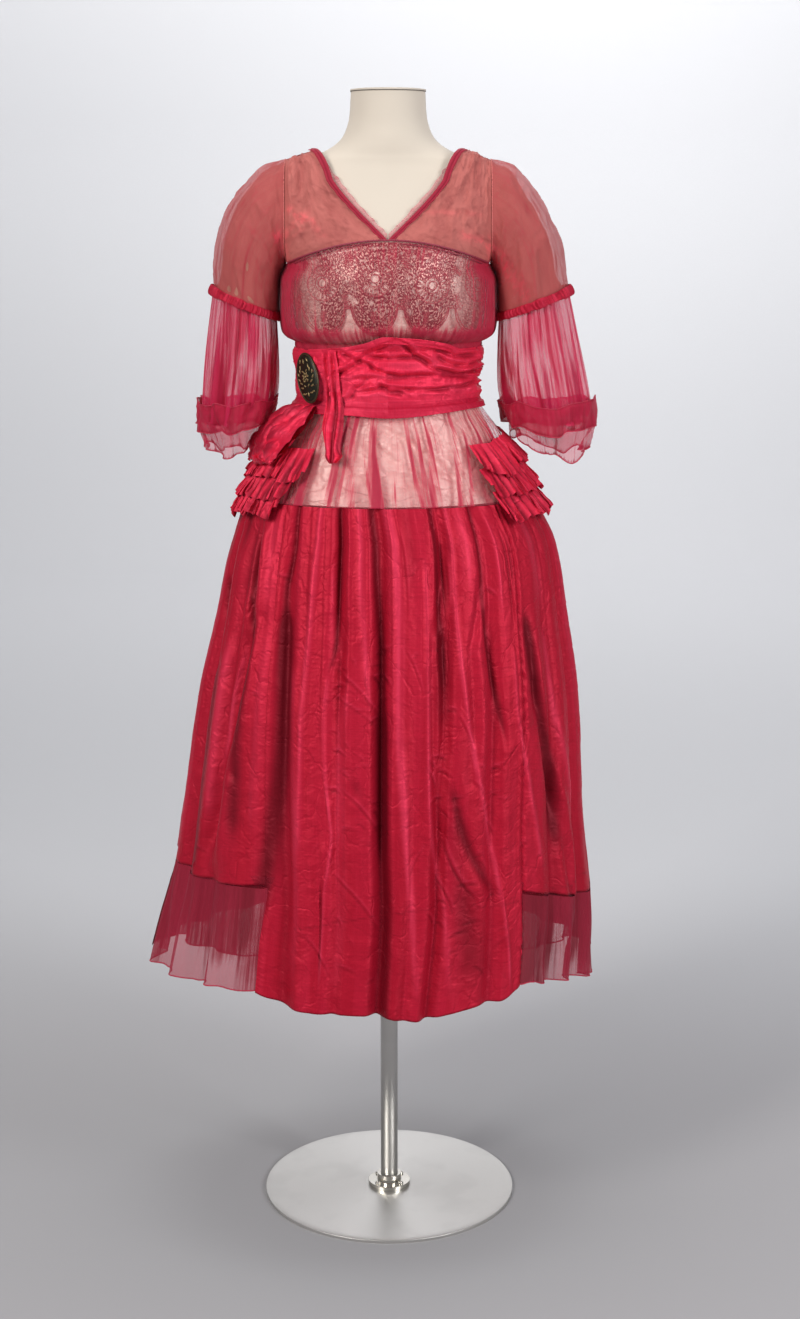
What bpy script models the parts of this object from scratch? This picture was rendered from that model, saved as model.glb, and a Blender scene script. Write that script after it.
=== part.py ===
"""A 1910s afternoon dress of chiffon, taffeta and lace on a limbless dress form with a round steel stand.

Metres, +Z up. The origin is the middle of the base plate's underside and the dress faces -Y.
Angles round the figure are in degrees from the front, positive towards +X.
"""

import math
from collections import namedtuple

import bmesh
import bpy
import numpy as np

# Driving sizes of the stand.
BASE_RADIUS = 0.190
BASE_THICKNESS = 0.005
BASE_EDGE = 0.001
FLANGE_RADIUS = 0.032
FLANGE_THICKNESS = 0.006
COLLAR_RADIUS = 0.0185
COLLAR_HEIGHT = 0.011
SCREW_RADIUS = 0.0042
SCREW_HEIGHT = 0.003
SCREW_CIRCLE = 0.0245
SCREWS = 4
POLE_RADIUS = 0.013

# Gaps and cloth thicknesses.
GAP = 0.0003
LACE_SEAM_GAP = 0.0011
CHIFFON = 0.0011
TAFFETA = 0.0015
SILK = 0.0011

# Heights of the dress, above the floor.
NECK_TOP = 1.634
FORM_BOTTOM = 0.975
LACE_LINE = 1.4335
ARMPIT = 1.400
BODICE_BOTTOM = 1.2925
SASH_TOP = 1.2921
SASH_FOLDS_BOTTOM = 1.2135
SASH_BOTTOM = 1.192
YOKE_TOP = 1.206
SKIRT_SEAM = 1.073
SIDE_HEM_LEFT = (0.5250, 0.5200, 0.5295)
SIDE_HEM_RIGHT = (0.5240, 0.4900, 0.4720)
BAND_HEM_LEFT = (0.381, 0.381, 0.381)
BAND_HEM_RIGHT = (0.376, 0.362, 0.352)
FRONT_HEM = 0.378

# Where the sleeves are set in, half the width of the neck opening, and the dip of the back neckline.
ARMHOLE = 0.143
NECK_WIDTH = 0.1040
BACK_SCOOP = 0.024

# How far each layer of the bodice's outside lies from the form.
LINING_OUT = 0.0015
LACE_OUT = 0.0034
YOKE_OUT = 0.0054
FRILL_OUT = 0.0017

# The bodice's small trims.
LACE_SCALLOPS = 5
LACE_PITCH = 31.0
LACE_SHIFT = -8.0
LACE_REACH = 77.0
LACE_ARCH_TOP = 1.3385
LACE_EYE = 0.0052
LACE_RING = 0.0180
LACE_PETALS = 10
LACE_PETAL_LENGTH = 0.0088
LACE_PETAL_WIDTH = 0.0048
BLOUSE_GATHERS = 14
BLOUSE_GATHER_DEPTH = 0.0022
YOKE_CELLS = 7
YOKE_UP = (0.0, 0.10, 0.26, 0.46, 0.67, 0.85, 0.96, 1.0)
NECK_BAND_WIDTH = 0.0115
NECK_FRILL_WIDTH = 0.0060
PIPING_RADIUS = 0.0014
KNOT_PUFF = 0.0085

# The lace's roundels: where each one's eye is, and the arc of its ring, clockwise from the top, that is open.
Roundel = namedtuple("Roundel", "angle height open_from open_to")
ROUNDELS = [
    Roundel(-38.8, 1.3760, 120.0, 250.0),
    Roundel(-7.1, 1.3828, 150.0, 230.0),
    Roundel(25.9, 1.3732, 80.0, 280.0),
    Roundel(57.0, 1.3740, 0.0, 0.0),
]

Section = namedtuple("Section", "height centre half_width front back")

# The dress form: half width, and how far it reaches to the front and back.
FORM = [
    Section(0.975, 0.0, 0.120, 0.085, 0.090),
    Section(0.990, 0.0, 0.150, 0.104, 0.112),
    Section(1.060, 0.0, 0.168, 0.118, 0.130),
    Section(1.130, 0.0, 0.154, 0.111, 0.117),
    Section(1.180, 0.0, 0.133, 0.102, 0.098),
    Section(1.2065, 0.0, 0.1240, 0.0975, 0.0902),
    Section(1.235, 0.0, 0.117, 0.094, 0.084),
    Section(1.290, 0.0, 0.122, 0.103, 0.088),
    Section(1.340, 0.0, 0.132, 0.121, 0.096),
    Section(1.375, 0.0, 0.1360, 0.127, 0.101),
    Section(1.400, 0.0, 0.1395, 0.123, 0.103),
    Section(1.430, 0.0, 0.157, 0.111, 0.104),
    Section(1.465, 0.0, 0.168, 0.094, 0.102),
    Section(1.500, 0.0, 0.167, 0.077, 0.092),
    Section(1.522, 0.0, 0.157, 0.066, 0.081),
    Section(1.535, 0.0, 0.140, 0.060, 0.074),
    Section(1.5435, 0.0, 0.118, 0.058, 0.070),
    Section(1.549, 0.0, 0.0990, 0.057, 0.067),
    Section(1.556, 0.0, 0.083, 0.057, 0.064),
    Section(1.568, 0.0, 0.067, 0.056, 0.059),
    Section(1.590, 0.0, 0.0560, 0.052, 0.054),
    Section(1.634, 0.0, 0.0515, 0.050, 0.051),
]

# The sheer bodice between the lace line and the sash, blousing out over the waist.
BLOUSE = [
    Section(1.2925, 0.0, 0.1330, 0.1150, 0.0990),
    Section(1.2980, 0.0, 0.1450, 0.1290, 0.1090),
    Section(1.3120, 0.0, 0.1530, 0.1400, 0.1160),
    Section(1.3400, 0.0, 0.1550, 0.1430, 0.1180),
    Section(1.3800, 0.0, 0.1520, 0.1415, 0.1160),
    Section(1.4000, 0.0, 0.1430, 0.1290, 0.1090),
    Section(1.4335, 0.0, 0.1610, 0.1155, 0.1090),
]

# The skirt, its outermost cloth at each height. Its middle drifts because the hem swings to the left.
SKIRT = [
    Section(0.340, -0.028, 0.341, 0.266, 0.286),
    Section(0.378, -0.026, 0.337, 0.262, 0.282),
    Section(0.450, -0.018, 0.326, 0.252, 0.272),
    Section(0.520, -0.011, 0.312, 0.243, 0.262),
    Section(0.607, -0.008, 0.299, 0.232, 0.250),
    Section(0.693, -0.004, 0.290, 0.221, 0.239),
    Section(0.800, 0.001, 0.277, 0.206, 0.224),
    Section(0.896, 0.005, 0.257, 0.190, 0.207),
    Section(1.015, 0.0075, 0.2320, 0.166, 0.180),
    Section(1.073, 0.002, 0.206, 0.152, 0.163),
    Section(1.130, 0.001, 0.176, 0.133, 0.139),
    Section(1.170, 0.0, 0.1560, 0.1190, 0.1180),
    Section(1.190, 0.0, 0.1400, 0.1125, 0.1068),
    Section(1.206, 0.0, 0.1295, 0.1046, 0.0972),
]

# The pale lining that shows through the sheer skirt yoke.
LINING = [
    Section(1.073, 0.0, 0.1900, 0.1380, 0.1480),
    Section(1.130, 0.0, 0.1640, 0.1230, 0.1290),
    Section(1.170, 0.0, 0.1450, 0.1100, 0.1090),
    Section(1.206, 0.0, 0.1257, 0.0993, 0.0920),
]

# The sash, over the bodice above and the skirt yoke below.
SASH = [
    Section(1.192, 0.0, 0.1410, 0.1140, 0.1085),
    Section(1.2065, 0.0, 0.1320, 0.1072, 0.0998),
    Section(1.2135, 0.0, 0.1292, 0.1050, 0.0972),
    Section(1.2450, -0.001, 0.1285, 0.1080, 0.0968),
    Section(1.2700, 0.0, 0.1310, 0.1130, 0.0982),
    Section(1.2921, 0.0, 0.1330, 0.1150, 0.0990),
]

# How far the skirt's lengthwise threads turn between the top seam and the hem.
Drift = namedtuple("Drift", "at_top at_hem")
DRIFT = [
    Drift(-180.0, -180.0),
    Drift(-100.0, -97.0),
    Drift(-44.0, -29.0),
    Drift(-36.0, -19.0),
    Drift(-18.7, -9.0),
    Drift(-5.0, 1.6),
    Drift(20.3, 15.5),
    Drift(34.7, 31.0),
    Drift(46.0, 39.0),
    Drift(100.0, 98.0),
    Drift(180.0, 180.0),
]
SEAM_LEFT = -44.0
SEAM_RIGHT = 46.0

# Folds of the skirt: where each trough starts at the seam, its width, and its depth at the seam, knee and hem.
Fold = namedtuple("Fold", "angle width top middle hem")
FOLDS = [
    Fold(-172.0, 4.5, 0.005, 0.012, 0.018),
    Fold(-157.0, 4.0, 0.006, 0.014, 0.020),
    Fold(-141.0, 4.5, 0.005, 0.011, 0.016),
    Fold(-126.0, 4.0, 0.006, 0.014, 0.021),
    Fold(-110.0, 4.0, 0.005, 0.012, 0.018),
    Fold(-91.0, 3.6, 0.004, 0.010, 0.014),
    Fold(-76.0, 3.4, 0.005, 0.013, 0.017),
    Fold(-62.0, 3.2, 0.004, 0.010, 0.013),
    Fold(-36.0, 2.8, 0.003, 0.009, 0.012),
    Fold(-18.7, 2.6, 0.006, 0.010, 0.005),
    Fold(-5.0, 2.8, 0.007, 0.014, 0.021),
    Fold(8.0, 2.6, 0.003, 0.003, 0.005),
    Fold(20.3, 2.8, 0.006, 0.014, 0.020),
    Fold(34.7, 2.6, 0.005, 0.008, 0.013),
    Fold(60.0, 3.2, 0.004, 0.011, 0.015),
    Fold(74.0, 3.4, 0.005, 0.012, 0.016),
    Fold(90.0, 3.6, 0.004, 0.010, 0.015),
    Fold(109.0, 4.0, 0.006, 0.013, 0.019),
    Fold(124.0, 4.5, 0.005, 0.012, 0.017),
    Fold(140.0, 4.0, 0.006, 0.015, 0.021),
    Fold(156.0, 4.5, 0.005, 0.012, 0.018),
    Fold(172.0, 4.0, 0.006, 0.013, 0.020),
]

# Gathers and frills.
YOKE_GATHERS = 20
YOKE_ROWS = (SKIRT_SEAM + GAP, 1.115, 1.170, YOKE_TOP)
YOKE_GATHER_DEPTH = 0.0045
SLEEVE_GATHERS = 12
SLEEVE_GATHER_DEPTH = 0.0065
CUFF_WAVES = 7
CUFF_WAVE_DEPTH = 0.006
BAND_PLEATS = 13
BAND_PLEAT_DEPTH = 0.0025
SIDE_COLUMNS = 16
RUFFLE_WAVES = 6
RUFFLE_DROP = 0.041
RUFFLE_WAVE = 0.0055
RUFFLE_GAP = 0.0005

# Each hip ruffle: its front and back angle, the height of its seam there, and how far it flares.
Ruffle = namedtuple("Ruffle", "name front back front_height back_height flare")
RUFFLES = [
    Ruffle("hip_ruffle_right_1", 42.0, 104.0, 1.152, 1.170, 0.0140),
    Ruffle("hip_ruffle_right_2", 43.0, 107.0, 1.122, 1.135, 0.0140),
    Ruffle("hip_ruffle_right_3", 46.0, 106.0, 1.092, 1.103, 0.0115),
    Ruffle("hip_ruffle_left_1", -37.0, -104.0, 1.152, 1.142, 0.0105),
    Ruffle("hip_ruffle_left_2", -41.0, -107.0, 1.125, 1.115, 0.0105),
    Ruffle("hip_ruffle_left_3", -46.0, -106.0, 1.099, 1.090, 0.0080),
]

# The bow's hanging loop: along its length, the middle's angle and height and half its width.
LoopRow = namedtuple("LoopRow", "angle height half_width out")
LOOP = [
    LoopRow(-55.5, 1.2060, 7.5, 0.0027),
    LoopRow(-57.5, 1.1960, 10.5, 0.0068),
    LoopRow(-62.0, 1.1750, 12.0, 0.0075),
    LoopRow(-65.5, 1.1540, 11.5, 0.0110),
    LoopRow(-68.0, 1.1350, 9.0, 0.0170),
    LoopRow(-68.5, 1.1290, 8.0, 0.0220),
    LoopRow(-68.0, 1.1340, 9.5, 0.0260),
    LoopRow(-65.5, 1.1520, 12.0, 0.0285),
    LoopRow(-62.0, 1.1740, 12.5, 0.0280),
    LoopRow(-57.5, 1.1960, 11.0, 0.0210),
    LoopRow(-55.5, 1.2075, 8.0, 0.0068),
]

# The bow's tail, hanging from the knot: the same columns.
TAIL = [
    LoopRow(-36.5, 1.2860, 5.0, 0.0003),
    LoopRow(-35.5, 1.2600, 5.5, 0.0004),
    LoopRow(-34.0, 1.2300, 5.0, 0.0008),
    LoopRow(-32.0, 1.2060, 5.5, 0.0032),
    LoopRow(-29.0, 1.1800, 5.5, 0.0045),
    LoopRow(-26.5, 1.1550, 3.8, 0.0050),
    LoopRow(-25.0, 1.1420, 4.6, 0.0050),
    LoopRow(-24.5, 1.1330, 2.4, 0.0050),
]

# The oval ornament on the knot.
ORNAMENT_ANGLE = -53.0
ORNAMENT_HEIGHT = 1.245
ORNAMENT_HALF_WIDTH = 0.022
ORNAMENT_HALF_HEIGHT = 0.0350
ORNAMENT_TILT = 9.0
ORNAMENT_OUT = 0.0108

TORSO_COLUMNS = 28

# Sections of the right sleeve from the armhole down: its outer and inner points, half its depth, its
# middle from front to back, and how far its front and back hang below the line between those points.
Slice = namedtuple("Slice", "outer_x outer_z inner_x inner_z depth middle sag")
UPPER_SLEEVE = [
    Slice(0.1720, 1.5325, 0.1530, 1.3900, 0.0660, 0.001, 0.0),
    Slice(0.1985, 1.5100, 0.1590, 1.3800, 0.0720, 0.001, 0.0),
    Slice(0.2230, 1.4760, 0.1620, 1.3690, 0.0740, 0.001, 0.0),
    Slice(0.2430, 1.4280, 0.1635, 1.3540, 0.0730, 0.001, 0.0),
    Slice(0.2545, 1.3640, 0.1640, 1.3280, 0.0670, 0.002, 0.0),
]
LOWER_SLEEVE = [
    Slice(0.2550, 1.3636, 0.1640, 1.3276, 0.0670, 0.002, 0.0),
    Slice(0.2720, 1.2960, 0.1585, 1.2760, 0.0740, 0.008, 0.0),
    Slice(0.2870, 1.2340, 0.1590, 1.2260, 0.0790, 0.018, 0.004),
    Slice(0.2970, 1.1820, 0.1640, 1.1900, 0.0820, 0.026, 0.010),
]
CUFF_BAND = [
    Slice(0.2960, 1.2080, 0.1580, 1.2100, 0.0830, 0.022, 0.006),
    Slice(0.3010, 1.1900, 0.1590, 1.1960, 0.0860, 0.025, 0.009),
    Slice(0.3040, 1.1700, 0.1610, 1.1800, 0.0870, 0.028, 0.012),
]
CUFF_FRILL = [
    Slice(0.2970, 1.1812, 0.1640, 1.1892, 0.0820, 0.026, 0.010),
    Slice(0.2990, 1.1600, 0.1680, 1.1740, 0.0830, 0.029, 0.014),
    Slice(0.2960, 1.1370, 0.1720, 1.1600, 0.0820, 0.032, 0.020),
]
BAND_ROWS = [
    Slice(0.2520, 1.3700, 0.1640, 1.3340, 0.0670, 0.002, 0.0),
    Slice(0.2550, 1.3636, 0.1640, 1.3276, 0.0670, 0.002, 0.0),
    Slice(0.2580, 1.3570, 0.1636, 1.3215, 0.0675, 0.002, 0.0),
]
LEFT_NARROWER = 0.090
LEFT_BACK = 0.0

Colour = namedtuple("Colour", "red green blue rough metal")
COLOURS = {
    "chiffon": Colour(0.62, 0.05, 0.10, 0.75, 0.0),
    "lined_chiffon": Colour(0.50, 0.11, 0.09, 0.8, 0.0),
    "taffeta": Colour(0.60, 0.01, 0.045, 0.35, 0.0),
    "lining_silk": Colour(0.80, 0.52, 0.46, 0.4, 0.0),
    "lace": Colour(0.42, 0.10, 0.14, 0.6, 0.1),
    "form_cover": Colour(0.80, 0.70, 0.57, 0.8, 0.0),
    "brushed_steel": Colour(0.62, 0.59, 0.54, 0.35, 1.0),
    "ornament_metal": Colour(0.05, 0.05, 0.03, 0.45, 0.8),
}


def clear_scene():
    """Removes whatever the startup file holds."""
    for old in list(bpy.data.objects):
        bpy.data.objects.remove(old)


def material(name):
    """The named finish, made once."""
    found = bpy.data.materials.get(name)
    if found:
        return found
    made = bpy.data.materials.new(name)
    made.use_nodes = True
    shader = made.node_tree.nodes["Principled BSDF"]
    colour = COLOURS[name]
    shader.inputs["Base Color"].default_value = (colour.red, colour.green, colour.blue, 1.0)
    shader.inputs["Roughness"].default_value = colour.rough
    shader.inputs["Metallic"].default_value = colour.metal
    return made


def add_object(name, mesh, finish, collection):
    """Puts a mesh in the dress's collection with its finish, shaded smooth."""
    thing = bpy.data.objects.new(name, mesh)
    mesh.materials.append(material(finish))
    mesh.shade_smooth()
    mesh.set_sharp_from_angle(angle=math.radians(50))
    collection.objects.link(thing)
    return thing


def smooth_curve(knots, values, wanted):
    """A smooth curve through the knots that never overshoots them, read at the wanted places."""
    knots, values = np.asarray(knots, float), np.asarray(values, float)
    order = np.argsort(knots)
    knots, values = knots[order], values[order]
    step = np.diff(knots)
    slope = np.diff(values) / step
    tangent = np.concatenate([[slope[0]], (slope[:-1] + slope[1:]) / 2, [slope[-1]]])
    tangent[1:-1][slope[:-1] * slope[1:] <= 0] = 0.0
    most = 3 * np.minimum(np.abs(np.append(slope, slope[-1])), np.abs(np.insert(slope, 0, slope[0])))
    tangent = np.clip(tangent, -most, most)
    wanted = np.clip(np.asarray(wanted, float), knots[0], knots[-1])
    cell = np.clip(np.searchsorted(knots, wanted, side="right") - 1, 0, len(step) - 1)
    part = (wanted - knots[cell]) / step[cell]
    start = (1 + 2 * part) * (1 - part) ** 2 * values[cell] + part * (1 - part) ** 2 * step[cell] * tangent[cell]
    end = part**2 * (3 - 2 * part) * values[cell + 1] + part**2 * (part - 1) * step[cell] * tangent[cell + 1]
    return start + end


def column(table, field, wanted):
    """One named column of a table of sections, read at the wanted heights."""
    return smooth_curve([row.height for row in table], [getattr(row, field) for row in table], wanted)


def place(table, heights, angles, out):
    """Points on a table's surface, moved out along its normal. Every argument may be an array."""
    heights, angles, out = np.broadcast_arrays(
        np.asarray(heights, float), np.radians(np.asarray(angles, float)), np.asarray(out, float)
    )
    wide = column(table, "half_width", heights)
    deep = np.where(np.cos(angles) > 0, column(table, "front", heights), column(table, "back", heights))
    normal = np.stack([np.sin(angles) / wide, -np.cos(angles) / deep], axis=-1)
    normal /= np.linalg.norm(normal, axis=-1, keepdims=True)
    x = column(table, "centre", heights) + wide * np.sin(angles) + out * normal[..., 0]
    y = -deep * np.cos(angles) + out * normal[..., 1]
    return np.stack([x, y, heights], axis=-1)


def on_yoke(height, angles, out):
    """Points outside the skirt yoke's cloth, level with the straight lines between its rows."""
    height, angles = np.broadcast_arrays(np.asarray(height, float), np.asarray(angles, float))
    rows = np.array(YOKE_ROWS)
    cell = np.clip(np.searchsorted(rows, height) - 1, 0, len(rows) - 2)
    part = np.clip((height - rows[cell]) / (rows[cell + 1] - rows[cell]), 0, 1)[:, None]
    low, high = place(SKIRT, rows[cell], angles, out), place(SKIRT, rows[cell + 1], angles, out)
    return np.where(height[:, None] < rows[0], place(SKIRT, height, angles, out), low * (1 - part) + high * part)


def depth_at(x, heights, grow, front):
    """How far the grown form reaches to the front or back at a place across it, 0 past its side."""
    lift = grow * np.clip((heights - 1.42) / 0.08, 0, 1)
    field = "front" if front else "back"
    deep = column(FORM, field, heights - lift) + grow
    wide = column(FORM, "half_width", heights - lift) + grow
    return deep * np.sqrt(np.clip(1 - (x / wide) ** 2, 0, 1))


def cloth(name, outside, inside, finish, collection, closed=False):
    """A wall of cloth between two grids of points (rows by columns), closed round the columns or not."""
    mesh = bpy.data.meshes.new(name)
    work = bmesh.new()
    rows, columns = outside.shape[:2]
    skins = [[[work.verts.new(p) for p in row] for row in skin] for skin in (outside, inside)]
    last = columns if closed else columns - 1
    for row in range(rows - 1):
        for col in range(last):
            after = (col + 1) % columns
            for skin in skins:
                work.faces.new((skin[row][col], skin[row][after], skin[row + 1][after], skin[row + 1][col]))
    outer, inner = skins
    for row in (0, rows - 1):
        for col in range(last):
            after = (col + 1) % columns
            work.faces.new((outer[row][col], outer[row][after], inner[row][after], inner[row][col]))
    if not closed:
        for col in (0, columns - 1):
            for row in range(rows - 1):
                work.faces.new((outer[row][col], outer[row + 1][col], inner[row + 1][col], inner[row][col]))
    bmesh.ops.recalc_face_normals(work, faces=work.faces)
    work.to_mesh(mesh)
    work.free()
    return add_object(name, mesh, finish, collection)


def solid_rings(name, rings, finish, collection):
    """A solid through closed rings of points, with a flat end on the first and the last."""
    mesh = bpy.data.meshes.new(name)
    work = bmesh.new()
    loops = [[work.verts.new(p) for p in ring] for ring in rings]
    count = len(loops[0])
    for low, high in zip(loops, loops[1:]):
        for i in range(count):
            j = (i + 1) % count
            work.faces.new((low[i], low[j], high[j], high[i]))
    work.faces.new(loops[0])
    work.faces.new(loops[-1])
    bmesh.ops.recalc_face_normals(work, faces=work.faces)
    work.to_mesh(mesh)
    work.free()
    return add_object(name, mesh, finish, collection)


def turned(name, profile, steps, finish, collection, where=(0.0, 0.0)):
    """A solid of revolution about a vertical axis. Its profile runs from axis to axis, or closes on itself."""
    mesh = bpy.data.meshes.new(name)
    edges = [(i, i + 1) for i in range(len(profile) - 1)]
    if profile[0][0] > 0:
        edges.append((len(profile) - 1, 0))
    mesh.from_pydata([(r, 0.0, z) for r, z in profile], edges, [])
    thing = add_object(name, mesh, finish, collection)
    thing.location = (where[0], where[1], 0.0)
    screw = thing.modifiers.new("Turn", "SCREW")
    screw.steps = screw.render_steps = steps
    screw.use_merge_vertices = True
    screw.merge_threshold = 0.00005
    screw.use_smooth_shade = True
    return thing


def waves(angles, count, phase=0.0):
    """Gathers round a ring, 0 on the crests and 1 in the troughs, a little uneven."""
    turn = np.radians(angles)
    even = 0.5 - 0.5 * np.cos(count * turn + phase)
    return even * (0.8 + 0.2 * np.sin(3 * turn + 1.0))


# The stand


def make_base(collection):
    """The round plate on the floor, with a fine bevel round its top edge."""
    top = BASE_THICKNESS
    profile = [(0, top), (BASE_RADIUS - BASE_EDGE, top), (BASE_RADIUS, top - BASE_EDGE), (BASE_RADIUS, 0), (0, 0)]
    turned("base_plate", profile, 44, "brushed_steel", collection)


def make_flange(collection):
    """The screwed flange and its collar, bored for the pole, and its four screws."""
    low = BASE_THICKNESS + GAP
    high = low + FLANGE_THICKNESS
    bore = POLE_RADIUS + GAP
    profile = [(bore, high + COLLAR_HEIGHT), (COLLAR_RADIUS, high + COLLAR_HEIGHT), (COLLAR_RADIUS, high)]
    profile += [(FLANGE_RADIUS, high), (FLANGE_RADIUS, low), (bore, low)]
    turned("base_flange", profile, 20, "brushed_steel", collection)
    for number in range(SCREWS):
        turn = math.radians(45 + 90 * number)
        where = (SCREW_CIRCLE * math.cos(turn), SCREW_CIRCLE * math.sin(turn))
        foot, head = high + GAP, high + GAP + SCREW_HEIGHT
        dome = [(0, head), (0.6 * SCREW_RADIUS, head - 0.0005), (SCREW_RADIUS, foot + 0.001), (SCREW_RADIUS, foot)]
        turned(f"flange_screw_{number + 1}", dome + [(0, foot)], 8, "brushed_steel", collection, where)


def make_pole(collection):
    """The steel pole from the base plate up to the form's underside."""
    low, high = BASE_THICKNESS + GAP, FORM_BOTTOM - GAP
    turned("stand_pole", [(0, high), (POLE_RADIUS, high), (POLE_RADIUS, low), (0, low)], 20, "brushed_steel", collection)


def make_form(collection):
    """The covered torso with its neck, closed below, and the thin cap on the neck."""
    angles = np.arange(TORSO_COLUMNS) * 360.0 / TORSO_COLUMNS
    rings = [place(FORM, row.height, angles, 0.0) for row in FORM]
    solid_rings("dress_form", rings, "form_cover", collection)
    cap = [place(FORM, NECK_TOP, angles, rim) + (0, 0, up) for rim, up in ((0.001, GAP), (0.001, 0.002), (-0.004, 0.0032))]
    solid_rings("neck_cap", cap, "form_cover", collection)


# The bodice


def lace_height(x):
    """Height of the corded line over the lace, from the middle of the front to the armhole."""
    return LACE_LINE - (LACE_LINE - ARMPIT) * (np.asarray(x) / ARMHOLE) ** 2


def shoulder_top(x, grow):
    """Height at which the grown form closes over the shoulder at a place across it."""
    heights = np.linspace(1.50, 1.60, 400)
    wide = column(FORM, "half_width", heights - grow) + grow
    return np.interp(np.asarray(x), wide[::-1], heights[::-1])


def make_bodice_lining(collection):
    """The pale lining, close on the form from the waist under the sash to the lace line."""
    angles = np.arange(TORSO_COLUMNS) * 360.0 / TORSO_COLUMNS
    rows = [1.235, 1.290, 1.340, 1.375, 1.400]
    outside = np.stack([place(FORM, z, angles, LINING_OUT) for z in rows])
    inside = np.stack([place(FORM, z, angles, LINING_OUT - SILK) for z in rows])
    cloth("bodice_lining", outside, inside, "lining_silk", collection, closed=True)


def lace_hole(roundel, across, up, cutters):
    """Adds to the cutters a short prism with this outline round a roundel's eye, straight through the lace."""
    angles = roundel.angle + np.degrees(across / column(FORM, "half_width", roundel.height))
    low = place(FORM, roundel.height + up, angles, LACE_OUT - 0.0045)
    high = place(FORM, roundel.height + up, angles, LACE_OUT + 0.0045)
    bottom, top = [[cutters.verts.new(p) for p in ring] for ring in (low, high)]
    cutters.faces.new(bottom)
    cutters.faces.new(top)
    for i in range(len(top)):
        j = (i + 1) % len(top)
        cutters.faces.new((bottom[i], bottom[j], top[j], top[i]))


def lace_cutters():
    """One object with every gap of the lace that is wider than 4 mm: the eyes and the open petals."""
    cutters = bmesh.new()
    turn = (np.arange(6) + 0.5) * math.pi / 3
    along = LACE_PETAL_LENGTH * np.array([-0.5, 0.1, 0.5, 0.1])
    wide = LACE_PETAL_WIDTH * np.array([0.0, 0.5, 0.0, -0.5])
    for roundel in ROUNDELS:
        lace_hole(roundel, LACE_EYE * np.cos(turn), LACE_EYE * np.sin(turn), cutters)
        for number in range(LACE_PETALS):
            clock = (number + 0.5) * 360.0 / LACE_PETALS
            if not roundel.open_from < clock < roundel.open_to:
                continue
            outwards = np.array([math.sin(math.radians(clock)), math.cos(math.radians(clock))])
            aside = np.array([outwards[1], -outwards[0]])
            outline = np.outer(LACE_RING + along, outwards) + np.outer(wide, aside)
            lace_hole(roundel, outline[:, 0], outline[:, 1], cutters)
    bmesh.ops.recalc_face_normals(cutters, faces=cutters.faces)
    mesh = bpy.data.meshes.new("lace_gaps")
    cutters.to_mesh(mesh)
    cutters.free()
    thing = bpy.data.objects.new("lace_gaps", mesh)
    thing.hide_render = True
    thing.display_type = "WIRE"
    shelf = bpy.data.collections.new("cutters")
    bpy.context.scene.collection.children.link(shelf)
    shelf.objects.link(thing)
    return thing


def make_lace(collection):
    """The lace band across the bust, in deep scallops with narrow arches between, over the lining."""
    part = np.arange(LACE_SCALLOPS * 4 + 1)
    first = LACE_SHIFT - LACE_SCALLOPS / 2 * LACE_PITCH
    angles = first + (part // 4 + np.array([0.0, 0.13, 0.5, 0.87])[part % 4]) * LACE_PITCH
    arch = np.array([1.0, 0.12, 0.0, 0.12])[part % 4]
    kept = np.abs(angles) < LACE_REACH
    angles = np.concatenate([[-LACE_REACH], angles[kept], [LACE_REACH]])
    arch = np.concatenate([[0.05], arch[kept], [0.05]])
    share = angles / LACE_REACH
    top = lace_height(np.abs(ARMHOLE * np.sin(np.radians(angles)))) - 0.004
    bottom = 1.3118 + 0.004 * share**2
    bottom = bottom + (LACE_ARCH_TOP - bottom) * arch
    rows = [bottom, 1.340, 1.375, np.minimum(1.400, 0.35 * 1.375 + 0.65 * top), top]
    lift = (0.0, 0.0, 0.0, 0.0006, 0.0)
    outside = np.stack([place(FORM, z, angles, LACE_OUT + up) for z, up in zip(rows, lift)])
    inside = np.stack([place(FORM, z, angles, LACE_OUT + up - CHIFFON) for z, up in zip(rows, lift)])
    band = cloth("lace_band", outside, inside, "lace", collection)
    cut = band.modifiers.new("Gaps", "BOOLEAN")
    cut.operation = "DIFFERENCE"
    cut.solver = "EXACT"
    cut.object = lace_cutters()


def yoke_seam_points(angles):
    """Where the bodice meets the yokes: outer and inner points along the lace line and round the back."""
    turn = np.radians(angles)
    front = np.cos(turn) > 0
    z = np.where(front, lace_height(np.clip(np.abs(0.150 * np.sin(turn)), 0, ARMHOLE)), ARMPIT)
    skins = []
    for grow in (YOKE_OUT, YOKE_OUT - CHIFFON):
        x = (column(FORM, "half_width", z) + grow) * np.sin(turn)
        z_here = np.where(front, lace_height(np.minimum(np.abs(x), ARMHOLE)), ARMPIT) - LACE_SEAM_GAP / 2
        deep = np.where(front, -column(FORM, "front", z_here), column(FORM, "back", z_here))
        y = (np.abs(deep) + grow) * np.abs(np.cos(turn)) * np.sign(deep)
        skins.append(np.stack([x, y, z_here], axis=-1))
    return skins


def make_bodice(collection):
    """The sheer bodice below the lace line, front and back, gathered into the sash."""
    for name, start, end in (("bodice_front", -89.85, 89.85), ("bodice_back", 90.15, 269.85)):
        angles = np.linspace(start, end, 17)
        outside, inside = [], []
        for height in (BODICE_BOTTOM, 1.299, 1.320, 1.380):
            pull = BLOUSE_GATHER_DEPTH * waves(angles, BLOUSE_GATHERS) * (1.0 if height < 1.33 else 0.4)
            outside.append(place(BLOUSE, height, angles, -pull))
            inside.append(place(BLOUSE, height, angles, -pull - CHIFFON))
        top = yoke_seam_points(angles)
        cloth(name, np.stack(outside + [top[0]]), np.stack(inside + [top[1]]), "chiffon", collection)


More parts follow.
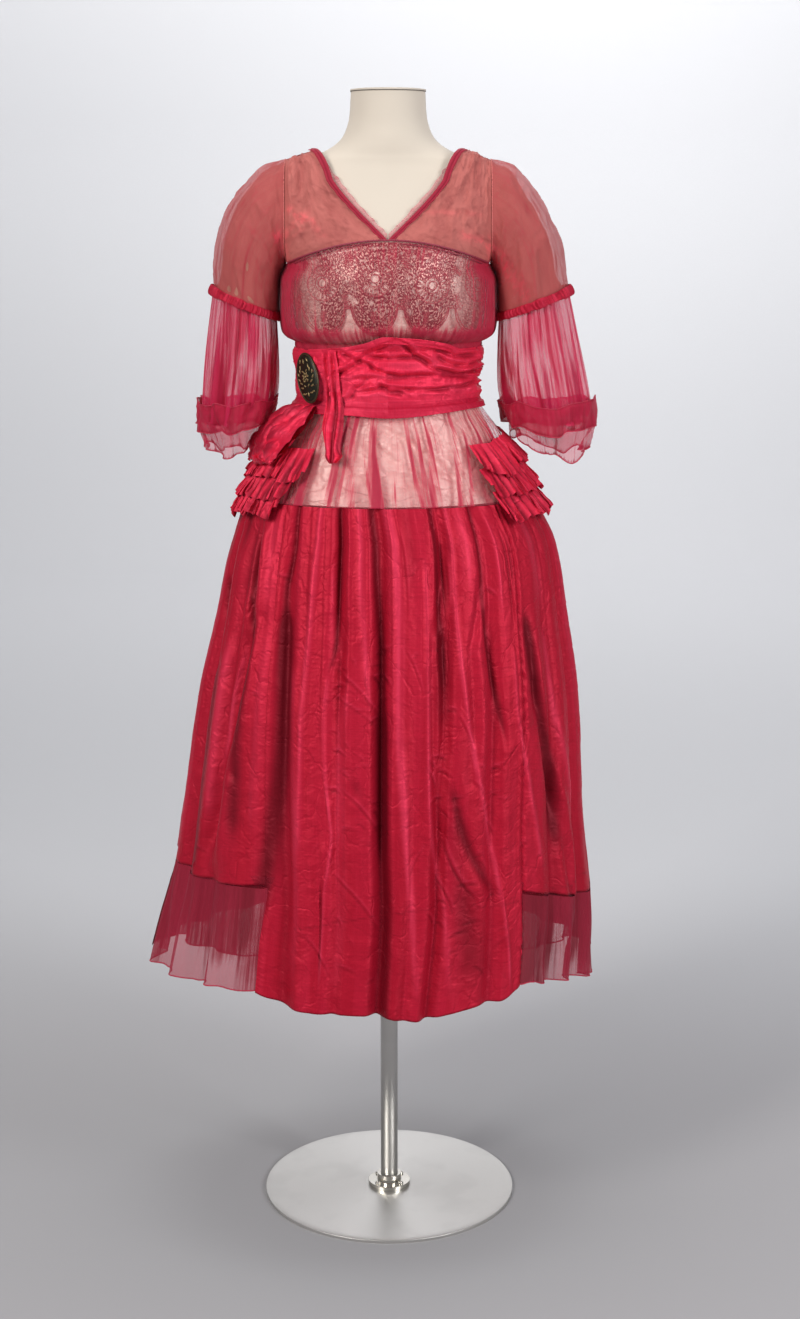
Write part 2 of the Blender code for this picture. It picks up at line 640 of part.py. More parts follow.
def neckline(share):
    """The front neckline from the middle of the V to the shoulder, bowed a little outwards."""
    bow = 0.003 * np.sin(math.pi * share)
    x = 0.0004 + (NECK_WIDTH - 0.0004) * share + bow
    z = LACE_LINE + (shoulder_top(NECK_WIDTH, YOKE_OUT) - LACE_LINE) * share - bow
    return x, z


def yoke_place(across, up, grow, side):
    """Points of a front yoke: across from the neckline to the armhole, up from the lace line."""
    across, up = np.asarray(across, float), np.asarray(up, float)
    neck_x, neck_z = neckline(up)
    arm_z = ARMPIT + (shoulder_top(ARMHOLE, YOKE_OUT) - ARMPIT) * up
    x = neck_x + (ARMHOLE - neck_x) * across
    level = neck_z + (arm_z - neck_z) * across
    lace = (1 - up) * (lace_height(x) - (LACE_LINE + (ARMPIT - LACE_LINE) * across))
    ridge = shoulder_top(x, YOKE_OUT) - (neck_z + (arm_z - neck_z) * across)
    z = level + lace + np.clip((up - 0.7) / 0.3, 0, 1) * ridge + LACE_SEAM_GAP / 2 * (up < 1e-9)
    lower = grow - YOKE_OUT
    y = -depth_at(x, z + lower * np.clip((z - 1.50) / 0.04, 0, 1), grow, True)
    return np.stack([side * x, y, z + lower * np.clip((z - 1.50) / 0.04, 0, 1)], axis=-1)


def make_front_yokes(collection):
    """The two sheer front yokes above the lace line, from the neckline to the armholes."""
    across = np.sin(np.linspace(0, math.pi / 2, YOKE_CELLS + 1))
    up = np.array(YOKE_UP)
    grid = np.meshgrid(across, up)
    for name, side in (("yoke_front_left", -1), ("yoke_front_right", 1)):
        outside = yoke_place(*grid, YOKE_OUT, side)
        inside = yoke_place(*grid, YOKE_OUT - CHIFFON, side)
        outside[-1, :, 1] = np.minimum(outside[-1, :, 1], -GAP / 2)
        inside[-1, :, 1] = np.minimum(inside[-1, :, 1], -GAP / 2)
        cloth(name, outside, inside, "lined_chiffon", collection)


def back_top(x):
    """Top edge of the back yoke: the back neckline, then the shoulder seams."""
    x = np.abs(x)
    seam = shoulder_top(np.maximum(x, NECK_WIDTH), YOKE_OUT)
    return seam - BACK_SCOOP * np.clip(1 - (x / NECK_WIDTH) ** 4, 0, 1)


def make_back_yoke(collection):
    """The sheer back yoke in one piece, from armhole to armhole."""
    side = np.array([0.035, 0.066, 0.090, NECK_WIDTH, 0.126, ARMHOLE])
    x = np.concatenate([-side[::-1], [0.0], side])
    up = np.array(YOKE_UP)[:, None]
    x = np.broadcast_to(x, (len(up), len(x)))
    low = ARMPIT + LACE_SEAM_GAP / 2
    skins = []
    for grow in (YOKE_OUT, YOKE_OUT - CHIFFON):
        z = low + (back_top(x) - low) * up
        z = z + (grow - YOKE_OUT) * np.clip((z - 1.50) / 0.04, 0, 1)
        y = depth_at(x, z, grow, False)
        y[-1] = np.maximum(y[-1], GAP / 2)
        skins.append(np.stack([x, y, z], axis=-1))
    cloth("yoke_back", skins[0], skins[1], "lined_chiffon", collection)


def make_neck_trims(collection):
    """The two bands down the neckline, and the thin frill that shows inside each."""
    up = np.linspace(0.02, 0.93, 12)
    for name, side in (("left", -1), ("right", 1)):
        skins = []
        for over in (CHIFFON, 0.0):
            strips = []
            for share, puff in ((0.0, 0.0), (0.5, 0.0013), (1.0, 0.0)):
                neck_x = neckline(up)[0]
                across = NECK_BAND_WIDTH * share / (ARMHOLE - neck_x)
                rise = 0.0012 * np.clip((up - 0.5) / 0.3, 0, 1)
                strips.append(yoke_place(across, up, YOKE_OUT + GAP + over + puff + rise, side))
            skins.append(np.stack(strips))
        cloth(f"neck_band_{name}", skins[0], skins[1], "chiffon", collection)
        fine = np.linspace(0.05, 0.80, 21)
        ripple = 0.0014 * np.sin(np.arange(21) * math.pi / 2)
        edge_x, edge_z = neckline(fine)
        skins = []
        for grow in (FRILL_OUT, FRILL_OUT - 0.001):
            strips = []
            for inward in (0.0018, NECK_FRILL_WIDTH):
                x = np.maximum(edge_x - inward, 0.0012)
                y = -depth_at(x, edge_z, grow, True) - (ripple + 0.0014 if inward > 0.002 else 0.0)
                strips.append(np.stack([side * x, y, edge_z + 0.0 * x], axis=-1))
            skins.append(np.stack(strips))
        cloth(f"neck_frill_{name}", skins[0], skins[1], "chiffon", collection)


def make_piping(collection):
    """The dark cord on the seam along the top of the lace."""
    turns = np.linspace(-1, 1, 21)
    x = (ARMHOLE - 0.004) * np.sin(turns * math.pi / 2)
    z = lace_height(x)
    out = YOKE_OUT + GAP + PIPING_RADIUS
    spine = np.stack([x, -depth_at(x, z, out + 0.0004, True), z], axis=-1)
    forward = np.gradient(spine, axis=0)
    forward /= np.linalg.norm(forward, axis=1, keepdims=True)
    up = np.cross(forward, np.cross((0, 0, 1.0), forward))
    up /= np.linalg.norm(up, axis=1, keepdims=True)
    aside = np.cross(forward, up)
    rings = []
    for point, raised, outwards in zip(spine, up, aside):
        turn = np.arange(5) * 0.4 * math.pi
        rings.append(point + PIPING_RADIUS * (np.outer(np.cos(turn), raised) + np.outer(np.sin(turn), outwards)))
    solid_rings("bust_piping", rings, "chiffon", collection)


# The sleeves


def sleeve_rings(table, turns, side, out, count):
    """Rings of points down a sleeve, moved out from its sections by the given amounts per row and column."""
    spots = np.linspace(0, len(table) - 1, count)
    knots = np.arange(len(table))
    read = {field: smooth_curve(knots, [getattr(row, field) for row in table], spots) for field in Slice._fields}
    if side < 0:
        fallen = np.clip((1.47 - read["outer_z"]) / 0.30, 0, 1)
        read["outer_x"] = read["outer_x"] * (1 - LEFT_NARROWER * fallen)
    turns = np.radians(turns)
    out = np.broadcast_to(out, (count, len(turns)))
    rings = []
    for row in range(count):
        outer = np.array([read["outer_x"][row], read["outer_z"][row]])
        inner = np.array([read["inner_x"][row], read["inner_z"][row]])
        middle, half = (outer + inner) / 2, (outer - inner) / 2
        grown = 1 + out[row] / np.linalg.norm(half)
        x = middle[0] + half[0] * np.cos(turns) * grown
        z = middle[1] + half[1] * np.cos(turns) * grown - read["sag"][row] * np.sin(turns) ** 2
        y = read["middle"][row] + (LEFT_BACK if side < 0 else 0.0) * row / count - (read["depth"][row] + out[row]) * np.sin(turns)
        rings.append(np.stack([side * x, y, z], axis=-1))
    return np.stack(rings)


def armhole_ring(turns, side, grow):
    """The sleeve's top edge, standing just outside the armhole of the yokes."""
    turns = np.radians(turns)
    high, low = shoulder_top(ARMHOLE, YOKE_OUT) + grow - YOKE_OUT, ARMPIT + 0.0050 - (grow - YOKE_OUT)
    z = (high + low) / 2 + (high - low) / 2 * np.cos(turns)
    level = np.clip(z, ARMPIT, None)
    x = np.full(len(turns), ARMHOLE + GAP)
    front = np.sin(turns) > 0
    y = np.where(front, -depth_at(x, level, grow, True), depth_at(x, level, grow, False))
    return np.stack([side * x, y * np.clip(np.abs(np.sin(turns)) * 2.2, 0, 1), z], axis=-1)


def make_sleeves(collection):
    """Both sleeves: upper part, ruched band, gathered lower part, doubled cuff and hanging frill."""
    for name, side in (("left", -1), ("right", 1)):
        turns = np.arange(18) * 20.0
        skins = []
        for out in (0.0, -CHIFFON):
            rings = sleeve_rings(UPPER_SLEEVE, turns, side, out, 5)
            top = armhole_ring(turns, side, YOKE_OUT + 0.0015 + out)
            skins.append(np.concatenate([top[None], rings]))
        cloth(f"upper_sleeve_{name}", skins[0], skins[1], "lined_chiffon", collection, closed=True)

        turns = np.arange(2 * BAND_PLEATS) * 180.0 / BAND_PLEATS
        pleat = BAND_PLEAT_DEPTH * (np.arange(2 * BAND_PLEATS) % 2)
        lift = np.array([[0.0], [1.0], [0.0]]) * 0.0022
        outside = sleeve_rings(BAND_ROWS, turns, side, 0.0040 + TAFFETA + lift - pleat, 3)
        inside = sleeve_rings(BAND_ROWS, turns, side, 0.0040 + lift - pleat, 3)
        cloth(f"ruched_band_{name}", outside, inside, "taffeta", collection, closed=True)

        columns = 3 * SLEEVE_GATHERS
        turns = np.arange(columns) * 360.0 / columns
        fold = waves(turns, SLEEVE_GATHERS, 0.6 * side)
        depth = np.array([[0.25], [0.8], [1.0], [1.1]]) * SLEEVE_GATHER_DEPTH
        outside = sleeve_rings(LOWER_SLEEVE, turns, side, -depth * fold, 4)
        inside = sleeve_rings(LOWER_SLEEVE, turns, side, -depth * fold - CHIFFON, 4)
        cloth(f"lower_sleeve_{name}", outside, inside, "chiffon", collection, closed=True)

        columns = 3 * CUFF_WAVES
        turns = np.arange(columns) * 360.0 / columns
        fold = waves(turns, CUFF_WAVES, 1.1 * side)
        depth = np.array([[1.0], [0.7], [0.9]]) * CUFF_WAVE_DEPTH
        for part, table, lift in (("band", CUFF_BAND, 0.0018), ("frill", CUFF_FRILL, 0.0)):
            over = 0.0 if part == "frill" else lift
            outside = sleeve_rings(table, turns, side, over - depth * fold * (0.6 if over else 1.0), 3)
            inside = sleeve_rings(table, turns, side, over - depth * fold * (0.6 if over else 1.0) - CHIFFON, 3)
            cloth(f"cuff_{part}_{name}", outside, inside, "chiffon", collection, closed=True)


# The skirt


def skirt_point(top_angle, height, out):
    """A place on the skirt: its thread's angle at the seam, its height, and how far outside the cloth."""
    top_angle, height = np.broadcast_arrays(np.asarray(top_angle, float), np.asarray(height, float))
    fall = np.clip((SKIRT_SEAM - height) / (SKIRT_SEAM - FRONT_HEM), 0, 1)
    turned_angle = (top_angle + 180.0) % 360.0 - 180.0
    drift = smooth_curve([d.at_top for d in DRIFT], [d.at_hem for d in DRIFT], turned_angle) - turned_angle
    sink = np.zeros(top_angle.shape)
    for fold in FOLDS:
        depth = np.interp(fall, [0, 0.35, 1], [fold.top, fold.middle, fold.hem])
        sink += depth * np.exp(-(((turned_angle - fold.angle) / fold.width) ** 2))
    return place(SKIRT, height, top_angle + drift * fall, out - sink)


def panel(name, start, end, columns, hem, rows, finish, collection):
    """A skirt panel between two threads, from the yoke seam down to its hem (a height per end)."""
    angles = np.linspace(start, end, columns + 1)
    share = np.linspace(0, 1, columns + 1)
    hems = np.interp(share, np.linspace(0, 1, len(hem)), hem)
    outside, inside = [], []
    for part in np.linspace(0, 1, rows + 1):
        height = SKIRT_SEAM - GAP + (hems - SKIRT_SEAM + GAP) * part
        outside.append(skirt_point(angles, height, 0.0))
        inside.append(skirt_point(angles, height, -TAFFETA))
    cloth(name, np.stack(outside), np.stack(inside), finish, collection)


def make_skirt(collection):
    """The sheer yoke over its pale lining, and the four taffeta panels below it."""
    angles = np.arange(TORSO_COLUMNS) * 360.0 / TORSO_COLUMNS
    rows = [SKIRT_SEAM, 1.150, 1.206]
    outside = np.stack([place(LINING, z, angles, 0.0) for z in rows])
    inside = np.stack([place(LINING, z, angles, -SILK) for z in rows])
    cloth("skirt_lining", outside, inside, "lining_silk", collection, closed=True)

    count = 2 * YOKE_GATHERS
    angles = np.arange(count) * 360.0 / count
    deep = np.where(np.arange(count) % 2, 1.0, 0.0) * (0.75 + 0.25 * np.sin(np.radians(angles * 5)))
    rows = list(zip(YOKE_ROWS, (0.8, 1.0, 0.7, 0.12)))
    outside = np.stack([place(SKIRT, z, angles, -YOKE_GATHER_DEPTH * part * deep) for z, part in rows])
    inside = np.stack([place(SKIRT, z, angles, -YOKE_GATHER_DEPTH * part * deep - CHIFFON) for z, part in rows])
    cloth("skirt_yoke", outside, inside, "chiffon", collection, closed=True)

    slit = 0.12
    panel("skirt_front_panel", SEAM_LEFT + slit, SEAM_RIGHT - slit, 32, (FRONT_HEM,), 8, "taffeta", collection)
    panel("skirt_side_left", -100 + slit, SEAM_LEFT - slit, SIDE_COLUMNS, SIDE_HEM_LEFT, 6, "taffeta", collection)
    panel("skirt_side_right", SEAM_RIGHT + slit, 100 - slit, SIDE_COLUMNS, SIDE_HEM_RIGHT, 6, "taffeta", collection)
    panel("skirt_back", 100 + slit, 260 - slit, 32, (FRONT_HEM,), 6, "taffeta", collection)


def make_hem_bands(collection):
    """The gathered sheer bands below the side panels, and the darker shorter band inside each."""
    left = ("left", -99.88, -44.12, SIDE_HEM_LEFT, BAND_HEM_LEFT)
    right = ("right", 46.12, 99.88, SIDE_HEM_RIGHT, BAND_HEM_RIGHT)
    for name, start, end, hem, feet in (left, right):
        angles = np.linspace(start, end, SIDE_COLUMNS + 1)
        share = np.linspace(0, 1, SIDE_COLUMNS + 1)
        above = np.interp(share, np.linspace(0, 1, len(hem)), hem)
        fold = np.where(np.arange(SIDE_COLUMNS + 1) % 2, 1.0, 0.0)
        outside, inside = [], []
        for part, depth in ((0.0, 0.001), (0.45, 0.004), (1.0, 0.008)):
            foot = np.interp(share, np.linspace(0, 1, 3), feet)
            height = above - GAP - 0.0002 + (foot - above) * part
            outside.append(skirt_point(angles, height, -depth * fold))
            inside.append(skirt_point(angles, height, -depth * fold - CHIFFON))
        cloth(f"chiffon_hem_{name}", np.stack(outside), np.stack(inside), "chiffon", collection)
        outside, inside = [], []
        lap = (0.016, -TAFFETA - 0.0009), (-0.030, -0.0085), (None, -0.0170)
        for drop, out in lap:
            height = np.full(len(above), 0.415) if drop is None else above + drop
            outside.append(skirt_point(angles, height, out))
            inside.append(skirt_point(angles, height, out - CHIFFON))
        cloth(f"chiffon_inner_{name}", np.stack(outside), np.stack(inside), "chiffon", collection)


def make_ruffles(collection):
    """Three pleated ruffles on each hip, each flaring out over the seam of the next."""
    for ruffle in RUFFLES:
        count = 3 * RUFFLE_WAVES
        share = np.linspace(0, 1, count + 1)
        angles = ruffle.front + (ruffle.back - ruffle.front) * share
        top = ruffle.front_height + (ruffle.back_height - ruffle.front_height) * share
        pleat = np.array([0.0, 0.75, 1.0])[np.arange(count + 1) % 3]
        outside, inside = [], []
        for part, out, wave in ((0.0, 0.0, 0.0), (0.5, 0.45, 0.55), (1.0, 1.0, 1.0)):
            lift = RUFFLE_GAP + TAFFETA + ruffle.flare * out + RUFFLE_WAVE * wave * pleat
            height = top - RUFFLE_DROP * part
            outside.append(on_yoke(height, angles, lift))
            inside.append(on_yoke(height, angles, lift - TAFFETA))
        cloth(ruffle.name, np.stack(outside), np.stack(inside), "taffeta", collection)


# The sash and its bow


def make_sash(collection):
    """The folded sash and the flat band along its lower edge."""
    columns = 28
    angles = np.arange(columns) * 360.0 / columns
    levels = np.linspace(SASH_FOLDS_BOTTOM + GAP, SASH_TOP, 6)
    sink = np.array([0.0, 0.0030, 0.0, 0.0032, 0.0002, 0.0])
    slant = 0.004 * np.sin(np.radians(angles) + 0.6)
    outside, inside = [], []
    for row, level in enumerate(levels):
        height = level + (slant if 0 < row < 5 else 0.0 * slant)
        outside.append(place(SASH, height, angles, -sink[row]))
        inside.append(place(SASH, height, angles, -sink[row] - TAFFETA))
    cloth("sash_wrap", np.stack(outside), np.stack(inside), "taffeta", collection, closed=True)
    angles = np.arange(TORSO_COLUMNS) * 360.0 / TORSO_COLUMNS
    rows = [SASH_BOTTOM, YOKE_TOP, SASH_FOLDS_BOTTOM]
    outside = np.stack([place(SASH, z, angles, 0.0012) for z in rows])
    inside = np.stack([place(SASH, z, angles, 0.0012 - TAFFETA) for z in rows])
    cloth("sash_lower_band", outside, inside, "taffeta", collection, closed=True)


def hanging(name, table, across, crease, finish, collection):
    """A strip laid along a table of rows on the sash and skirt, creased lengthwise."""
    share = np.linspace(-1, 1, across + 1)
    outside, inside = [], []
    for row in table:
        shape = SASH if row.height > 1.2 else SKIRT
        angles = row.angle + row.half_width * share
        out = row.out + crease * (np.arange(across + 1) % 2)
        outside.append(place(shape, row.height, angles, out + TAFFETA))
        inside.append(place(shape, row.height, angles, out))
    cloth(name, np.stack(outside), np.stack(inside), finish, collection)


def make_bow(collection):
    """The knot, the broad loop and the narrow tail, and the oval ornament with its rim."""
    hanging("sash_tail", TAIL, 4, 0.0022, "taffeta", collection)
    rows = [skin_row(row) for row in LOOP]
    middle = np.stack(rows)
    along = np.gradient(middle, axis=0)
    across = np.gradient(middle, axis=1)
    normal = np.cross(along, across)
    normal /= np.linalg.norm(normal, axis=-1, keepdims=True)
    cloth("sash_loop", middle + normal * TAFFETA / 2, middle - normal * TAFFETA / 2, "taffeta", collection)


def skin_row(row):
    """One row of the loop's middle surface, puffed out along its middle."""
    share = np.linspace(-1, 1, 5)
    puff = 0.004 * (1 - share**2)
    shape = SASH if row.height > 1.2 else SKIRT
    return place(shape, row.height, row.angle + row.half_width * share, row.out + puff)


def make_ornament(collection):
    """The oval plate on the knot, turned to face out from the sash, and the thin rim round it."""
    centre = place(SASH, ORNAMENT_HEIGHT, ORNAMENT_ANGLE, ORNAMENT_OUT)
    outwards = place(SASH, ORNAMENT_HEIGHT, ORNAMENT_ANGLE, ORNAMENT_OUT + 1.0) - centre
    aside = np.cross((0, 0, 1.0), outwards)
    aside /= np.linalg.norm(aside)
    up = np.cross(outwards, aside)
    tilt = math.radians(ORNAMENT_TILT)
    aside, up = aside * math.cos(tilt) + up * math.sin(tilt), up * math.cos(tilt) - aside * math.sin(tilt)

    def oval(scale, lift, count=16):
        turn = np.arange(count) * 2 * math.pi / count
        flat = np.outer(np.cos(turn) * ORNAMENT_HALF_WIDTH * scale, aside)
        flat += np.outer(np.sin(turn) * ORNAMENT_HALF_HEIGHT * scale, up)
        return centre + flat + outwards * lift

    rings = [oval(0.93, 0.0), oval(0.93, 0.0012), oval(0.7, 0.0026), oval(0.35, 0.0034)]
    solid_rings("ornament_plate", rings, "ornament_metal", collection)
    wide, narrow = 1.0, 0.945
    outside = np.stack([oval(wide, -0.0006), oval(wide + 0.02, 0.0008), oval(wide, 0.0022)])
    inside = np.stack([oval(narrow, -0.0006), oval(narrow, 0.0008), oval(narrow, 0.0022)])
    cloth("ornament_rim", outside, inside, "ornament_metal", collection, closed=True)


def make_knot(collection):
    """The puffed knot of the sash behind the ornament."""
    share = np.linspace(-1, 1, 6)
    outside, inside = [], []
    for up in share:
        puff = KNOT_PUFF * (1 - share**2) * (1 - up**2)
        height = ORNAMENT_HEIGHT + 0.028 * up
        angles = ORNAMENT_ANGLE + 11.0 * share
        outside.append(place(SASH, height, angles, GAP + TAFFETA + puff))
        inside.append(place(SASH, height, angles, GAP + puff))
    cloth("sash_knot", np.stack(outside), np.stack(inside), "taffeta", collection)


def make_all():
    """Builds every piece of the dress and its stand."""
    clear_scene()
    collection = bpy.data.collections.new("chiffon_dress")
    bpy.context.scene.collection.children.link(collection)
    for make in (make_base, make_flange, make_pole, make_form, make_bodice_lining, make_lace, make_bodice):
        make(collection)
    for make in (make_front_yokes, make_back_yoke, make_neck_trims, make_piping, make_sleeves, make_skirt):
        make(collection)
    for make in (make_hem_bands, make_ruffles, make_sash, make_knot, make_bow, make_ornament):
        make(collection)


make_all()
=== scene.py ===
"""A 1910s afternoon dress of chiffon, taffeta and lace on its dress form, in a plain pale studio.

Metres, +Z up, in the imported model's frame: the origin is the middle of the base plate's underside and the
dress faces -Y. Angles round the figure are in degrees from the front, positive towards +X. A thread of the
skirt is named by its angle at the yoke seam. Left and right are the viewer's own.
"""

import logging
import math
from collections.abc import Callable, Sequence
from dataclasses import dataclass, field
from enum import Enum
from typing import NamedTuple

import bpy
import numpy as np
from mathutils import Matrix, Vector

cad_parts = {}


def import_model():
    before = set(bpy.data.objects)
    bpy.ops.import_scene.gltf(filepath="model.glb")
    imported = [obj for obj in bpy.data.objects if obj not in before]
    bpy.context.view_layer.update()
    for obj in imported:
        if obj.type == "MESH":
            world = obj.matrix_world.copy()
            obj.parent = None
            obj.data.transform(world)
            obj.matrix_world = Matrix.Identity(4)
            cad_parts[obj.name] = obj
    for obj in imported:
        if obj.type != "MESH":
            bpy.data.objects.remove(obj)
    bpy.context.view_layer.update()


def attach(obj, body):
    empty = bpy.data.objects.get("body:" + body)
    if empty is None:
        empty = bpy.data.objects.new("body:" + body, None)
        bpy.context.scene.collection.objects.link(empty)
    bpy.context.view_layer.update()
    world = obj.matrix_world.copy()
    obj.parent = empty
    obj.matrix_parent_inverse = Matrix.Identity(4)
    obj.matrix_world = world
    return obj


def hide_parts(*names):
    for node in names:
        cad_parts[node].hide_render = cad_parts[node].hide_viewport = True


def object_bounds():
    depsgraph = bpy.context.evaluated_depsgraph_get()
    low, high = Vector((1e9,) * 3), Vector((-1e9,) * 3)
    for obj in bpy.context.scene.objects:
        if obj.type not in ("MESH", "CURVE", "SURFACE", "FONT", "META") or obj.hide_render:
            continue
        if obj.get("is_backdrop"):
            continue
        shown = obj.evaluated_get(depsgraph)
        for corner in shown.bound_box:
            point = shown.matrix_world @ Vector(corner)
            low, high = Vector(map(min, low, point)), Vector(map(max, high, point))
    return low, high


Array = np.ndarray
Colour = tuple[float, float, float]
# A cord: its middle line, its radius, and whether it closes on itself.
Path = tuple[Array, float, bool]
FourSizes = tuple[float, float, float, float]
LOG = logging.getLogger("chiffon_dress")


class Side(Enum):
    """The two sides of the dress, as the viewer sees them."""

    LEFT = -1
    RIGHT = 1

    @property
    def label(self) -> str:
        """The side's name in a piece's name."""
        return self.name.lower()


class Section(NamedTuple):
    """An oval section: its height, middle, half width, and reach to the front and back."""

    height: float
    centre: float
    half_width: float
    front: float
    back: float


class Slice(NamedTuple):
    """A slanted section of a sleeve: its outer and inner points, half depth, middle and sag."""

    outer_x: float
    outer_z: float
    inner_x: float
    inner_z: float
    depth: float
    middle: float
    sag: float


class Fold(NamedTuple):
    """A trough down the skirt: its thread, its width in degrees, and its depth at seam, knee and hem."""

    angle: float
    width: float
    top: float
    middle: float
    hem: float


class Crease(NamedTuple):
    """A soft crease between two places given as angle and height, with its width, depth and bow."""

    angle_from: float
    height_from: float
    angle_to: float
    height_to: float
    width: float
    depth: float
    bow: float


class RuffleRow(NamedTuple):
    """A ruffle's seam: its angles and heights at the front and back, and how far its edge stands out."""

    front: float
    back: float
    front_height: float
    back_height: float
    flare: float


class Streak(NamedTuple):
    """A ridge of the taffeta, raised a little and given a painted highlight, or a valley where its strength
    is negative, sunk a little and given painted shade, down a line of threads.
    """

    strength: float
    width: float
    line: tuple[tuple[float, float], ...]


def smooth_curve(knots: Sequence[float], values: Sequence[float], wanted: Array) -> Array:
    """A smooth curve through the knots that never overshoots them.

    Args:
        knots: Where the values are given.
        values: The value at each knot.
        wanted: Where the curve is read.

    Returns:
        The curve's value at each wanted place.
    """
    knots, values = np.asarray(knots, float), np.asarray(values, float)
    order = np.argsort(knots)
    knots, values = knots[order], values[order]
    step = np.diff(knots)
    slope = np.diff(values) / step
    tangent = np.concatenate([[slope[0]], (slope[:-1] + slope[1:]) / 2, [slope[-1]]])
    tangent[1:-1][slope[:-1] * slope[1:] <= 0] = 0.0
    most = 3 * np.minimum(np.abs(np.append(slope, slope[-1])), np.abs(np.insert(slope, 0, slope[0])))
    tangent = np.clip(tangent, -most, most)
    wanted = np.clip(np.asarray(wanted, float), knots[0], knots[-1])
    cell = np.clip(np.searchsorted(knots, wanted, side="right") - 1, 0, len(step) - 1)
    part = (wanted - knots[cell]) / step[cell]
    rest, square, width = (1 - part) ** 2, part**2, step[cell]
    start = (1 + 2 * part) * rest * values[cell] + part * rest * width * tangent[cell]
    end = square * (3 - 2 * part) * values[cell + 1] + square * (part - 1) * width * tangent[cell + 1]
    return start + end


def eased(values: Array, low: float, high: float) -> Array:
    """A smooth rise from 0 at low to 1 at high."""
    part = np.clip((np.asarray(values, float) - low) / (high - low), 0.0, 1.0)
    return part * part * (3 - 2 * part)


def bell(distance: Array, width: float | Array) -> Array:
    """A soft bump, 1 in the middle and nearly 0 two widths away."""
    return np.exp(-((np.asarray(distance) / width) ** 2))


def facing(angles: Array | float) -> Array | float:
    """The same angles between -180 and 180 degrees, 0 at the front."""
    return (angles + 180.0) % 360.0 - 180.0


def strip_grid(columns: int, rows: int) -> tuple[Array, Array]:
    """Places from 0 to 1 across a strip of cloth, and from 0 to 1 down it."""
    return np.linspace(0, 1, columns)[None, :], np.linspace(0, 1, rows)[:, None]


def ring_grid(columns: int, rows: int) -> tuple[Array, Array]:
    """Angles in degrees round a ring of cloth, and places from 0 to 1 down it."""
    return np.arange(columns)[None, :] * 360.0 / columns, np.linspace(0, 1, rows)[:, None]


@dataclass(frozen=True)
class Crumple:
    """Repeatable smooth unevenness, for creases too small and too many to place by hand."""

    seed: int
    cells: int = 96

    def soft(self, across: Array, along: Array) -> Array:
        """Smooth noise from -1 to 1 with one hill a unit.

        Args:
            across: Place across, in hills.
            along: Place along, in hills.

        Returns:
            The noise at each point.
        """
        table = np.random.default_rng(self.seed).uniform(-1.0, 1.0, (self.cells, self.cells))
        across, along = np.broadcast_arrays(np.asarray(across, float), np.asarray(along, float))
        left, low = np.floor(across).astype(int), np.floor(along).astype(int)
        u, v = across - left, along - low
        u, v = u * u * (3 - 2 * u), v * v * (3 - 2 * v)
        corner = [[table[(left + i) % self.cells, (low + j) % self.cells] for j in (0, 1)] for i in (0, 1)]
        near = corner[0][0] * (1 - v) + corner[0][1] * v
        far = corner[1][0] * (1 - v) + corner[1][1] * v
        return near * (1 - u) + far * u

    def creased(self, across: Array, along: Array) -> Array:
        """Noise from 0 to 1 with sharp crests where the cloth has been pressed together.

        Args:
            across: Place across, in creases.
            along: Place along, in creases.

        Returns:
            The noise at each point.
        """
        swirl = 0.35 * self.soft(across * 0.7 + 11.3, along * 0.7 + 4.1)
        first = 1 - np.abs(self.soft(across + swirl, along - swirl))
        second = 1 - np.abs(self.soft(across * 2.1 + 5.0 + swirl, along * 2.1 + 9.0))
        return np.clip(0.65 * first**3 + 0.35 * second**3, 0.0, 1.0)


@dataclass(frozen=True)
class Figure:
    """A closed surface round the figure, through oval sections."""

    rows: tuple[Section, ...]

    def read(self, name: str, heights: Array) -> Array:
        """One named size of the sections, read at the wanted heights.

        Args:
            name: Name of the size in a section.
            heights: Heights it is wanted at.

        Returns:
            The size at each height.
        """
        return smooth_curve(
            [row.height for row in self.rows], [getattr(row, name) for row in self.rows], heights
        )

    def place(self, heights: Array, angles: Array, out: Array | float = 0.0) -> Array:
        """Points on the surface.

        Args:
            heights: Height of each point.
            angles: Angle of each point in degrees.
            out: How far each point is moved out along the surface's level normal.

        Returns:
            The points, with x, y and z in the last axis.
        """
        heights, angles, out = np.broadcast_arrays(
            np.asarray(heights, float), np.radians(np.asarray(angles, float)), np.asarray(out, float)
        )
        wide = self.read("half_width", heights)
        deep = np.where(np.cos(angles) > 0, self.read("front", heights), self.read("back", heights))
        normal = np.stack([np.sin(angles) / wide, -np.cos(angles) / deep], axis=-1)
        normal /= np.linalg.norm(normal, axis=-1, keepdims=True)
        x = self.read("centre", heights) + wide * np.sin(angles) + out * normal[..., 0]
        y = -deep * np.cos(angles) + out * normal[..., 1]
        return np.stack([x, y, heights], axis=-1)

    def depth_at(self, x: Array, heights: Array, grow: float, front: bool) -> Array:
        """How far the grown surface reaches to the front or back at a place across it.

        Args:
            x: Place across the figure.
            heights: Height of each point.
            grow: How far outside the surface the points are.
            front: Whether it reads the front or the back.

        Returns:
            The reach at each point, in metres.
        """
        lift = grow * np.clip((heights - 1.42) / 0.08, 0, 1)
        deep = self.read("front" if front else "back", heights - lift) + grow
        wide = self.read("half_width", heights - lift) + grow
        return deep * np.sqrt(np.clip(1 - (x / wide) ** 2, 0, 1))


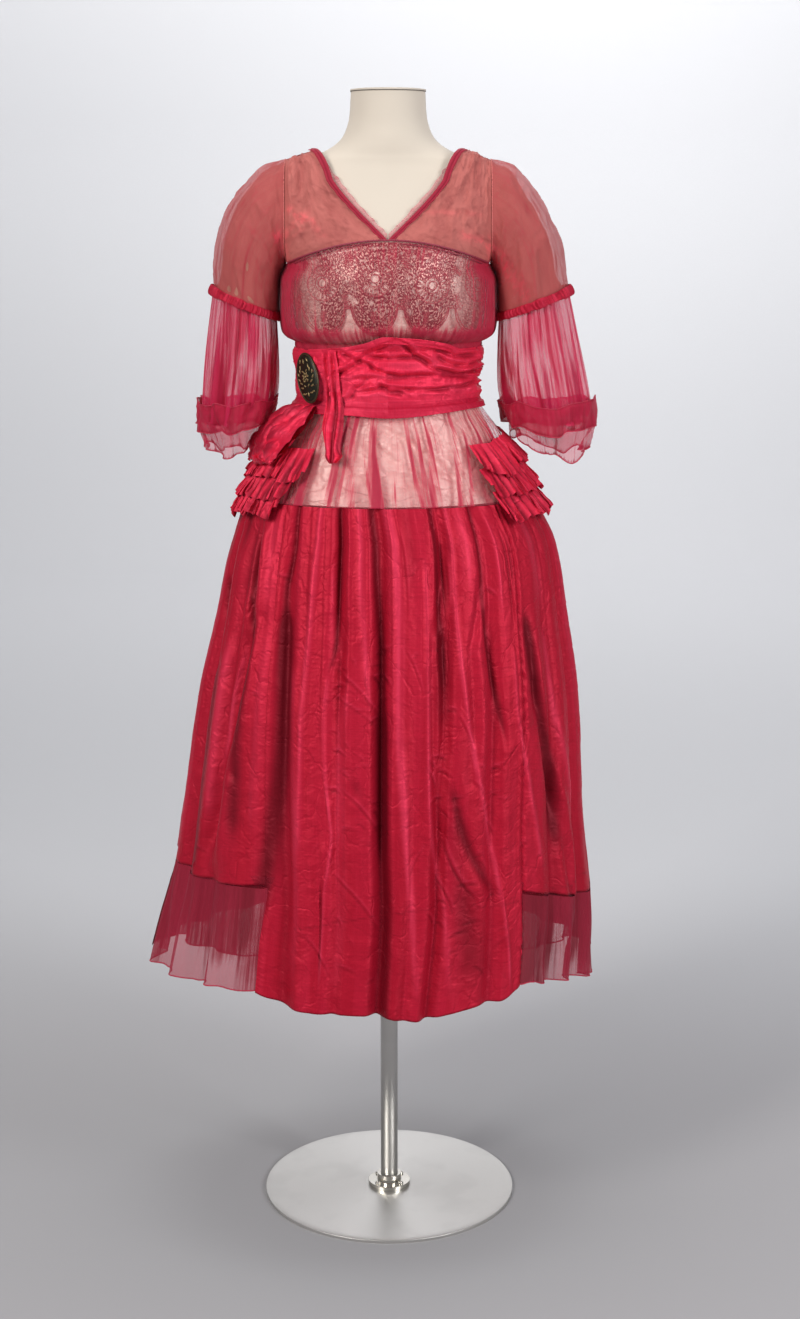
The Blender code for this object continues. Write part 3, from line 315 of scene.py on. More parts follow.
def crease_field(creases: Sequence[Crease], angles: Array, heights: Array, metres_a_degree: float) -> Array:
    """How far the listed creases push the cloth out, in metres.

    Args:
        creases: The creases.
        angles: Angle or thread of each point.
        heights: Height of each point.
        metres_a_degree: Length of one degree on the cloth.

    Returns:
        The push at each point, negative in a trough.
    """
    push = np.zeros(np.broadcast(angles, heights).shape)
    for crease in creases:
        start = np.array([crease.angle_from * metres_a_degree, crease.height_from])
        end = np.array([crease.angle_to * metres_a_degree, crease.height_to])
        length = np.linalg.norm(end - start)
        run, rise = (end - start) / length
        across, up = angles * metres_a_degree - start[0], heights - start[1]
        part = np.clip((across * run + up * rise) / length, 0, 1)
        aside = up * run - across * rise - crease.bow * np.sin(math.pi * part)
        beyond = np.hypot(across - part * length * run, up - part * length * rise)
        aside = np.where((part <= 0) | (part >= 1), np.hypot(aside, beyond), aside)
        taper = np.sqrt(np.clip(np.sin(math.pi * np.clip(part, 0.02, 0.98)), 0, 1))
        trough = bell(aside, crease.width) - 0.55 * bell(aside - 1.7 * crease.width, crease.width)
        push -= crease.depth * taper * trough
    return push


class Weave:
    """One node material, built step by step round a single Principled shader."""

    def __init__(self, name: str) -> None:
        """Starts an empty material of this name.

        Args:
            name: The material's name.
        """
        self.material = bpy.data.materials.new(name)
        self.material.use_nodes = True
        self.tree = self.material.node_tree
        self.shader = self.tree.nodes["Principled BSDF"]

    def node(self, kind: str, inputs: dict | None = None, **settings: object) -> bpy.types.Node:
        """Adds a node.

        Args:
            kind: The node's type name.
            inputs: A value or a socket for each named input.
            settings: The node's own settings.

        Returns:
            The new node.
        """
        made = self.tree.nodes.new(kind)
        for name, value in settings.items():
            setattr(made, name, value)
        for name, value in (inputs or {}).items():
            self.feed(made.inputs[name], value)
        return made

    def feed(self, socket: bpy.types.NodeSocket, value: object) -> None:
        """Links a socket, or sets a plain value, on an input.

        Args:
            socket: The input.
            value: A socket or a plain value.
        """
        if isinstance(value, bpy.types.NodeSocket):
            self.tree.links.new(value, socket)
        else:
            socket.default_value = value

    def set(self, **values: object) -> None:
        """Sets the shader's inputs by name, with _ for a space."""
        for name, value in values.items():
            self.feed(self.shader.inputs[name.replace("_", " ")], value)

    def thread(self, stretch: tuple[float, float] = (1.0, 1.0)) -> bpy.types.NodeSocket:
        """The cloth's own coordinates in metres, across and along its threads, stretched.

        Args:
            stretch: How much each direction is stretched.

        Returns:
            The socket with the coordinates.
        """
        uv = self.node("ShaderNodeUVMap", uv_map="thread")
        made = self.node(
            "ShaderNodeMapping", {"Vector": uv.outputs["UV"], "Scale": (stretch[0], stretch[1], 1.0)}
        )
        return made.outputs["Vector"]

    def solid(self) -> bpy.types.NodeSocket:
        """The piece's own coordinates in metres."""
        return self.node("ShaderNodeTexCoord").outputs["Object"]

    def mark(self, name: str) -> bpy.types.NodeSocket:
        """A number kept at each point of the cloth."""
        return self.node("ShaderNodeAttribute", attribute_name=name, attribute_type="GEOMETRY").outputs["Fac"]

    def noise(
        self, where: bpy.types.NodeSocket, scale: float, detail: float = 3.0, rough: float = 0.5
    ) -> bpy.types.NodeSocket:
        """Soft noise, hills of 1 / scale metres.

        Args:
            where: The places it is read at.
            scale: Hills in a metre.
            detail: How many finer layers are laid over it.
            rough: How strong each finer layer is.

        Returns:
            The socket with the noise, from 0 to 1.
        """
        made = self.node(
            "ShaderNodeTexNoise", {"Vector": where, "Scale": scale, "Detail": detail, "Roughness": rough}
        )
        return made.outputs["Fac"]

    def ridged(self, where: bpy.types.NodeSocket, scale: float, detail: float = 3.0) -> bpy.types.NodeSocket:
        """Noise with sharp crests.

        Args:
            where: The coordinates that the pattern follows.
            scale: How many cells or hills there are in a metre.
            detail: How many finer layers there are.

        Returns:
            The socket with the pattern.
        """
        made = self.node("ShaderNodeTexNoise", {"Vector": where, "Scale": scale, "Detail": detail})
        made.noise_type = "RIDGED_MULTIFRACTAL"
        made.normalize = True
        return made.outputs["Fac"]

    def cells(self, where: bpy.types.NodeSocket, scale: float) -> bpy.types.NodeSocket:
        """Distance to the nearest cell edge, in cells.

        Args:
            where: The places it is read at.
            scale: Cells in a metre.

        Returns:
            The socket with the distance.
        """
        made = self.node(
            "ShaderNodeTexVoronoi", {"Vector": where, "Scale": scale}, feature="DISTANCE_TO_EDGE"
        )
        return made.outputs["Distance"]

    def crushed(self, where: bpy.types.NodeSocket, scale: float, sharp: float = 0.30) -> bpy.types.NodeSocket:
        """Flat facets between crooked creases, about 1 / scale metres apart, as wide as sharp in cells.

        Args:
            where: The coordinates that the pattern follows.
            scale: How many cells or hills there are in a metre.
            sharp: How wide a crease is, in cells.

        Returns:
            The socket with the pattern.
        """
        drift = self.node("ShaderNodeTexNoise", {"Vector": where, "Scale": scale * 0.9, "Detail": 4.0})
        shift = self.node("ShaderNodeVectorMath", {0: drift.outputs["Color"]}, operation="SCALE")
        shift.inputs["Scale"].default_value = 1.9 / scale
        moved = self.node("ShaderNodeVectorMath", {0: where, 1: shift.outputs[0]}, operation="ADD")
        return self.spread(self.cells(moved.outputs[0], scale), 0.0, sharp, 0.0, 1.0)

    def bars(self, where: bpy.types.NodeSocket, scale: float, axis: str) -> bpy.types.NodeSocket:
        """Even ribs across one axis.

        Args:
            where: The places it is read at.
            scale: Ribs in a metre, by Blender's own measure.
            axis: The axis that the ribs cross, X, Y or Z.

        Returns:
            The socket with the ribs, from 0 to 1.
        """
        made = self.node(
            "ShaderNodeTexWave", {"Vector": where, "Scale": scale}, wave_type="BANDS", bands_direction=axis
        )
        return made.outputs["Fac"]

    def sum(self, how: str, first: object, second: object = 0.0) -> bpy.types.NodeSocket:
        """A step of arithmetic between two numbers or sockets.

        Args:
            how: The step's name in Blender.
            first: The first value.
            second: The second value.

        Returns:
            The socket with the answer.
        """
        made = self.node("ShaderNodeMath", operation=how)
        self.feed(made.inputs[0], first)
        self.feed(made.inputs[1], second)
        return made.outputs[0]

    def spread(
        self, value: bpy.types.NodeSocket, low: float, high: float, to_low: float, to_high: float
    ) -> bpy.types.NodeSocket:
        """A value spread from one range to another and held within it.

        Args:
            value: The value.
            low: Where it starts.
            high: Where it ends.
            to_low: What low becomes.
            to_high: What high becomes.

        Returns:
            The socket with the new value.
        """
        made = self.node("ShaderNodeMapRange", {"Value": value})
        made.interpolation_type = "SMOOTHSTEP"
        for name, number in zip(("From Min", "From Max", "To Min", "To Max"), (low, high, to_low, to_high)):
            made.inputs[name].default_value = number
        return made.outputs["Result"]

    def blend(self, share: object, first: object, second: object) -> bpy.types.NodeSocket:
        """A colour between two, by a share from 0 to 1.

        Args:
            share: How much of the second there is.
            first: The first colour.
            second: The second colour.

        Returns:
            The socket with the colour.
        """
        made = self.node("ShaderNodeMix", data_type="RGBA")
        for number, value in ((0, share), (6, first), (7, second)):
            if isinstance(value, tuple) and len(value) == 3:
                value = (*value, 1.0)
            self.feed(made.inputs[number], value)
        return made.outputs[2]

    def relief(self, height: bpy.types.NodeSocket, distance: float, strength: float = 1.0) -> None:
        """Raises the surface by a height pattern of this depth in metres, over any relief that it has.

        Args:
            height: The height pattern.
            distance: Its depth in metres.
            strength: How much of it shows.
        """
        made = self.node("ShaderNodeBump", {"Height": height, "Strength": strength, "Distance": distance})
        if self.shader.inputs["Normal"].is_linked:
            below = self.shader.inputs["Normal"].links[0].from_socket
            self.tree.links.new(below, made.inputs["Normal"])
        self.tree.links.new(made.outputs["Normal"], self.shader.inputs["Normal"])


@dataclass(frozen=True)
class Taffeta:
    """Crisp silk with a fine crosswise rib, long streaks, sharp small creases and a soft shine."""

    name: str = "taffeta"
    colour: Colour = (0.430, 0.0055, 0.0230)
    worn: Colour = (0.540, 0.0120, 0.0400)
    # Colour of the painted highlights on the lit ridges.
    bright: Colour = (0.760, 0.0420, 0.0980)
    crinkle: float = 0.0010
    level: bool = False
    slot: str = "taffeta"

    def lay(self, across: float, along: float) -> tuple[float, float]:
        """A stretch for streaks down the cloth, or across it where its grain lies level."""
        return (along, across) if self.level else (across, along)

    def make(self) -> bpy.types.Material:
        """The material.

        Returns:
            The material.
        """
        weave = Weave(self.name)
        band = weave.noise(weave.thread(self.lay(34.0, 2.0)), 1.0, 4.0, 0.55)
        band = weave.spread(band, 0.36, 0.66, 0.0, 0.60)
        fine = weave.noise(weave.thread(self.lay(420.0, 7.0)), 1.0, 3.0, 0.6)
        fine = weave.spread(fine, 0.35, 0.70, -0.08, 0.20)
        slub = weave.spread(weave.noise(weave.thread(self.lay(22.0, 900.0)), 1.0, 2.0), 0.3, 0.7, 0.0, 0.20)
        colour = weave.blend(weave.sum("ADD", band, fine), self.colour, self.worn)
        colour = weave.blend(slub, colour, tuple(0.5 * c for c in self.colour))
        # Painted highlight: the colour is lightened towards the bright colour where this mark is high.
        colour = weave.blend(weave.spread(weave.mark("painted_highlight"), 0.0, 1.0, 0.0, 0.90), colour, self.bright)
        line = weave.crushed(weave.thread(), 15.0, 0.07)
        # Painted shade: the colour is darkened a little along the crease lines.
        colour = weave.blend(
            weave.spread(line, 0.0, 1.0, 0.07, 0.0), colour, tuple(0.4 * c for c in self.colour)
        )
        # Painted shade: the colour is darkened to a quarter where this mark is high, in valleys and creases
        # and between pleats.
        painted_shade = weave.spread(weave.mark("painted_shade"), 0.0, 1.0, 0.0, 0.85)
        colour = weave.blend(painted_shade, colour, tuple(0.25 * c for c in self.colour))
        weave.set(
            Base_Color=colour, Roughness=0.50, Metallic=0.24, Specular_IOR_Level=0.35, Sheen_Weight=0.10
        )
        weave.set(
            Sheen_Roughness=0.35, Sheen_Tint=(1.0, 0.25, 0.35, 1.0), Specular_Tint=(1.0, 0.40, 0.48, 1.0)
        )
        weave.relief(line, self.crinkle, 0.22)
        weave.relief(weave.crushed(weave.thread((1.0, 0.8)), 11.0, 0.045), self.crinkle * 1.6, 0.30)
        weave.relief(weave.ridged(weave.thread((1.0, 0.9)), 34.0, 6.0), self.crinkle * 4.0, 0.60)
        weave.relief(weave.ridged(weave.thread((0.8, 1.2)), 130.0, 4.0), self.crinkle * 1.2, 0.50)
        weave.relief(weave.noise(weave.thread((60.0, 16.0)), 1.0, 4.0, 0.6), self.crinkle, 0.30)
        weave.relief(weave.bars(weave.thread(), 240.0, "Y"), 0.00006, 0.35)
        return weave.material


@dataclass(frozen=True)
class Chiffon:
    """Sheer silk: thin where it lies flat, dense where the gathers double it."""

    name: str = "chiffon"
    colour: Colour = (0.720, 0.070, 0.130)
    deep: Colour = (0.360, 0.012, 0.042)
    thin: float = 0.50
    thick: float = 0.95
    crepe: float = 0.0004
    slot: str = "chiffon"

    def make(self) -> bpy.types.Material:
        """The material.

        Returns:
            The material.
        """
        weave = Weave(self.name)
        streak = weave.noise(weave.thread((260.0, 6.0)), 1.0, 3.0, 0.6)
        cloud = weave.noise(weave.thread(), 30.0, 3.0)
        density = weave.sum("ADD", weave.mark("fullness"), weave.spread(streak, 0.35, 0.75, -0.12, 0.26))
        density = weave.sum("ADD", density, weave.spread(cloud, 0.3, 0.7, -0.06, 0.06))
        density = weave.spread(density, 0.0, 1.0, 0.0, 1.0)
        open_mesh = weave.noise(weave.thread(), 1500.0, 1.0)
        alpha = weave.spread(density, 0.0, 1.0, self.thin, self.thick)
        alpha = weave.sum("ADD", alpha, weave.spread(open_mesh, 0.3, 0.7, -0.05, 0.05))
        speck = weave.spread(weave.noise(weave.thread(), 110.0, 4.0), 0.42, 0.58, 0.15, 1.0)
        shade = weave.blend(density, self.colour, self.deep)
        shade = weave.blend(weave.sum("MULTIPLY", weave.mark("patch"), speck), shade, (0.700, 0.070, 0.095))
        weave.set(Base_Color=shade, Alpha=alpha, Roughness=0.72)
        weave.set(
            Specular_IOR_Level=0.25, Sheen_Weight=0.10, Sheen_Roughness=0.45,
            Sheen_Tint=(1.0, 0.45, 0.55, 1.0),
        )
        weave.relief(weave.ridged(weave.thread((2.2, 1.0)), 50.0, 4.0), self.crepe * 3, 0.5)
        return weave.material


@dataclass(frozen=True)
class LinedChiffon:
    """Crimson chiffon over tan net: nearly solid, uneven in colour, with bright rumpled patches."""

    name: str = "lined_chiffon"
    colour: Colour = (0.530, 0.150, 0.130)
    dusky: Colour = (0.390, 0.092, 0.082)
    bright: Colour = (0.740, 0.140, 0.140)
    cover: float = 0.95
    slot: str = "lined_chiffon"

    def make(self) -> bpy.types.Material:
        """The material.

        Returns:
            The material.
        """
        weave = Weave(self.name)
        drift = weave.noise(weave.thread((34.0, 12.0)), 1.0, 5.0, 0.62)
        base = weave.blend(weave.spread(drift, 0.35, 0.7, 0.0, 0.8), self.colour, self.dusky)
        speck = weave.spread(weave.noise(weave.thread(), 80.0, 4.0), 0.38, 0.62, 0.15, 1.0)
        patch = weave.sum("MULTIPLY", weave.mark("patch"), speck)
        shade = weave.blend(patch, base, self.bright)
        streak = weave.spread(weave.mark("fullness"), 0.0, 1.0, 0.0, 0.75)
        weave.set(
            Base_Color=weave.blend(streak, shade, (0.200, 0.030, 0.034)), Roughness=0.80,
            Specular_IOR_Level=0.2,
        )
        weave.set(Alpha=self.cover, Sheen_Weight=0.10, Sheen_Roughness=0.5, Sheen_Tint=(1.0, 0.60, 0.56, 1.0))
        weave.relief(weave.crushed(weave.thread((1.4, 0.8)), 26.0), 0.0018, 0.60)
        weave.relief(weave.ridged(weave.thread((1.6, 0.8)), 40.0, 4.0), 0.0016, 0.60)
        weave.relief(weave.cells(weave.thread(), 900.0), 0.00008, 0.35)
        return weave.material


@dataclass(frozen=True)
class LiningSilk:
    """Pale cream-pink silk, crinkled like pressed paper."""

    name: str = "lining_silk"
    colour: Colour = (0.960, 0.740, 0.660)
    shadow: Colour = (0.700, 0.340, 0.300)
    slot: str = "lining_silk"

    def make(self) -> bpy.types.Material:
        """The material.

        Returns:
            The material.
        """
        weave = Weave(self.name)
        crackle = weave.crushed(weave.thread((1.0, 1.4)), 24.0, 0.22)
        line = weave.spread(crackle, 0.0, 0.5, 0.16, 0.0)
        cloud = weave.spread(weave.noise(weave.thread((1.0, 1.6)), 30.0, 4.0), 0.40, 0.7, 0.0, 0.42)
        colour = weave.blend(weave.sum("MAXIMUM", line, cloud), self.colour, self.shadow)
        weave.set(Base_Color=colour, Roughness=0.42, Specular_IOR_Level=0.5, Metallic=0.10, Sheen_Weight=0.15)
        weave.relief(crackle, 0.0018, 0.6)
        weave.relief(weave.noise(weave.thread((1.0, 1.5)), 60.0, 4.0), 0.0020, 0.35)
        return weave.material


@dataclass(frozen=True)
class Lace:
    """Fine metallic net lace: small open meshes between twisted threads, with denser outlines."""

    name: str = "lace"
    thread: Colour = (0.150, 0.024, 0.030)
    glint: Colour = (0.950, 0.600, 0.500)
    mesh_size: float = 0.0062
    slot: str = "lace"

    def make(self) -> bpy.types.Material:
        """The material.

        Returns:
            The material.
        """
        weave = Weave(self.name)
        fine = weave.cells(weave.thread(), 1 / self.mesh_size)
        wide = weave.cells(weave.thread(), 0.60 / self.mesh_size)
        clear = weave.spread(weave.mark("openwork"), 0.15, 0.65, 0.0, 1.0)
        patchy = weave.spread(weave.noise(weave.thread(), 60.0, 2.0), 0.38, 0.58, 0.30, 1.0)
        fine_hole = weave.sum("MULTIPLY", weave.spread(fine, 0.09, 0.19, 0.0, 1.0), patchy)
        wide_hole = weave.sum("MULTIPLY", weave.spread(wide, 0.05, 0.13, 0.0, 1.0), clear)
        hole = weave.sum("MAXIMUM", weave.sum("MULTIPLY", fine_hole, 0.92), wide_hole)
        alpha = weave.sum("SUBTRACT", 0.96, weave.sum("MULTIPLY", hole, 0.90))
        alpha = weave.sum("MULTIPLY", alpha, weave.spread(weave.mark("gap"), -0.08, 0.08, 1.0, 0.0))
        spark = weave.spread(weave.noise(weave.thread(), 380.0, 3.0), 0.50, 0.60, 0.0, 0.90)
        weave.set(Base_Color=weave.blend(spark, self.thread, self.glint), Alpha=alpha, Roughness=0.42)
        weave.set(Metallic=0.35, Specular_IOR_Level=0.5)
        weave.relief(weave.sum("SUBTRACT", 1.0, hole), 0.0004, 0.7)
        return weave.material


@dataclass(frozen=True)
class Cord:
    """Tightly twisted silk cord, for piping, rolled hems and outlines."""

    name: str = "cord"
    colour: Colour = (0.230, 0.010, 0.034)
    rough: float = 0.6
    slot: str = "chiffon"

    def make(self) -> bpy.types.Material:
        """The material.

        Returns:
            The material.
        """
        weave = Weave(self.name)
        twist = weave.noise(weave.solid(), 900.0, 2.0)
        light = tuple(min(1.0, 1.9 * c + 0.01) for c in self.colour)
        weave.set(
            Base_Color=weave.blend(weave.spread(twist, 0.35, 0.7, 0.0, 1.0), self.colour, light),
            Roughness=self.rough,
        )
        weave.relief(twist, 0.0002, 0.6)
        return weave.material


@dataclass(frozen=True)
class Jersey:
    """Smooth cream cotton jersey drawn tight over the form."""

    name: str = "form_cover"
    colour: Colour = (0.675, 0.595, 0.500)
    slot: str = "form_cover"

    def make(self) -> bpy.types.Material:
        """The material.

        Returns:
            The material.
        """
        weave = Weave(self.name)
        cloud = weave.spread(weave.noise(weave.solid(), 9.0, 3.0), 0.35, 0.7, 0.0, 0.22)
        darker = tuple(0.86 * c for c in self.colour)
        weave.set(Base_Color=weave.blend(cloud, self.colour, darker), Roughness=0.82, Specular_IOR_Level=0.25)
        weave.set(Sheen_Weight=0.18, Sheen_Roughness=0.5)
        weave.relief(weave.cells(weave.solid(), 1100.0), 0.00010, 0.30)
        weave.relief(weave.noise(weave.solid(), 60.0, 2.0), 0.0003, 0.10)
        return weave.material


@dataclass(frozen=True)
class Steel:
    """Brushed stainless steel, its brushing round the axis or along it."""

    name: str = "brushed_steel"
    colour: Colour = (0.50, 0.48, 0.45)
    rough: float = 0.36
    round_brushed: bool = True
    slot: str = "brushed_steel"

    def make(self) -> bpy.types.Material:
        """The material.

        Returns:
            The material.
        """
        weave = Weave(self.name)
        parts = weave.node("ShaderNodeSeparateXYZ", {"Vector": weave.solid()})
        if self.round_brushed:
            far = weave.sum(
                "ADD", weave.sum("POWER", parts.outputs[0], 2.0), weave.sum("POWER", parts.outputs[1], 2.0)
            )
            radius = weave.sum("SQRT", far)
            joined = weave.node(
                "ShaderNodeCombineXYZ", {"X": weave.sum("MULTIPLY", radius, 900.0), "Z": parts.outputs[2]}
            )
        else:
            turn = weave.sum("ARCTAN2", parts.outputs[1], parts.outputs[0])
            height = weave.sum("MULTIPLY", parts.outputs[2], 3.0)
            joined = weave.node("ShaderNodeCombineXYZ", {"X": weave.sum("MULTIPLY", turn, 40.0), "Z": height})
        brush = weave.noise(joined.outputs[0], 1.0, 2.0)
        cloud = weave.spread(weave.noise(weave.solid(), 14.0, 3.0), 0.35, 0.7, 0.0, 0.35)
        darker = tuple(0.72 * c for c in self.colour)
        colour = weave.blend(
            weave.sum("MAXIMUM", cloud, weave.sum("MULTIPLY", brush, 0.3)), self.colour, darker
        )
        weave.set(Base_Color=colour, Metallic=0.92, Roughness=self.rough, Anisotropic=0.5)
        weave.relief(brush, 0.00005, 0.4)
        return weave.material


@dataclass(frozen=True)
class Enamel:
    """Dark green-black enamel with worn gilt on what is raised."""

    name: str = "ornament_metal"
    ground: Colour = (0.016, 0.018, 0.010)
    gilt: Colour = (0.420, 0.300, 0.130)
    slot: str = "ornament_metal"

    def make(self) -> bpy.types.Material:
        """The material.

        Returns:
            The material.
        """
        weave = Weave(self.name)
        worn = weave.spread(weave.noise(weave.solid(), 900.0, 3.0), 0.35, 0.65, 0.35, 1.0)
        raised = weave.sum("MULTIPLY", weave.mark("raised"), worn)
        speck = weave.spread(weave.noise(weave.solid(), 420.0, 1.0), 0.66, 0.72, 0.0, 1.0)
        ground = weave.blend(speck, self.ground, (0.180, 0.020, 0.016))
        weave.set(Base_Color=weave.blend(raised, ground, self.gilt), Roughness=0.38, Metallic=0.55)
        weave.relief(weave.noise(weave.solid(), 700.0, 2.0), 0.0002, 0.4)
        return weave.material


@dataclass
class Sheet:
    """A piece of cloth as a grid of points: rows down it, columns across it."""

    name: str
    points: Array
    closed: bool = False
    marks: dict[str, Array] = field(default_factory=dict)

    def lapped(self) -> Array:
        """The points, with the first column once more at the end where the cloth closes on itself."""
        return np.concatenate([self.points, self.points[:, :1]], axis=1) if self.closed else self.points

    def threads(self) -> tuple[Array, Array]:
        """Mean distance of each column across, and of each row along, in metres.

        Returns:
            Distance of each column from the first, and of each row from the top.
        """
        across = np.linalg.norm(np.diff(self.lapped(), axis=1), axis=2)
        along = np.linalg.norm(np.diff(self.points, axis=0), axis=2)
        over = np.concatenate([[0.0], np.cumsum(across.mean(axis=0))])
        down = np.concatenate([[0.0], np.cumsum(along.mean(axis=1))])
        return over, down

    def mesh(self) -> bpy.types.Mesh:
        """The cloth's mesh, its faces outwards, its thread coordinates and its marks.

        Returns:
            The mesh.
        """
        rows, columns = self.points.shape[:2]
        index = np.arange(rows * columns).reshape(rows, columns)
        ahead = np.roll(index, -1, axis=1) if self.closed else index[:, 1:]
        here = index if self.closed else index[:, :-1]
        quads = np.stack([here[:-1], here[1:], ahead[1:], ahead[:-1]], axis=-1)
        over, down = self.threads()
        count = quads.shape[1]
        left, right = over[:count], over[1 : count + 1]
        top, bottom = down[:-1], down[1:]
        corners = ((left, top), (left, bottom), (right, bottom), (right, top))
        thread = np.stack([np.stack(np.meshgrid(u, v), axis=-1) for u, v in corners], axis=-2)
        quads, thread = quads.reshape(-1, 4), thread.reshape(-1, 4, 2)
        flat = self.points.reshape(-1, 3)
        middle = np.broadcast_to(self.points.mean(axis=1, keepdims=True), self.points.shape).reshape(-1, 3)
        if not self.closed:
            middle = np.stack([np.zeros(len(flat)), np.zeros(len(flat)), flat[:, 2]], axis=1)
        corner = flat[quads]
        normal = np.cross(corner[:, 2] - corner[:, 0], corner[:, 3] - corner[:, 1])
        outwards = corner.mean(axis=1) - middle[quads].mean(axis=1)
        if np.sum(normal * outwards) < 0:
            quads, thread = quads[:, ::-1], thread[:, ::-1]
        made = bpy.data.meshes.new(self.name)
        made.from_pydata(flat.tolist(), [], quads.tolist())
        layer = made.uv_layers.new(name="thread")
        layer.data.foreach_set("uv", np.ascontiguousarray(thread, dtype=np.float32).ravel())
        for name, values in self.marks.items():
            note = made.attributes.new(name, "FLOAT", "POINT")
            values = np.broadcast_to(values, (rows, columns))
            note.data.foreach_set("value", np.ascontiguousarray(values, dtype=np.float32).ravel())
        made.shade_smooth()
        return made

    def area(self) -> float:
        """The cloth's area in square metres.

        Returns:
            The area.
        """
        points = self.lapped()
        corner, across = points[:-1, :-1], points[1:, 1:] - points[:-1, :-1]
        first = np.linalg.norm(np.cross(points[1:, :-1] - corner, across), axis=2)
        second = np.linalg.norm(np.cross(across, points[:-1, 1:] - corner), axis=2)
        return float((first + second).sum() / 2)

    def widest(self) -> tuple[float, float]:
        """The longest row and the longest column, in metres.

        Returns:
            The cloth's width and length.
        """
        across = np.linalg.norm(np.diff(self.lapped(), axis=1), axis=2).sum(axis=1)
        along = np.linalg.norm(np.diff(self.points, axis=0), axis=2).sum(axis=0)
        return float(across.max()), float(along.max())


def tube(
    path: Array, radius: float | Array, sides: int = 6, ring: bool = False
) -> tuple[Array, list[list[int]]]:
    """A thin round cord along a path.

    Args:
        path: Points of its middle line.
        radius: Its radius, all along or at each point.
        sides: How many sides it has.
        ring: Whether the path closes on itself.

    Returns:
        Its points and its faces.
    """
    path = np.asarray(path, float)
    count = len(path)
    forward = np.roll(path, -1, axis=0) - np.roll(path, 1, axis=0) if ring else np.gradient(path, axis=0)
    forward /= np.linalg.norm(forward, axis=1, keepdims=True) + 1e-12
    upright = np.abs(forward[:, 2:3]) > 0.92
    guide = np.where(upright, (0.0, 1.0, 0.0), (0.0, 0.0, 1.0))
    aside = np.cross(forward, guide)
    aside /= np.linalg.norm(aside, axis=1, keepdims=True)
    up = np.cross(aside, forward)
    turn = np.arange(sides) * 2 * math.pi / sides
    radius = np.broadcast_to(radius, (count,))[:, None, None]
    spoke = np.cos(turn)[:, None] * aside[:, None] + np.sin(turn)[:, None] * up[:, None]
    points = path[:, None] + radius * spoke
    faces = []
    last = count if ring else count - 1
    for row in range(last):
        low, high = row * sides, (row + 1) % count * sides
        faces.extend([low + i, high + i, high + (i + 1) % sides, low + (i + 1) % sides] for i in range(sides))
    if not ring:
        faces.append(list(range(sides)))
        faces.append(list(range((count - 1) * sides, count * sides))[::-1])
    return points.reshape(-1, 3), faces


class Wardrobe:
    """Keeps the finishes, puts pieces in the scene, and hides the solids of the frame that each one takes the
    place of.
    """

    # The smallest width and the smallest share of width times length that a cut piece's size is worked out
    # with.
    least_size = 0.0101
    least_cover = 0.31
    cord_sides = 6

    def __init__(self) -> None:
        """Starts with no finish made."""
        self.made: dict[str, bpy.types.Material] = {}

    def finish(self, kind: object) -> bpy.types.Material:
        """The material of a finish, made once.

        Args:
            kind: Its finish.

        Returns:
            The material.
        """
        if kind.name not in self.made:
            self.made[kind.name] = kind.make()
        return self.made[kind.name]

    def hang(
        self, name: str, mesh: bpy.types.Mesh, kind: object, stands_for: Sequence[str] = ()
    ) -> bpy.types.Object:
        """Puts a mesh in the scene with its finish.

        Args:
            name: The piece's name.
            mesh: Its mesh.
            kind: Its finish.
            stands_for: The solids of the part that it takes the place of.

        Returns:
            The new piece.
        """
        piece = bpy.data.objects.new(name, mesh)
        bpy.context.scene.collection.objects.link(piece)
        self.dress(piece, kind, stands_for)
        return piece

    def dress(self, piece: bpy.types.Object, kind: object, stands_for: Sequence[str] = ()) -> None:
        """Gives a piece its finish and its place in the frame.

        Args:
            piece: The piece.
            kind: Its finish.
            stands_for: The solids of the part that it takes the place of.
        """
        piece.data.materials.clear()
        piece.data.materials.append(self.finish(kind))
        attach(piece, "root")
        if stands_for:
            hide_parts(*stands_for)
        LOG.info("%s: %d faces in %s", piece.name, len(piece.data.polygons), kind.name)

    def cloth(
        self,
        sheet: Sheet,
        kind: object,
        stands_for: Sequence[str] = (),
    ) -> bpy.types.Object:
        """Puts a sheet of cloth in the scene and works out the size that it was cut to.

        Args:
            sheet: The cloth.
            kind: Its finish.
            stands_for: The solids that it takes the place of.

        Returns:
            The new piece.
        """
        piece = self.hang(sheet.name, sheet.mesh(), kind, stands_for)
        width, length = (max(size, self.least_size) for size in sheet.widest())
        area = min(sheet.area(), width * length)
        area = max(area, self.least_cover * width * length)
        return piece

    def cords(
        self,
        name: str,
        paths: Sequence[Path],
        kind: object,
        stands_for: Sequence[str] = (),
    ) -> bpy.types.Object:
        """Puts several thin cords in the scene as one piece.

        Args:
            name: The piece's name.
            paths: For each cord its middle line, its radius and whether it is a ring.
            kind: Its finish.
            stands_for: The solids that it takes the place of.

        Returns:
            The new piece.
        """
        points, faces, start = [], [], 0
        for path, radius, ring in paths:
            some, some_faces = tube(path, radius, self.cord_sides, ring)
            points.append(some)
            faces.extend([[start + i for i in face] for face in some_faces])
            start += len(some)
        mesh = bpy.data.meshes.new(name)
        mesh.from_pydata(np.concatenate(points).tolist(), [], faces)
        mesh.shade_smooth()
        return self.hang(name, mesh, kind, stands_for)


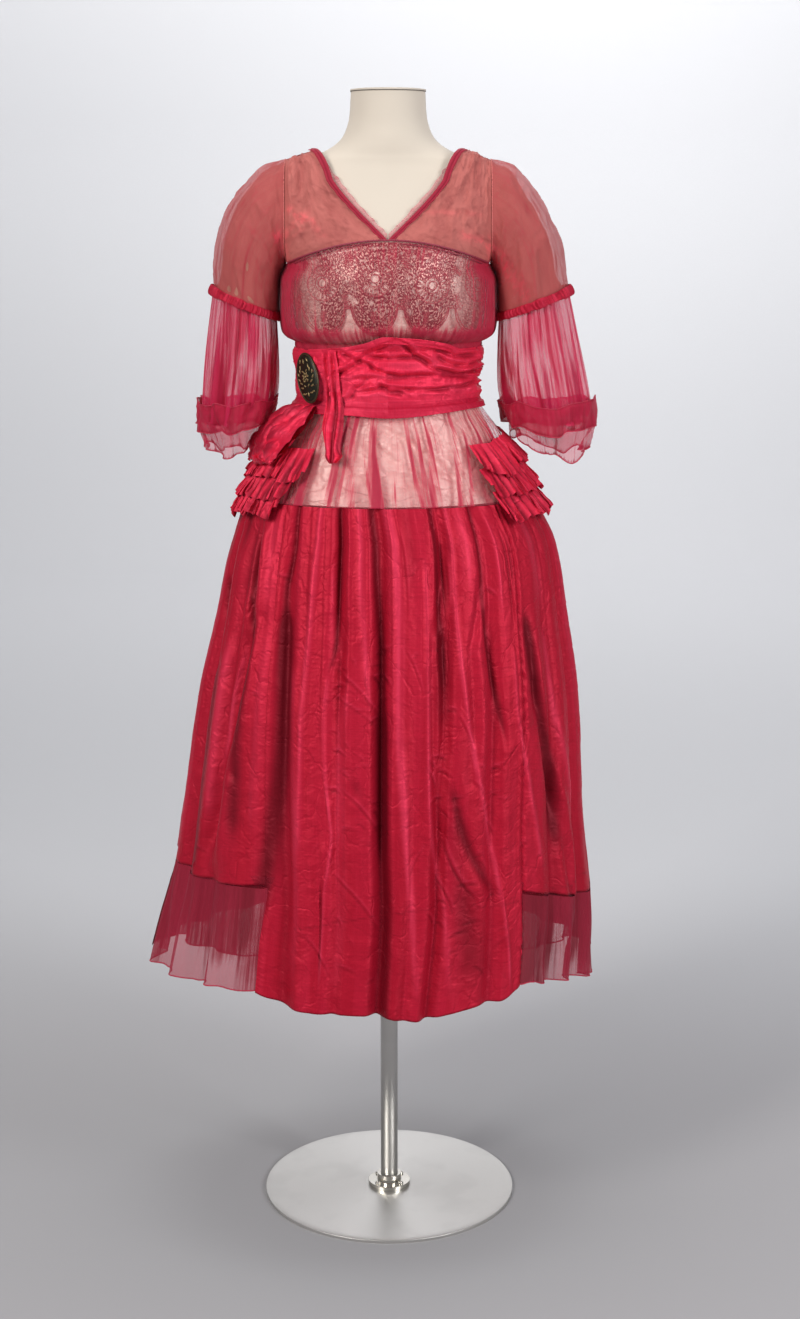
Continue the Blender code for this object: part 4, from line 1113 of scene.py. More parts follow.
FORM = Figure((
    Section(0.975, 0.0, 0.120, 0.085, 0.090),
    Section(0.990, 0.0, 0.150, 0.104, 0.112),
    Section(1.060, 0.0, 0.168, 0.118, 0.130),
    Section(1.130, 0.0, 0.154, 0.111, 0.117),
    Section(1.180, 0.0, 0.133, 0.102, 0.098),
    Section(1.2065, 0.0, 0.1240, 0.0975, 0.0902),
    Section(1.235, 0.0, 0.117, 0.094, 0.084),
    Section(1.290, 0.0, 0.122, 0.103, 0.088),
    Section(1.340, 0.0, 0.132, 0.121, 0.096),
    Section(1.375, 0.0, 0.1360, 0.127, 0.101),
    Section(1.400, 0.0, 0.1395, 0.123, 0.103),
    Section(1.430, 0.0, 0.157, 0.111, 0.104),
    Section(1.465, 0.0, 0.168, 0.094, 0.102),
    Section(1.500, 0.0, 0.167, 0.077, 0.092),
    Section(1.522, 0.0, 0.157, 0.066, 0.081),
    Section(1.535, 0.0, 0.140, 0.060, 0.074),
    Section(1.5435, 0.0, 0.118, 0.058, 0.070),
    Section(1.549, 0.0, 0.0990, 0.057, 0.067),
    Section(1.556, 0.0, 0.083, 0.057, 0.064),
    Section(1.568, 0.0, 0.067, 0.056, 0.059),
    Section(1.590, 0.0, 0.0560, 0.052, 0.054),
    Section(1.634, 0.0, 0.0515, 0.050, 0.051),
))

BLOUSE = Figure((
    Section(1.2925, 0.0, 0.1330, 0.1150, 0.0990),
    Section(1.2980, 0.0, 0.1450, 0.1290, 0.1090),
    Section(1.3120, 0.0, 0.1530, 0.1400, 0.1160),
    Section(1.3400, 0.0, 0.1550, 0.1430, 0.1180),
    Section(1.3800, 0.0, 0.1520, 0.1415, 0.1160),
    Section(1.4000, 0.0, 0.1430, 0.1290, 0.1090),
    Section(1.4335, 0.0, 0.1610, 0.1155, 0.1090),
))

SKIRT = Figure((
    Section(0.340, -0.028, 0.341, 0.266, 0.286),
    Section(0.378, -0.026, 0.337, 0.262, 0.282),
    Section(0.450, -0.018, 0.326, 0.252, 0.272),
    Section(0.520, -0.011, 0.312, 0.243, 0.262),
    Section(0.607, -0.008, 0.299, 0.232, 0.250),
    Section(0.693, -0.004, 0.290, 0.221, 0.239),
    Section(0.800, 0.001, 0.277, 0.206, 0.224),
    Section(0.896, 0.005, 0.257, 0.190, 0.207),
    Section(1.015, 0.0075, 0.2320, 0.166, 0.180),
    Section(1.073, 0.002, 0.206, 0.152, 0.163),
    Section(1.130, 0.001, 0.176, 0.133, 0.139),
    Section(1.170, 0.0, 0.1560, 0.1190, 0.1180),
    Section(1.190, 0.0, 0.1400, 0.1125, 0.1068),
    Section(1.206, 0.0, 0.1295, 0.1046, 0.0972),
))

LINING = Figure((
    Section(1.073, 0.0, 0.1900, 0.1380, 0.1480),
    Section(1.130, 0.0, 0.1640, 0.1230, 0.1290),
    Section(1.170, 0.0, 0.1450, 0.1100, 0.1090),
    Section(1.206, 0.0, 0.1257, 0.0993, 0.0920),
))

SASH = Figure((
    Section(1.192, 0.0, 0.1410, 0.1140, 0.1085),
    Section(1.2065, 0.0, 0.1320, 0.1072, 0.0998),
    Section(1.2135, 0.0, 0.1292, 0.1050, 0.0972),
    Section(1.2450, -0.001, 0.1285, 0.1080, 0.0968),
    Section(1.2700, 0.0, 0.1310, 0.1130, 0.0982),
    Section(1.2921, 0.0, 0.1330, 0.1150, 0.0990),
))


SASH_TAFFETA = Taffeta("sash_taffeta", (0.760, 0.018, 0.060), (0.92, 0.060, 0.130), level=True)
ROLLED_HEM = Cord("rolled_hem", (0.330, 0.008, 0.034))

# Usual distance between neighbouring points across the sheer cloth, which says how steep its gathers are.
SKIRT_PITCH = 0.0024
SLEEVE_PITCH = 0.0019


@dataclass(frozen=True)
class Gathers:
    """Uneven gathers down a strip or ring of cloth, each with its own width, depth and lean."""

    count: int
    seed: int
    depth: float
    along: tuple[float, ...] = (1.0, 1.0)
    narrow: float = 0.30
    lean: float = 0.25
    ring: bool = False

    def push(self, share: Array, part: Array) -> Array:
        """How far the cloth is pushed out, in metres, negative in the troughs.

        Args:
            share: Place across the strip, from 0 to 1.
            part: Place down the strip, from 0 to 1.

        Returns:
            The push at each point.
        """
        draw = np.random.default_rng(self.seed)
        middle = (np.arange(self.count) + draw.uniform(0.1, 0.9, self.count)) / self.count
        width = self.narrow / self.count * draw.uniform(0.55, 1.4, self.count)
        deep = draw.uniform(0.35, 1.0, self.count)
        lean = self.lean / self.count * draw.uniform(-1, 1, self.count)
        fade = draw.uniform(0.25, 1.6, self.count)
        below = draw.uniform(0, 1, self.count) < 0.3
        total = np.zeros(np.broadcast(share, part).shape)
        for i in range(self.count):
            aside = share - middle[i] - lean[i] * part
            if self.ring:
                aside = (aside + 0.5) % 1.0 - 0.5
            if below[i]:
                life = eased(part, 0.1, 0.1 + fade[i])
            else:
                life = 1 - 0.7 * eased(part, fade[i] - 0.25, fade[i] + 0.25)
            total = total + deep[i] * life * bell(aside, width[i] * (1 + 0.5 * part))
        reach = np.interp(part, np.linspace(0, 1, len(self.along)), self.along)
        return -self.depth * reach * np.minimum(total, 1.3)


def walls(push: Array, pitch: float | Array, strength: float = 1.0) -> Array:
    """How much more cloth lies at each place because its gathers stand on edge there, from 0 up."""
    slope = np.gradient(push, axis=1) / pitch
    return strength * (np.sqrt(1 + slope**2) - 1)


class Workbench:
    """The mesh tools for the hard pieces, used as by hand: one piece at a time, all else deselected."""

    def start(self) -> None:
        """Leaves edit mode and deselects everything."""
        if bpy.context.object and bpy.context.object.mode != "OBJECT":
            bpy.ops.object.mode_set(mode="OBJECT")
        bpy.ops.object.select_all(action="DESELECT")

    def disc(self, name: str, radius: float, low: float, high: float, sides: int = 96) -> bpy.types.Object:
        """A round blank standing on the axis.

        Args:
            name: Its name.
            radius: Its radius.
            low: Height of its underside.
            high: Height of its top.
            sides: How many sides it has.

        Returns:
            The blank, in edit mode with nothing selected.
        """
        self.start()
        place = (0.0, 0.0, (low + high) / 2)
        bpy.ops.mesh.primitive_cylinder_add(vertices=sides, radius=radius, depth=high - low, location=place)
        piece = bpy.context.object
        piece.name = name
        bpy.ops.object.transform_apply(location=True, rotation=True, scale=True)
        bpy.ops.object.mode_set(mode="EDIT")
        bpy.ops.mesh.select_all(action="DESELECT")
        return piece

    def pick(self, piece: bpy.types.Object, kind: str, test: Callable[[object], bool]) -> None:
        """Selects only those faces or edges of a piece in edit mode that pass a test.

        Args:
            piece: The piece.
            kind: FACE or EDGE.
            test: Takes a polygon, or the two ends of an edge, and says whether it is picked.
        """
        bpy.ops.mesh.select_mode(type=kind)
        bpy.ops.mesh.select_all(action="DESELECT")
        bpy.ops.object.mode_set(mode="OBJECT")
        mesh = piece.data
        if kind == "FACE":
            for face in mesh.polygons:
                face.select = bool(test(face))
        else:
            for edge in mesh.edges:
                edge.select = bool(test([mesh.vertices[i].co for i in edge.vertices]))
        bpy.ops.object.mode_set(mode="EDIT")

    def pick_top(self, piece: bpy.types.Object) -> None:
        """Selects only the flat round tops of a piece in edit mode."""
        self.pick(piece, "FACE", lambda face: face.normal.z > 0.9 and len(face.vertices) > 8)

    def pick_rims(self, piece: bpy.types.Object, heights: Sequence[float]) -> None:
        """Selects only the edges of a piece in edit mode that lie at one of these heights.

        Args:
            piece: The piece that is open in edit mode.
            heights: The heights of the edges that are wanted.
        """
        self.pick(
            piece, "EDGE", lambda ends: any(all(abs(end.z - z) < 1e-5 for end in ends) for z in heights)
        )

    def raise_by(self, up: float) -> None:
        """Extrudes what is selected straight up, or down where it is negative."""
        bpy.ops.mesh.extrude_region_move(TRANSFORM_OT_translate={"value": (0.0, 0.0, up)})

    def edit(self, piece: bpy.types.Object) -> None:
        """Opens a piece in edit mode, selected all over.

        Args:
            piece: The piece.
        """
        self.start()
        bpy.context.view_layer.objects.active = piece
        piece.select_set(True)
        bpy.ops.object.mode_set(mode="EDIT")
        bpy.ops.mesh.select_all(action="SELECT")

    def copies(self, piece: bpy.types.Object, count: int) -> list[bpy.types.Object]:
        """Copies a piece, each copy with its own mesh.

        Args:
            piece: The piece.
            count: How many there are to be, with the piece itself.

        Returns:
            The piece and its copies.
        """
        made = [piece]
        for _ in range(count - 1):
            copy = piece.copy()
            copy.data = piece.data.copy()
            bpy.context.scene.collection.objects.link(copy)
            made.append(copy)
        return made

    def finish(self, piece: bpy.types.Object, sharp: float = 35.0) -> bpy.types.Object:
        """Ends the work on a piece, smooth except at edges sharper than this angle in degrees.

        Args:
            piece: The piece.
            sharp: The angle.

        Returns:
            The same piece, in object mode.
        """
        bpy.ops.mesh.select_all(action="SELECT")
        bpy.ops.mesh.normals_make_consistent(inside=False)
        bpy.ops.object.mode_set(mode="OBJECT")
        piece.select_set(True)
        bpy.ops.object.shade_smooth_by_angle(angle=math.radians(sharp))
        piece.select_set(False)
        return piece


@dataclass
class Studio:
    """The pale studio round the dress: a swept backdrop, soft lights and the camera."""

    eye: tuple[float, float, float] = (0.0165, -3.026, 1.476)
    pitch: float = 12.05
    lens: float = 36.0 * 2115 / 1319
    floor_front: float = -8.0
    floor_back: float = 7.4
    wall_top: float = 6.0
    half_width: float = 8.0
    sweep: float = 1.9

    def build(self) -> bpy.types.Object:
        """The backdrop: a floor that sweeps up into a wall.

        Returns:
            The finished piece.
        """
        bench = Workbench()
        bench.start()
        back = self.floor_back - 0.01
        middle = (0.0, (self.floor_front + self.floor_back) / 2, 0.0)
        bpy.ops.mesh.primitive_plane_add(size=1.0, location=middle)
        piece = bpy.context.object
        piece.name = "backdrop"
        piece.scale = (2 * self.half_width, self.floor_back - self.floor_front, 1.0)
        bpy.ops.object.transform_apply(location=True, rotation=True, scale=True)
        bpy.ops.object.mode_set(mode="EDIT")
        bench.pick(piece, "EDGE", lambda ends: all(end.y > back for end in ends))
        bench.raise_by(self.wall_top)
        bench.pick(piece, "EDGE", lambda ends: all(end.y > back and end.z < 0.01 for end in ends))
        bpy.ops.mesh.bevel(offset=self.sweep, segments=40, profile=0.5)
        bpy.ops.object.mode_set(mode="OBJECT")
        bpy.ops.object.shade_smooth()
        piece.data.materials.append(self.paper())
        piece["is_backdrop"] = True
        return piece

    def paper(self) -> bpy.types.Material:
        """Matt grey paper: painted light makes it darker on the floor and paler towards the wall and up it,
        painted shade darkens it towards the left, and it is pale again far out in front and to the sides.

        Returns:
            The material.
        """
        weave = Weave("backdrop_paper")
        parts = weave.node("ShaderNodeSeparateXYZ", {"Vector": weave.solid()})
        # Painted light: darker on the floor, paler towards the wall and up it.
        away = weave.spread(parts.outputs[1], 0.0, 1.7, 0.0, 1.0)
        shade = weave.blend(away, (0.430, 0.420, 0.430), (0.72, 0.72, 0.74))
        rise = weave.spread(parts.outputs[2], 0.05, 2.0, 0.0, 1.0)
        shade = weave.blend(rise, shade, (0.94, 0.94, 0.96))
        # Painted shade towards the left.
        aside = weave.spread(parts.outputs[0], -2.0, 1.4, 0.22, 0.0)
        shade = weave.blend(aside, shade, (0.20, 0.20, 0.21))
        forward = weave.spread(weave.sum("MULTIPLY", parts.outputs[1], -1.0), 3.2, 6.5, 0.0, 1.0)
        outward = weave.spread(weave.sum("ABSOLUTE", parts.outputs[0]), 3.0, 6.0, 0.0, 1.0)
        shade = weave.blend(weave.sum("MAXIMUM", forward, outward), shade, (0.93, 0.95, 1.0))
        grain = weave.spread(weave.noise(weave.solid(), 260.0, 2.0), 0.3, 0.7, 0.0, 0.04)
        weave.set(
            Base_Color=weave.blend(grain, shade, (0.40, 0.40, 0.41)), Roughness=0.85, Specular_IOR_Level=0.2
        )
        return weave.material

    def lamp(
        self,
        name: str,
        place: tuple[float, float, float],
        aim: tuple[float, float, float],
        size: tuple[float, float],
        power: float,
        tint: Colour = (1.0, 1.0, 1.0),
    ) -> None:
        """A soft oblong light.

        Args:
            name: Its name.
            place: Where it stands.
            aim: The point that it faces.
            size: Its width and height.
            power: Its power in watts.
            tint: Its colour.
        """
        light = bpy.data.lights.new(name, "AREA")
        light.shape = "RECTANGLE"
        light.size, light.size_y = size
        light.energy = power
        light.color = tint
        lamp = bpy.data.objects.new(name, light)
        lamp.location = place
        away = np.array(place) - np.array(aim)
        turn = math.atan2(away[0], -away[1])
        tip = math.atan2(away[2], math.hypot(away[0], away[1]))
        lamp.rotation_euler = (math.pi / 2 - tip, 0.0, turn)
        bpy.context.scene.collection.objects.link(lamp)

    def lights(self) -> None:
        """Sets up the soft lights and the pale air."""
        self.lamp("key_light", (-2.3, -2.6, 2.7), (0.0, 0.0, 1.0), (1.0, 1.9), 92.0, (1.0, 0.985, 0.96))
        self.lamp("fill_light", (2.6, -2.4, 2.0), (0.0, 0.0, 0.9), (1.0, 2.0), 74.0, (0.97, 0.98, 1.0))
        self.lamp("top_light", (0.0, 0.3, 4.0), (0.0, 0.0, 1.0), (2.2, 1.6), 40.0)
        self.lamp("wall_light", (0.0, 4.2, 5.2), (0.0, 7.4, 2.4), (6.0, 1.0), 200.0)
        world = bpy.data.worlds.new("studio_air")
        world.use_nodes = True
        air = world.node_tree.nodes["Background"]
        air.inputs["Color"].default_value = (0.93, 0.95, 1.0, 1.0)
        air.inputs["Strength"].default_value = 0.26
        bpy.context.scene.world = world

    def camera(self) -> None:
        """Sets the camera where the photo was taken from."""
        camera = bpy.data.cameras.new("camera")
        camera.lens = self.lens
        camera.sensor_width = 36.0
        camera.sensor_fit = "AUTO"
        view = bpy.data.objects.new("camera", camera)
        view.location = self.eye
        view.rotation_euler = (math.pi / 2 - math.radians(self.pitch), 0.0, 0.0)
        bpy.context.scene.collection.objects.link(view)
        bpy.context.scene.camera = view

    def dress(self) -> None:
        """Builds the backdrop, the lights and the camera, with colours shown as they are."""
        self.build()
        bpy.context.scene.view_settings.view_transform = "Standard"
        self.lights()
        self.camera()


@dataclass
class Stand:
    """The steel stand: a round plate, a screwed flange with its collar, and a pole."""

    base_radius: float = 0.190
    base_thickness: float = 0.005
    flange_radius: float = 0.032
    flange_thickness: float = 0.006
    collar_radius: float = 0.0185
    collar_height: float = 0.011
    screw_radius: float = 0.0042
    screw_height: float = 0.003
    screw_circle: float = 0.0245
    screws: int = 4
    pole_radius: float = 0.013
    pole_top: float = 0.9747
    gap: float = 0.0003
    bench: Workbench = field(default_factory=Workbench)

    def plate(self) -> bpy.types.Object:
        """The base plate, its top edge finely rounded.

        Returns:
            The finished piece.
        """
        piece = self.bench.disc("round_base", self.base_radius, 0.0, self.base_thickness, 192)
        self.bench.pick_rims(piece, (self.base_thickness,))
        bpy.ops.mesh.bevel(offset=0.0011, segments=4, profile=0.5)
        self.bench.pick_top(piece)
        bpy.ops.mesh.inset(thickness=0.012, depth=0.0)
        return self.bench.finish(piece)

    def flange(self) -> bpy.types.Object:
        """The flange and the collar that grips the pole, bored through for it.

        Returns:
            The finished piece.
        """
        low = self.base_thickness + self.gap
        high = low + self.flange_thickness
        bore = self.pole_radius + self.gap
        piece = self.bench.disc("pole_flange", self.flange_radius, low, high, 72)
        self.bench.pick_top(piece)
        bpy.ops.mesh.inset(thickness=self.flange_radius - self.collar_radius, depth=0.0)
        self.bench.raise_by(self.collar_height)
        self.bench.pick_top(piece)
        bpy.ops.mesh.inset(thickness=self.collar_radius - bore, depth=0.0)
        top = high + self.collar_height
        edge = {round(self.flange_radius, 4), round(self.collar_radius, 4)}
        self.bench.pick(piece, "EDGE", lambda ends: self.rim(ends, edge, (high, top)))
        bpy.ops.mesh.bevel(offset=0.0009, segments=3, profile=0.6)
        self.bench.pick_top(piece)
        self.bench.raise_by(1e-5 - self.collar_height)
        return self.bench.finish(piece)

    def rim(self, ends: Sequence[object], radii: set[float], heights: Sequence[float]) -> bool:
        """Whether an edge runs level round the axis at one of these radii and heights.

        Args:
            ends: The edge's two ends.
            radii: The radii, to 0.1 mm.
            heights: The heights.

        Returns:
            Whether it does.
        """
        level = any(all(abs(end.z - height) < 1e-5 for end in ends) for height in heights)
        far = [round(math.hypot(end.x, end.y), 4) for end in ends]
        return level and far[0] == far[1] and far[0] in radii

    def screw(self) -> bpy.types.Object:
        """One domed screw head with its slot, on the axis.

        Returns:
            The finished piece.
        """
        foot = self.base_thickness + 2 * self.gap + self.flange_thickness
        top = foot + self.screw_height
        piece = self.bench.disc("screw_head_1", self.screw_radius, foot, top, 28)
        self.bench.pick_rims(piece, (top,))
        bpy.ops.mesh.bevel(offset=0.0017, segments=5, profile=0.5)
        for cut in (-0.0005, 0.0005):
            bpy.ops.mesh.select_all(action="SELECT")
            bpy.ops.mesh.bisect(plane_co=(0.0, cut, 0.0), plane_no=(0.0, 1.0, 0.0))
        self.bench.pick(piece, "FACE", lambda face: face.normal.z > 0.9 and abs(face.center.y) < 0.0004)
        self.bench.raise_by(-0.0011)
        bpy.ops.object.mode_set(mode="OBJECT")
        return piece

    def screw_ring(self) -> list[bpy.types.Object]:
        """The screw heads on their circle: copies of one, each turned its own way.

        Returns:
            The screw heads, in the order of their numbers.
        """
        heads = self.bench.copies(self.screw(), self.screws)
        for number, head in enumerate(heads, 1):
            head.name = f"screw_head_{number}"
            turn = math.radians(45 + 90 * (number - 1))
            away = (self.screw_circle * math.cos(turn), self.screw_circle * math.sin(turn), 0.0)
            self.bench.edit(head)
            bpy.ops.transform.rotate(value=0.9 * number, orient_axis="Z", center_override=(0.0, 0.0, 0.0))
            bpy.ops.transform.translate(value=away)
            self.bench.finish(head)
        return heads

    def pole(self) -> bpy.types.Object:
        """The pole, its ends slightly rounded.

        Returns:
            The finished piece.
        """
        low = self.base_thickness + self.gap
        piece = self.bench.disc("steel_pole", self.pole_radius, low, self.pole_top, 64)
        self.bench.pick_rims(piece, (low, self.pole_top))
        bpy.ops.mesh.bevel(offset=0.0006, segments=2, profile=0.5)
        return self.bench.finish(piece)

    def dress(self, wardrobe: Wardrobe) -> None:
        """Builds the stand in brushed steel.

        Args:
            wardrobe: Puts the pieces in the scene.
        """
        polished = Steel("polished_flange", (0.66, 0.63, 0.57), 0.14)
        wardrobe.dress(self.plate(), Steel("brushed_plate", (0.68, 0.66, 0.63), 0.36), ["base_plate"])
        wardrobe.dress(self.flange(), polished, ["base_flange"])
        wardrobe.dress(self.pole(), Steel("brushed_pole", (0.56, 0.55, 0.53), 0.30, False), ["stand_pole"])
        for number, head in enumerate(self.screw_ring(), 1):
            wardrobe.dress(head, polished, [f"flange_screw_{number}"])


@dataclass
class DressForm:
    """The limbless form: a covered torso with its neck, and the thin cap on the neck."""

    bottom: float = 0.975
    top: float = 1.634
    sides: int = 112
    blank: float = 0.2
    cap_rim: float = 0.001
    bench: Workbench = field(default_factory=Workbench)

    def torso(self) -> bpy.types.Object:
        """The torso, from a round blank cut into rings that take the form's sections.

        Returns:
            The finished piece.
        """
        piece = self.bench.disc("covered_form", self.blank, self.bottom, self.top, self.sides)
        rows = [*np.linspace(self.bottom, 1.50, 44)[1:], *np.linspace(1.502, 1.60, 46), 1.610, 1.620]
        rows.extend([self.bottom + 0.0012, self.bottom + 0.004])
        for row in rows:
            bpy.ops.mesh.select_all(action="SELECT")
            bpy.ops.mesh.bisect(plane_co=(0.0, 0.0, float(row)), plane_no=(0.0, 0.0, 1.0))
        self.bench.pick(piece, "FACE", lambda face: face.normal.z < -0.9)
        bpy.ops.mesh.inset(thickness=0.010, depth=0.0)
        bpy.ops.object.mode_set(mode="OBJECT")
        for point in piece.data.vertices:
            far = math.hypot(point.co.x, point.co.y) / self.blank
            angle = math.degrees(math.atan2(point.co.x, -point.co.y))
            place = FORM.place(np.array(point.co.z), np.array(angle))
            point.co = (place[0] * far, place[1] * far, point.co.z)
        bpy.ops.object.mode_set(mode="EDIT")
        return self.bench.finish(piece, 60.0)

    def cap(self) -> bpy.types.Object:
        """The covered cap that closes the neck, a little wider than it.

        Returns:
            The finished piece.
        """
        piece = self.bench.disc("neck_lid", 1.0, self.top + 0.0003, self.top + 0.0032, 72)
        crown = self.top + 0.0031
        self.bench.pick(piece, "FACE", lambda face: face.normal.z > 0.9)
        bpy.ops.mesh.inset(thickness=0.10, depth=0.0)
        bpy.ops.object.mode_set(mode="OBJECT")
        for point in piece.data.vertices:
            far = math.hypot(point.co.x, point.co.y)
            angle = math.degrees(math.atan2(point.co.x, -point.co.y))
            rim = self.cap_rim if point.co.z < crown or far > 0.95 else 0.0
            place = FORM.place(np.array(self.top), np.array(angle), np.array(rim))
            drop = 0.0009 if point.co.z > crown and far > 0.95 else 0.0
            point.co = (place[0] * far, place[1] * far, point.co.z - drop)
        bpy.ops.object.mode_set(mode="EDIT")
        self.bench.pick(piece, "EDGE", lambda ends: all(end.z > self.top + 0.0015 for end in ends))
        bpy.ops.mesh.bevel(offset=0.0004, segments=2, profile=0.5)
        return self.bench.finish(piece)

    def dress(self, wardrobe: Wardrobe) -> None:
        """Builds the form in cream jersey, with a darker line under its cap.

        Args:
            wardrobe: Puts the pieces in the scene.
        """
        wardrobe.dress(self.torso(), Jersey(), ["dress_form"])
        wardrobe.dress(self.cap(), Jersey("cap_cover", (0.62, 0.550, 0.465)), ["neck_cap"])
        angles = np.arange(72) * 5.0
        seam = FORM.place(np.full(72, self.top - 0.0004), angles, 0.0003)
        kind = Cord("cap_seam", (0.10, 0.085, 0.070), 0.8, "form_cover")
        wardrobe.cords("cap_seam", [(seam, 0.0006, True)], kind)


@dataclass
class SkirtCut:
    """The skirt's outermost cloth: how its threads fall from the yoke seam to the hem, and its big folds."""

    seam: float = 1.073
    hem: float = 0.378
    drift_at_top: tuple[float, ...] = (-180, -100, -44, -36, -18.7, -5, 20.3, 34.7, 46, 100, 180)
    drift_at_hem: tuple[float, ...] = (-180, -97, -29, -19, -9, 1.6, 15.5, 31, 39, 98, 180)
    folds: tuple[Fold, ...] = (
        Fold(-172.0, 4.5, 0.005, 0.012, 0.018),
        Fold(-157.0, 4.0, 0.006, 0.014, 0.020),
        Fold(-141.0, 4.5, 0.005, 0.011, 0.016),
        Fold(-126.0, 4.0, 0.006, 0.014, 0.021),
        Fold(-110.0, 4.0, 0.005, 0.012, 0.018),
        Fold(-91.0, 3.6, 0.004, 0.010, 0.014),
        Fold(-76.0, 3.4, 0.005, 0.013, 0.017),
        Fold(-62.0, 3.2, 0.004, 0.010, 0.013),
        Fold(-38.8, 2.6, 0.004, 0.011, 0.014),
        Fold(-18.7, 2.2, 0.009, 0.013, 0.005),
        Fold(-5.0, 2.4, 0.010, 0.015, 0.017),
        Fold(8.0, 2.6, 0.003, 0.003, 0.005),
        Fold(18.2, 2.4, 0.009, 0.014, 0.016),
        Fold(33.6, 2.2, 0.006, 0.010, 0.011),
        Fold(60.0, 3.2, 0.004, 0.011, 0.015),
        Fold(74.0, 3.4, 0.005, 0.012, 0.016),
        Fold(90.0, 3.6, 0.004, 0.010, 0.015),
        Fold(109.0, 4.0, 0.006, 0.013, 0.019),
        Fold(124.0, 4.5, 0.005, 0.012, 0.017),
        Fold(140.0, 4.0, 0.006, 0.015, 0.021),
        Fold(156.0, 4.5, 0.005, 0.012, 0.018),
        Fold(172.0, 4.0, 0.006, 0.013, 0.020),
    )

    def fall(self, heights: Array) -> Array:
        """How far down the skirt a height is, from 0 at the seam to 1 at the hem."""
        return np.clip((self.seam - heights) / (self.seam - self.hem), 0, 1)

    def point(self, threads: Array, heights: Array, out: Array | float) -> Array:
        """Places on the skirt.

        Args:
            threads: Each thread's angle at the seam, in degrees.
            heights: Height of each point.
            out: How far outside the folded cloth each point is.

        Returns:
            The points.
        """
        threads, heights = np.broadcast_arrays(np.asarray(threads, float), np.asarray(heights, float))
        turned = facing(threads)
        drift = smooth_curve(self.drift_at_top, self.drift_at_hem, turned) - turned
        return SKIRT.place(heights, threads + drift * self.fall(heights), out - self.sink(threads, heights))

    def sink(self, threads: Array, heights: Array) -> Array:
        """How deep the big folds are at each point.

        Args:
            threads: Thread of each point, by its angle at the seam.
            heights: Height of each point.

        Returns:
            The depth at each point, in metres.
        """
        fall = self.fall(heights)
        turned = facing(threads)
        sink = np.zeros(np.broadcast(threads, heights).shape)
        for fold in self.folds:
            depth = np.interp(fall, [0, 0.35, 1], [fold.top, fold.middle, fold.hem])
            sink += depth * bell(turned - fold.angle, fold.width)
        return sink


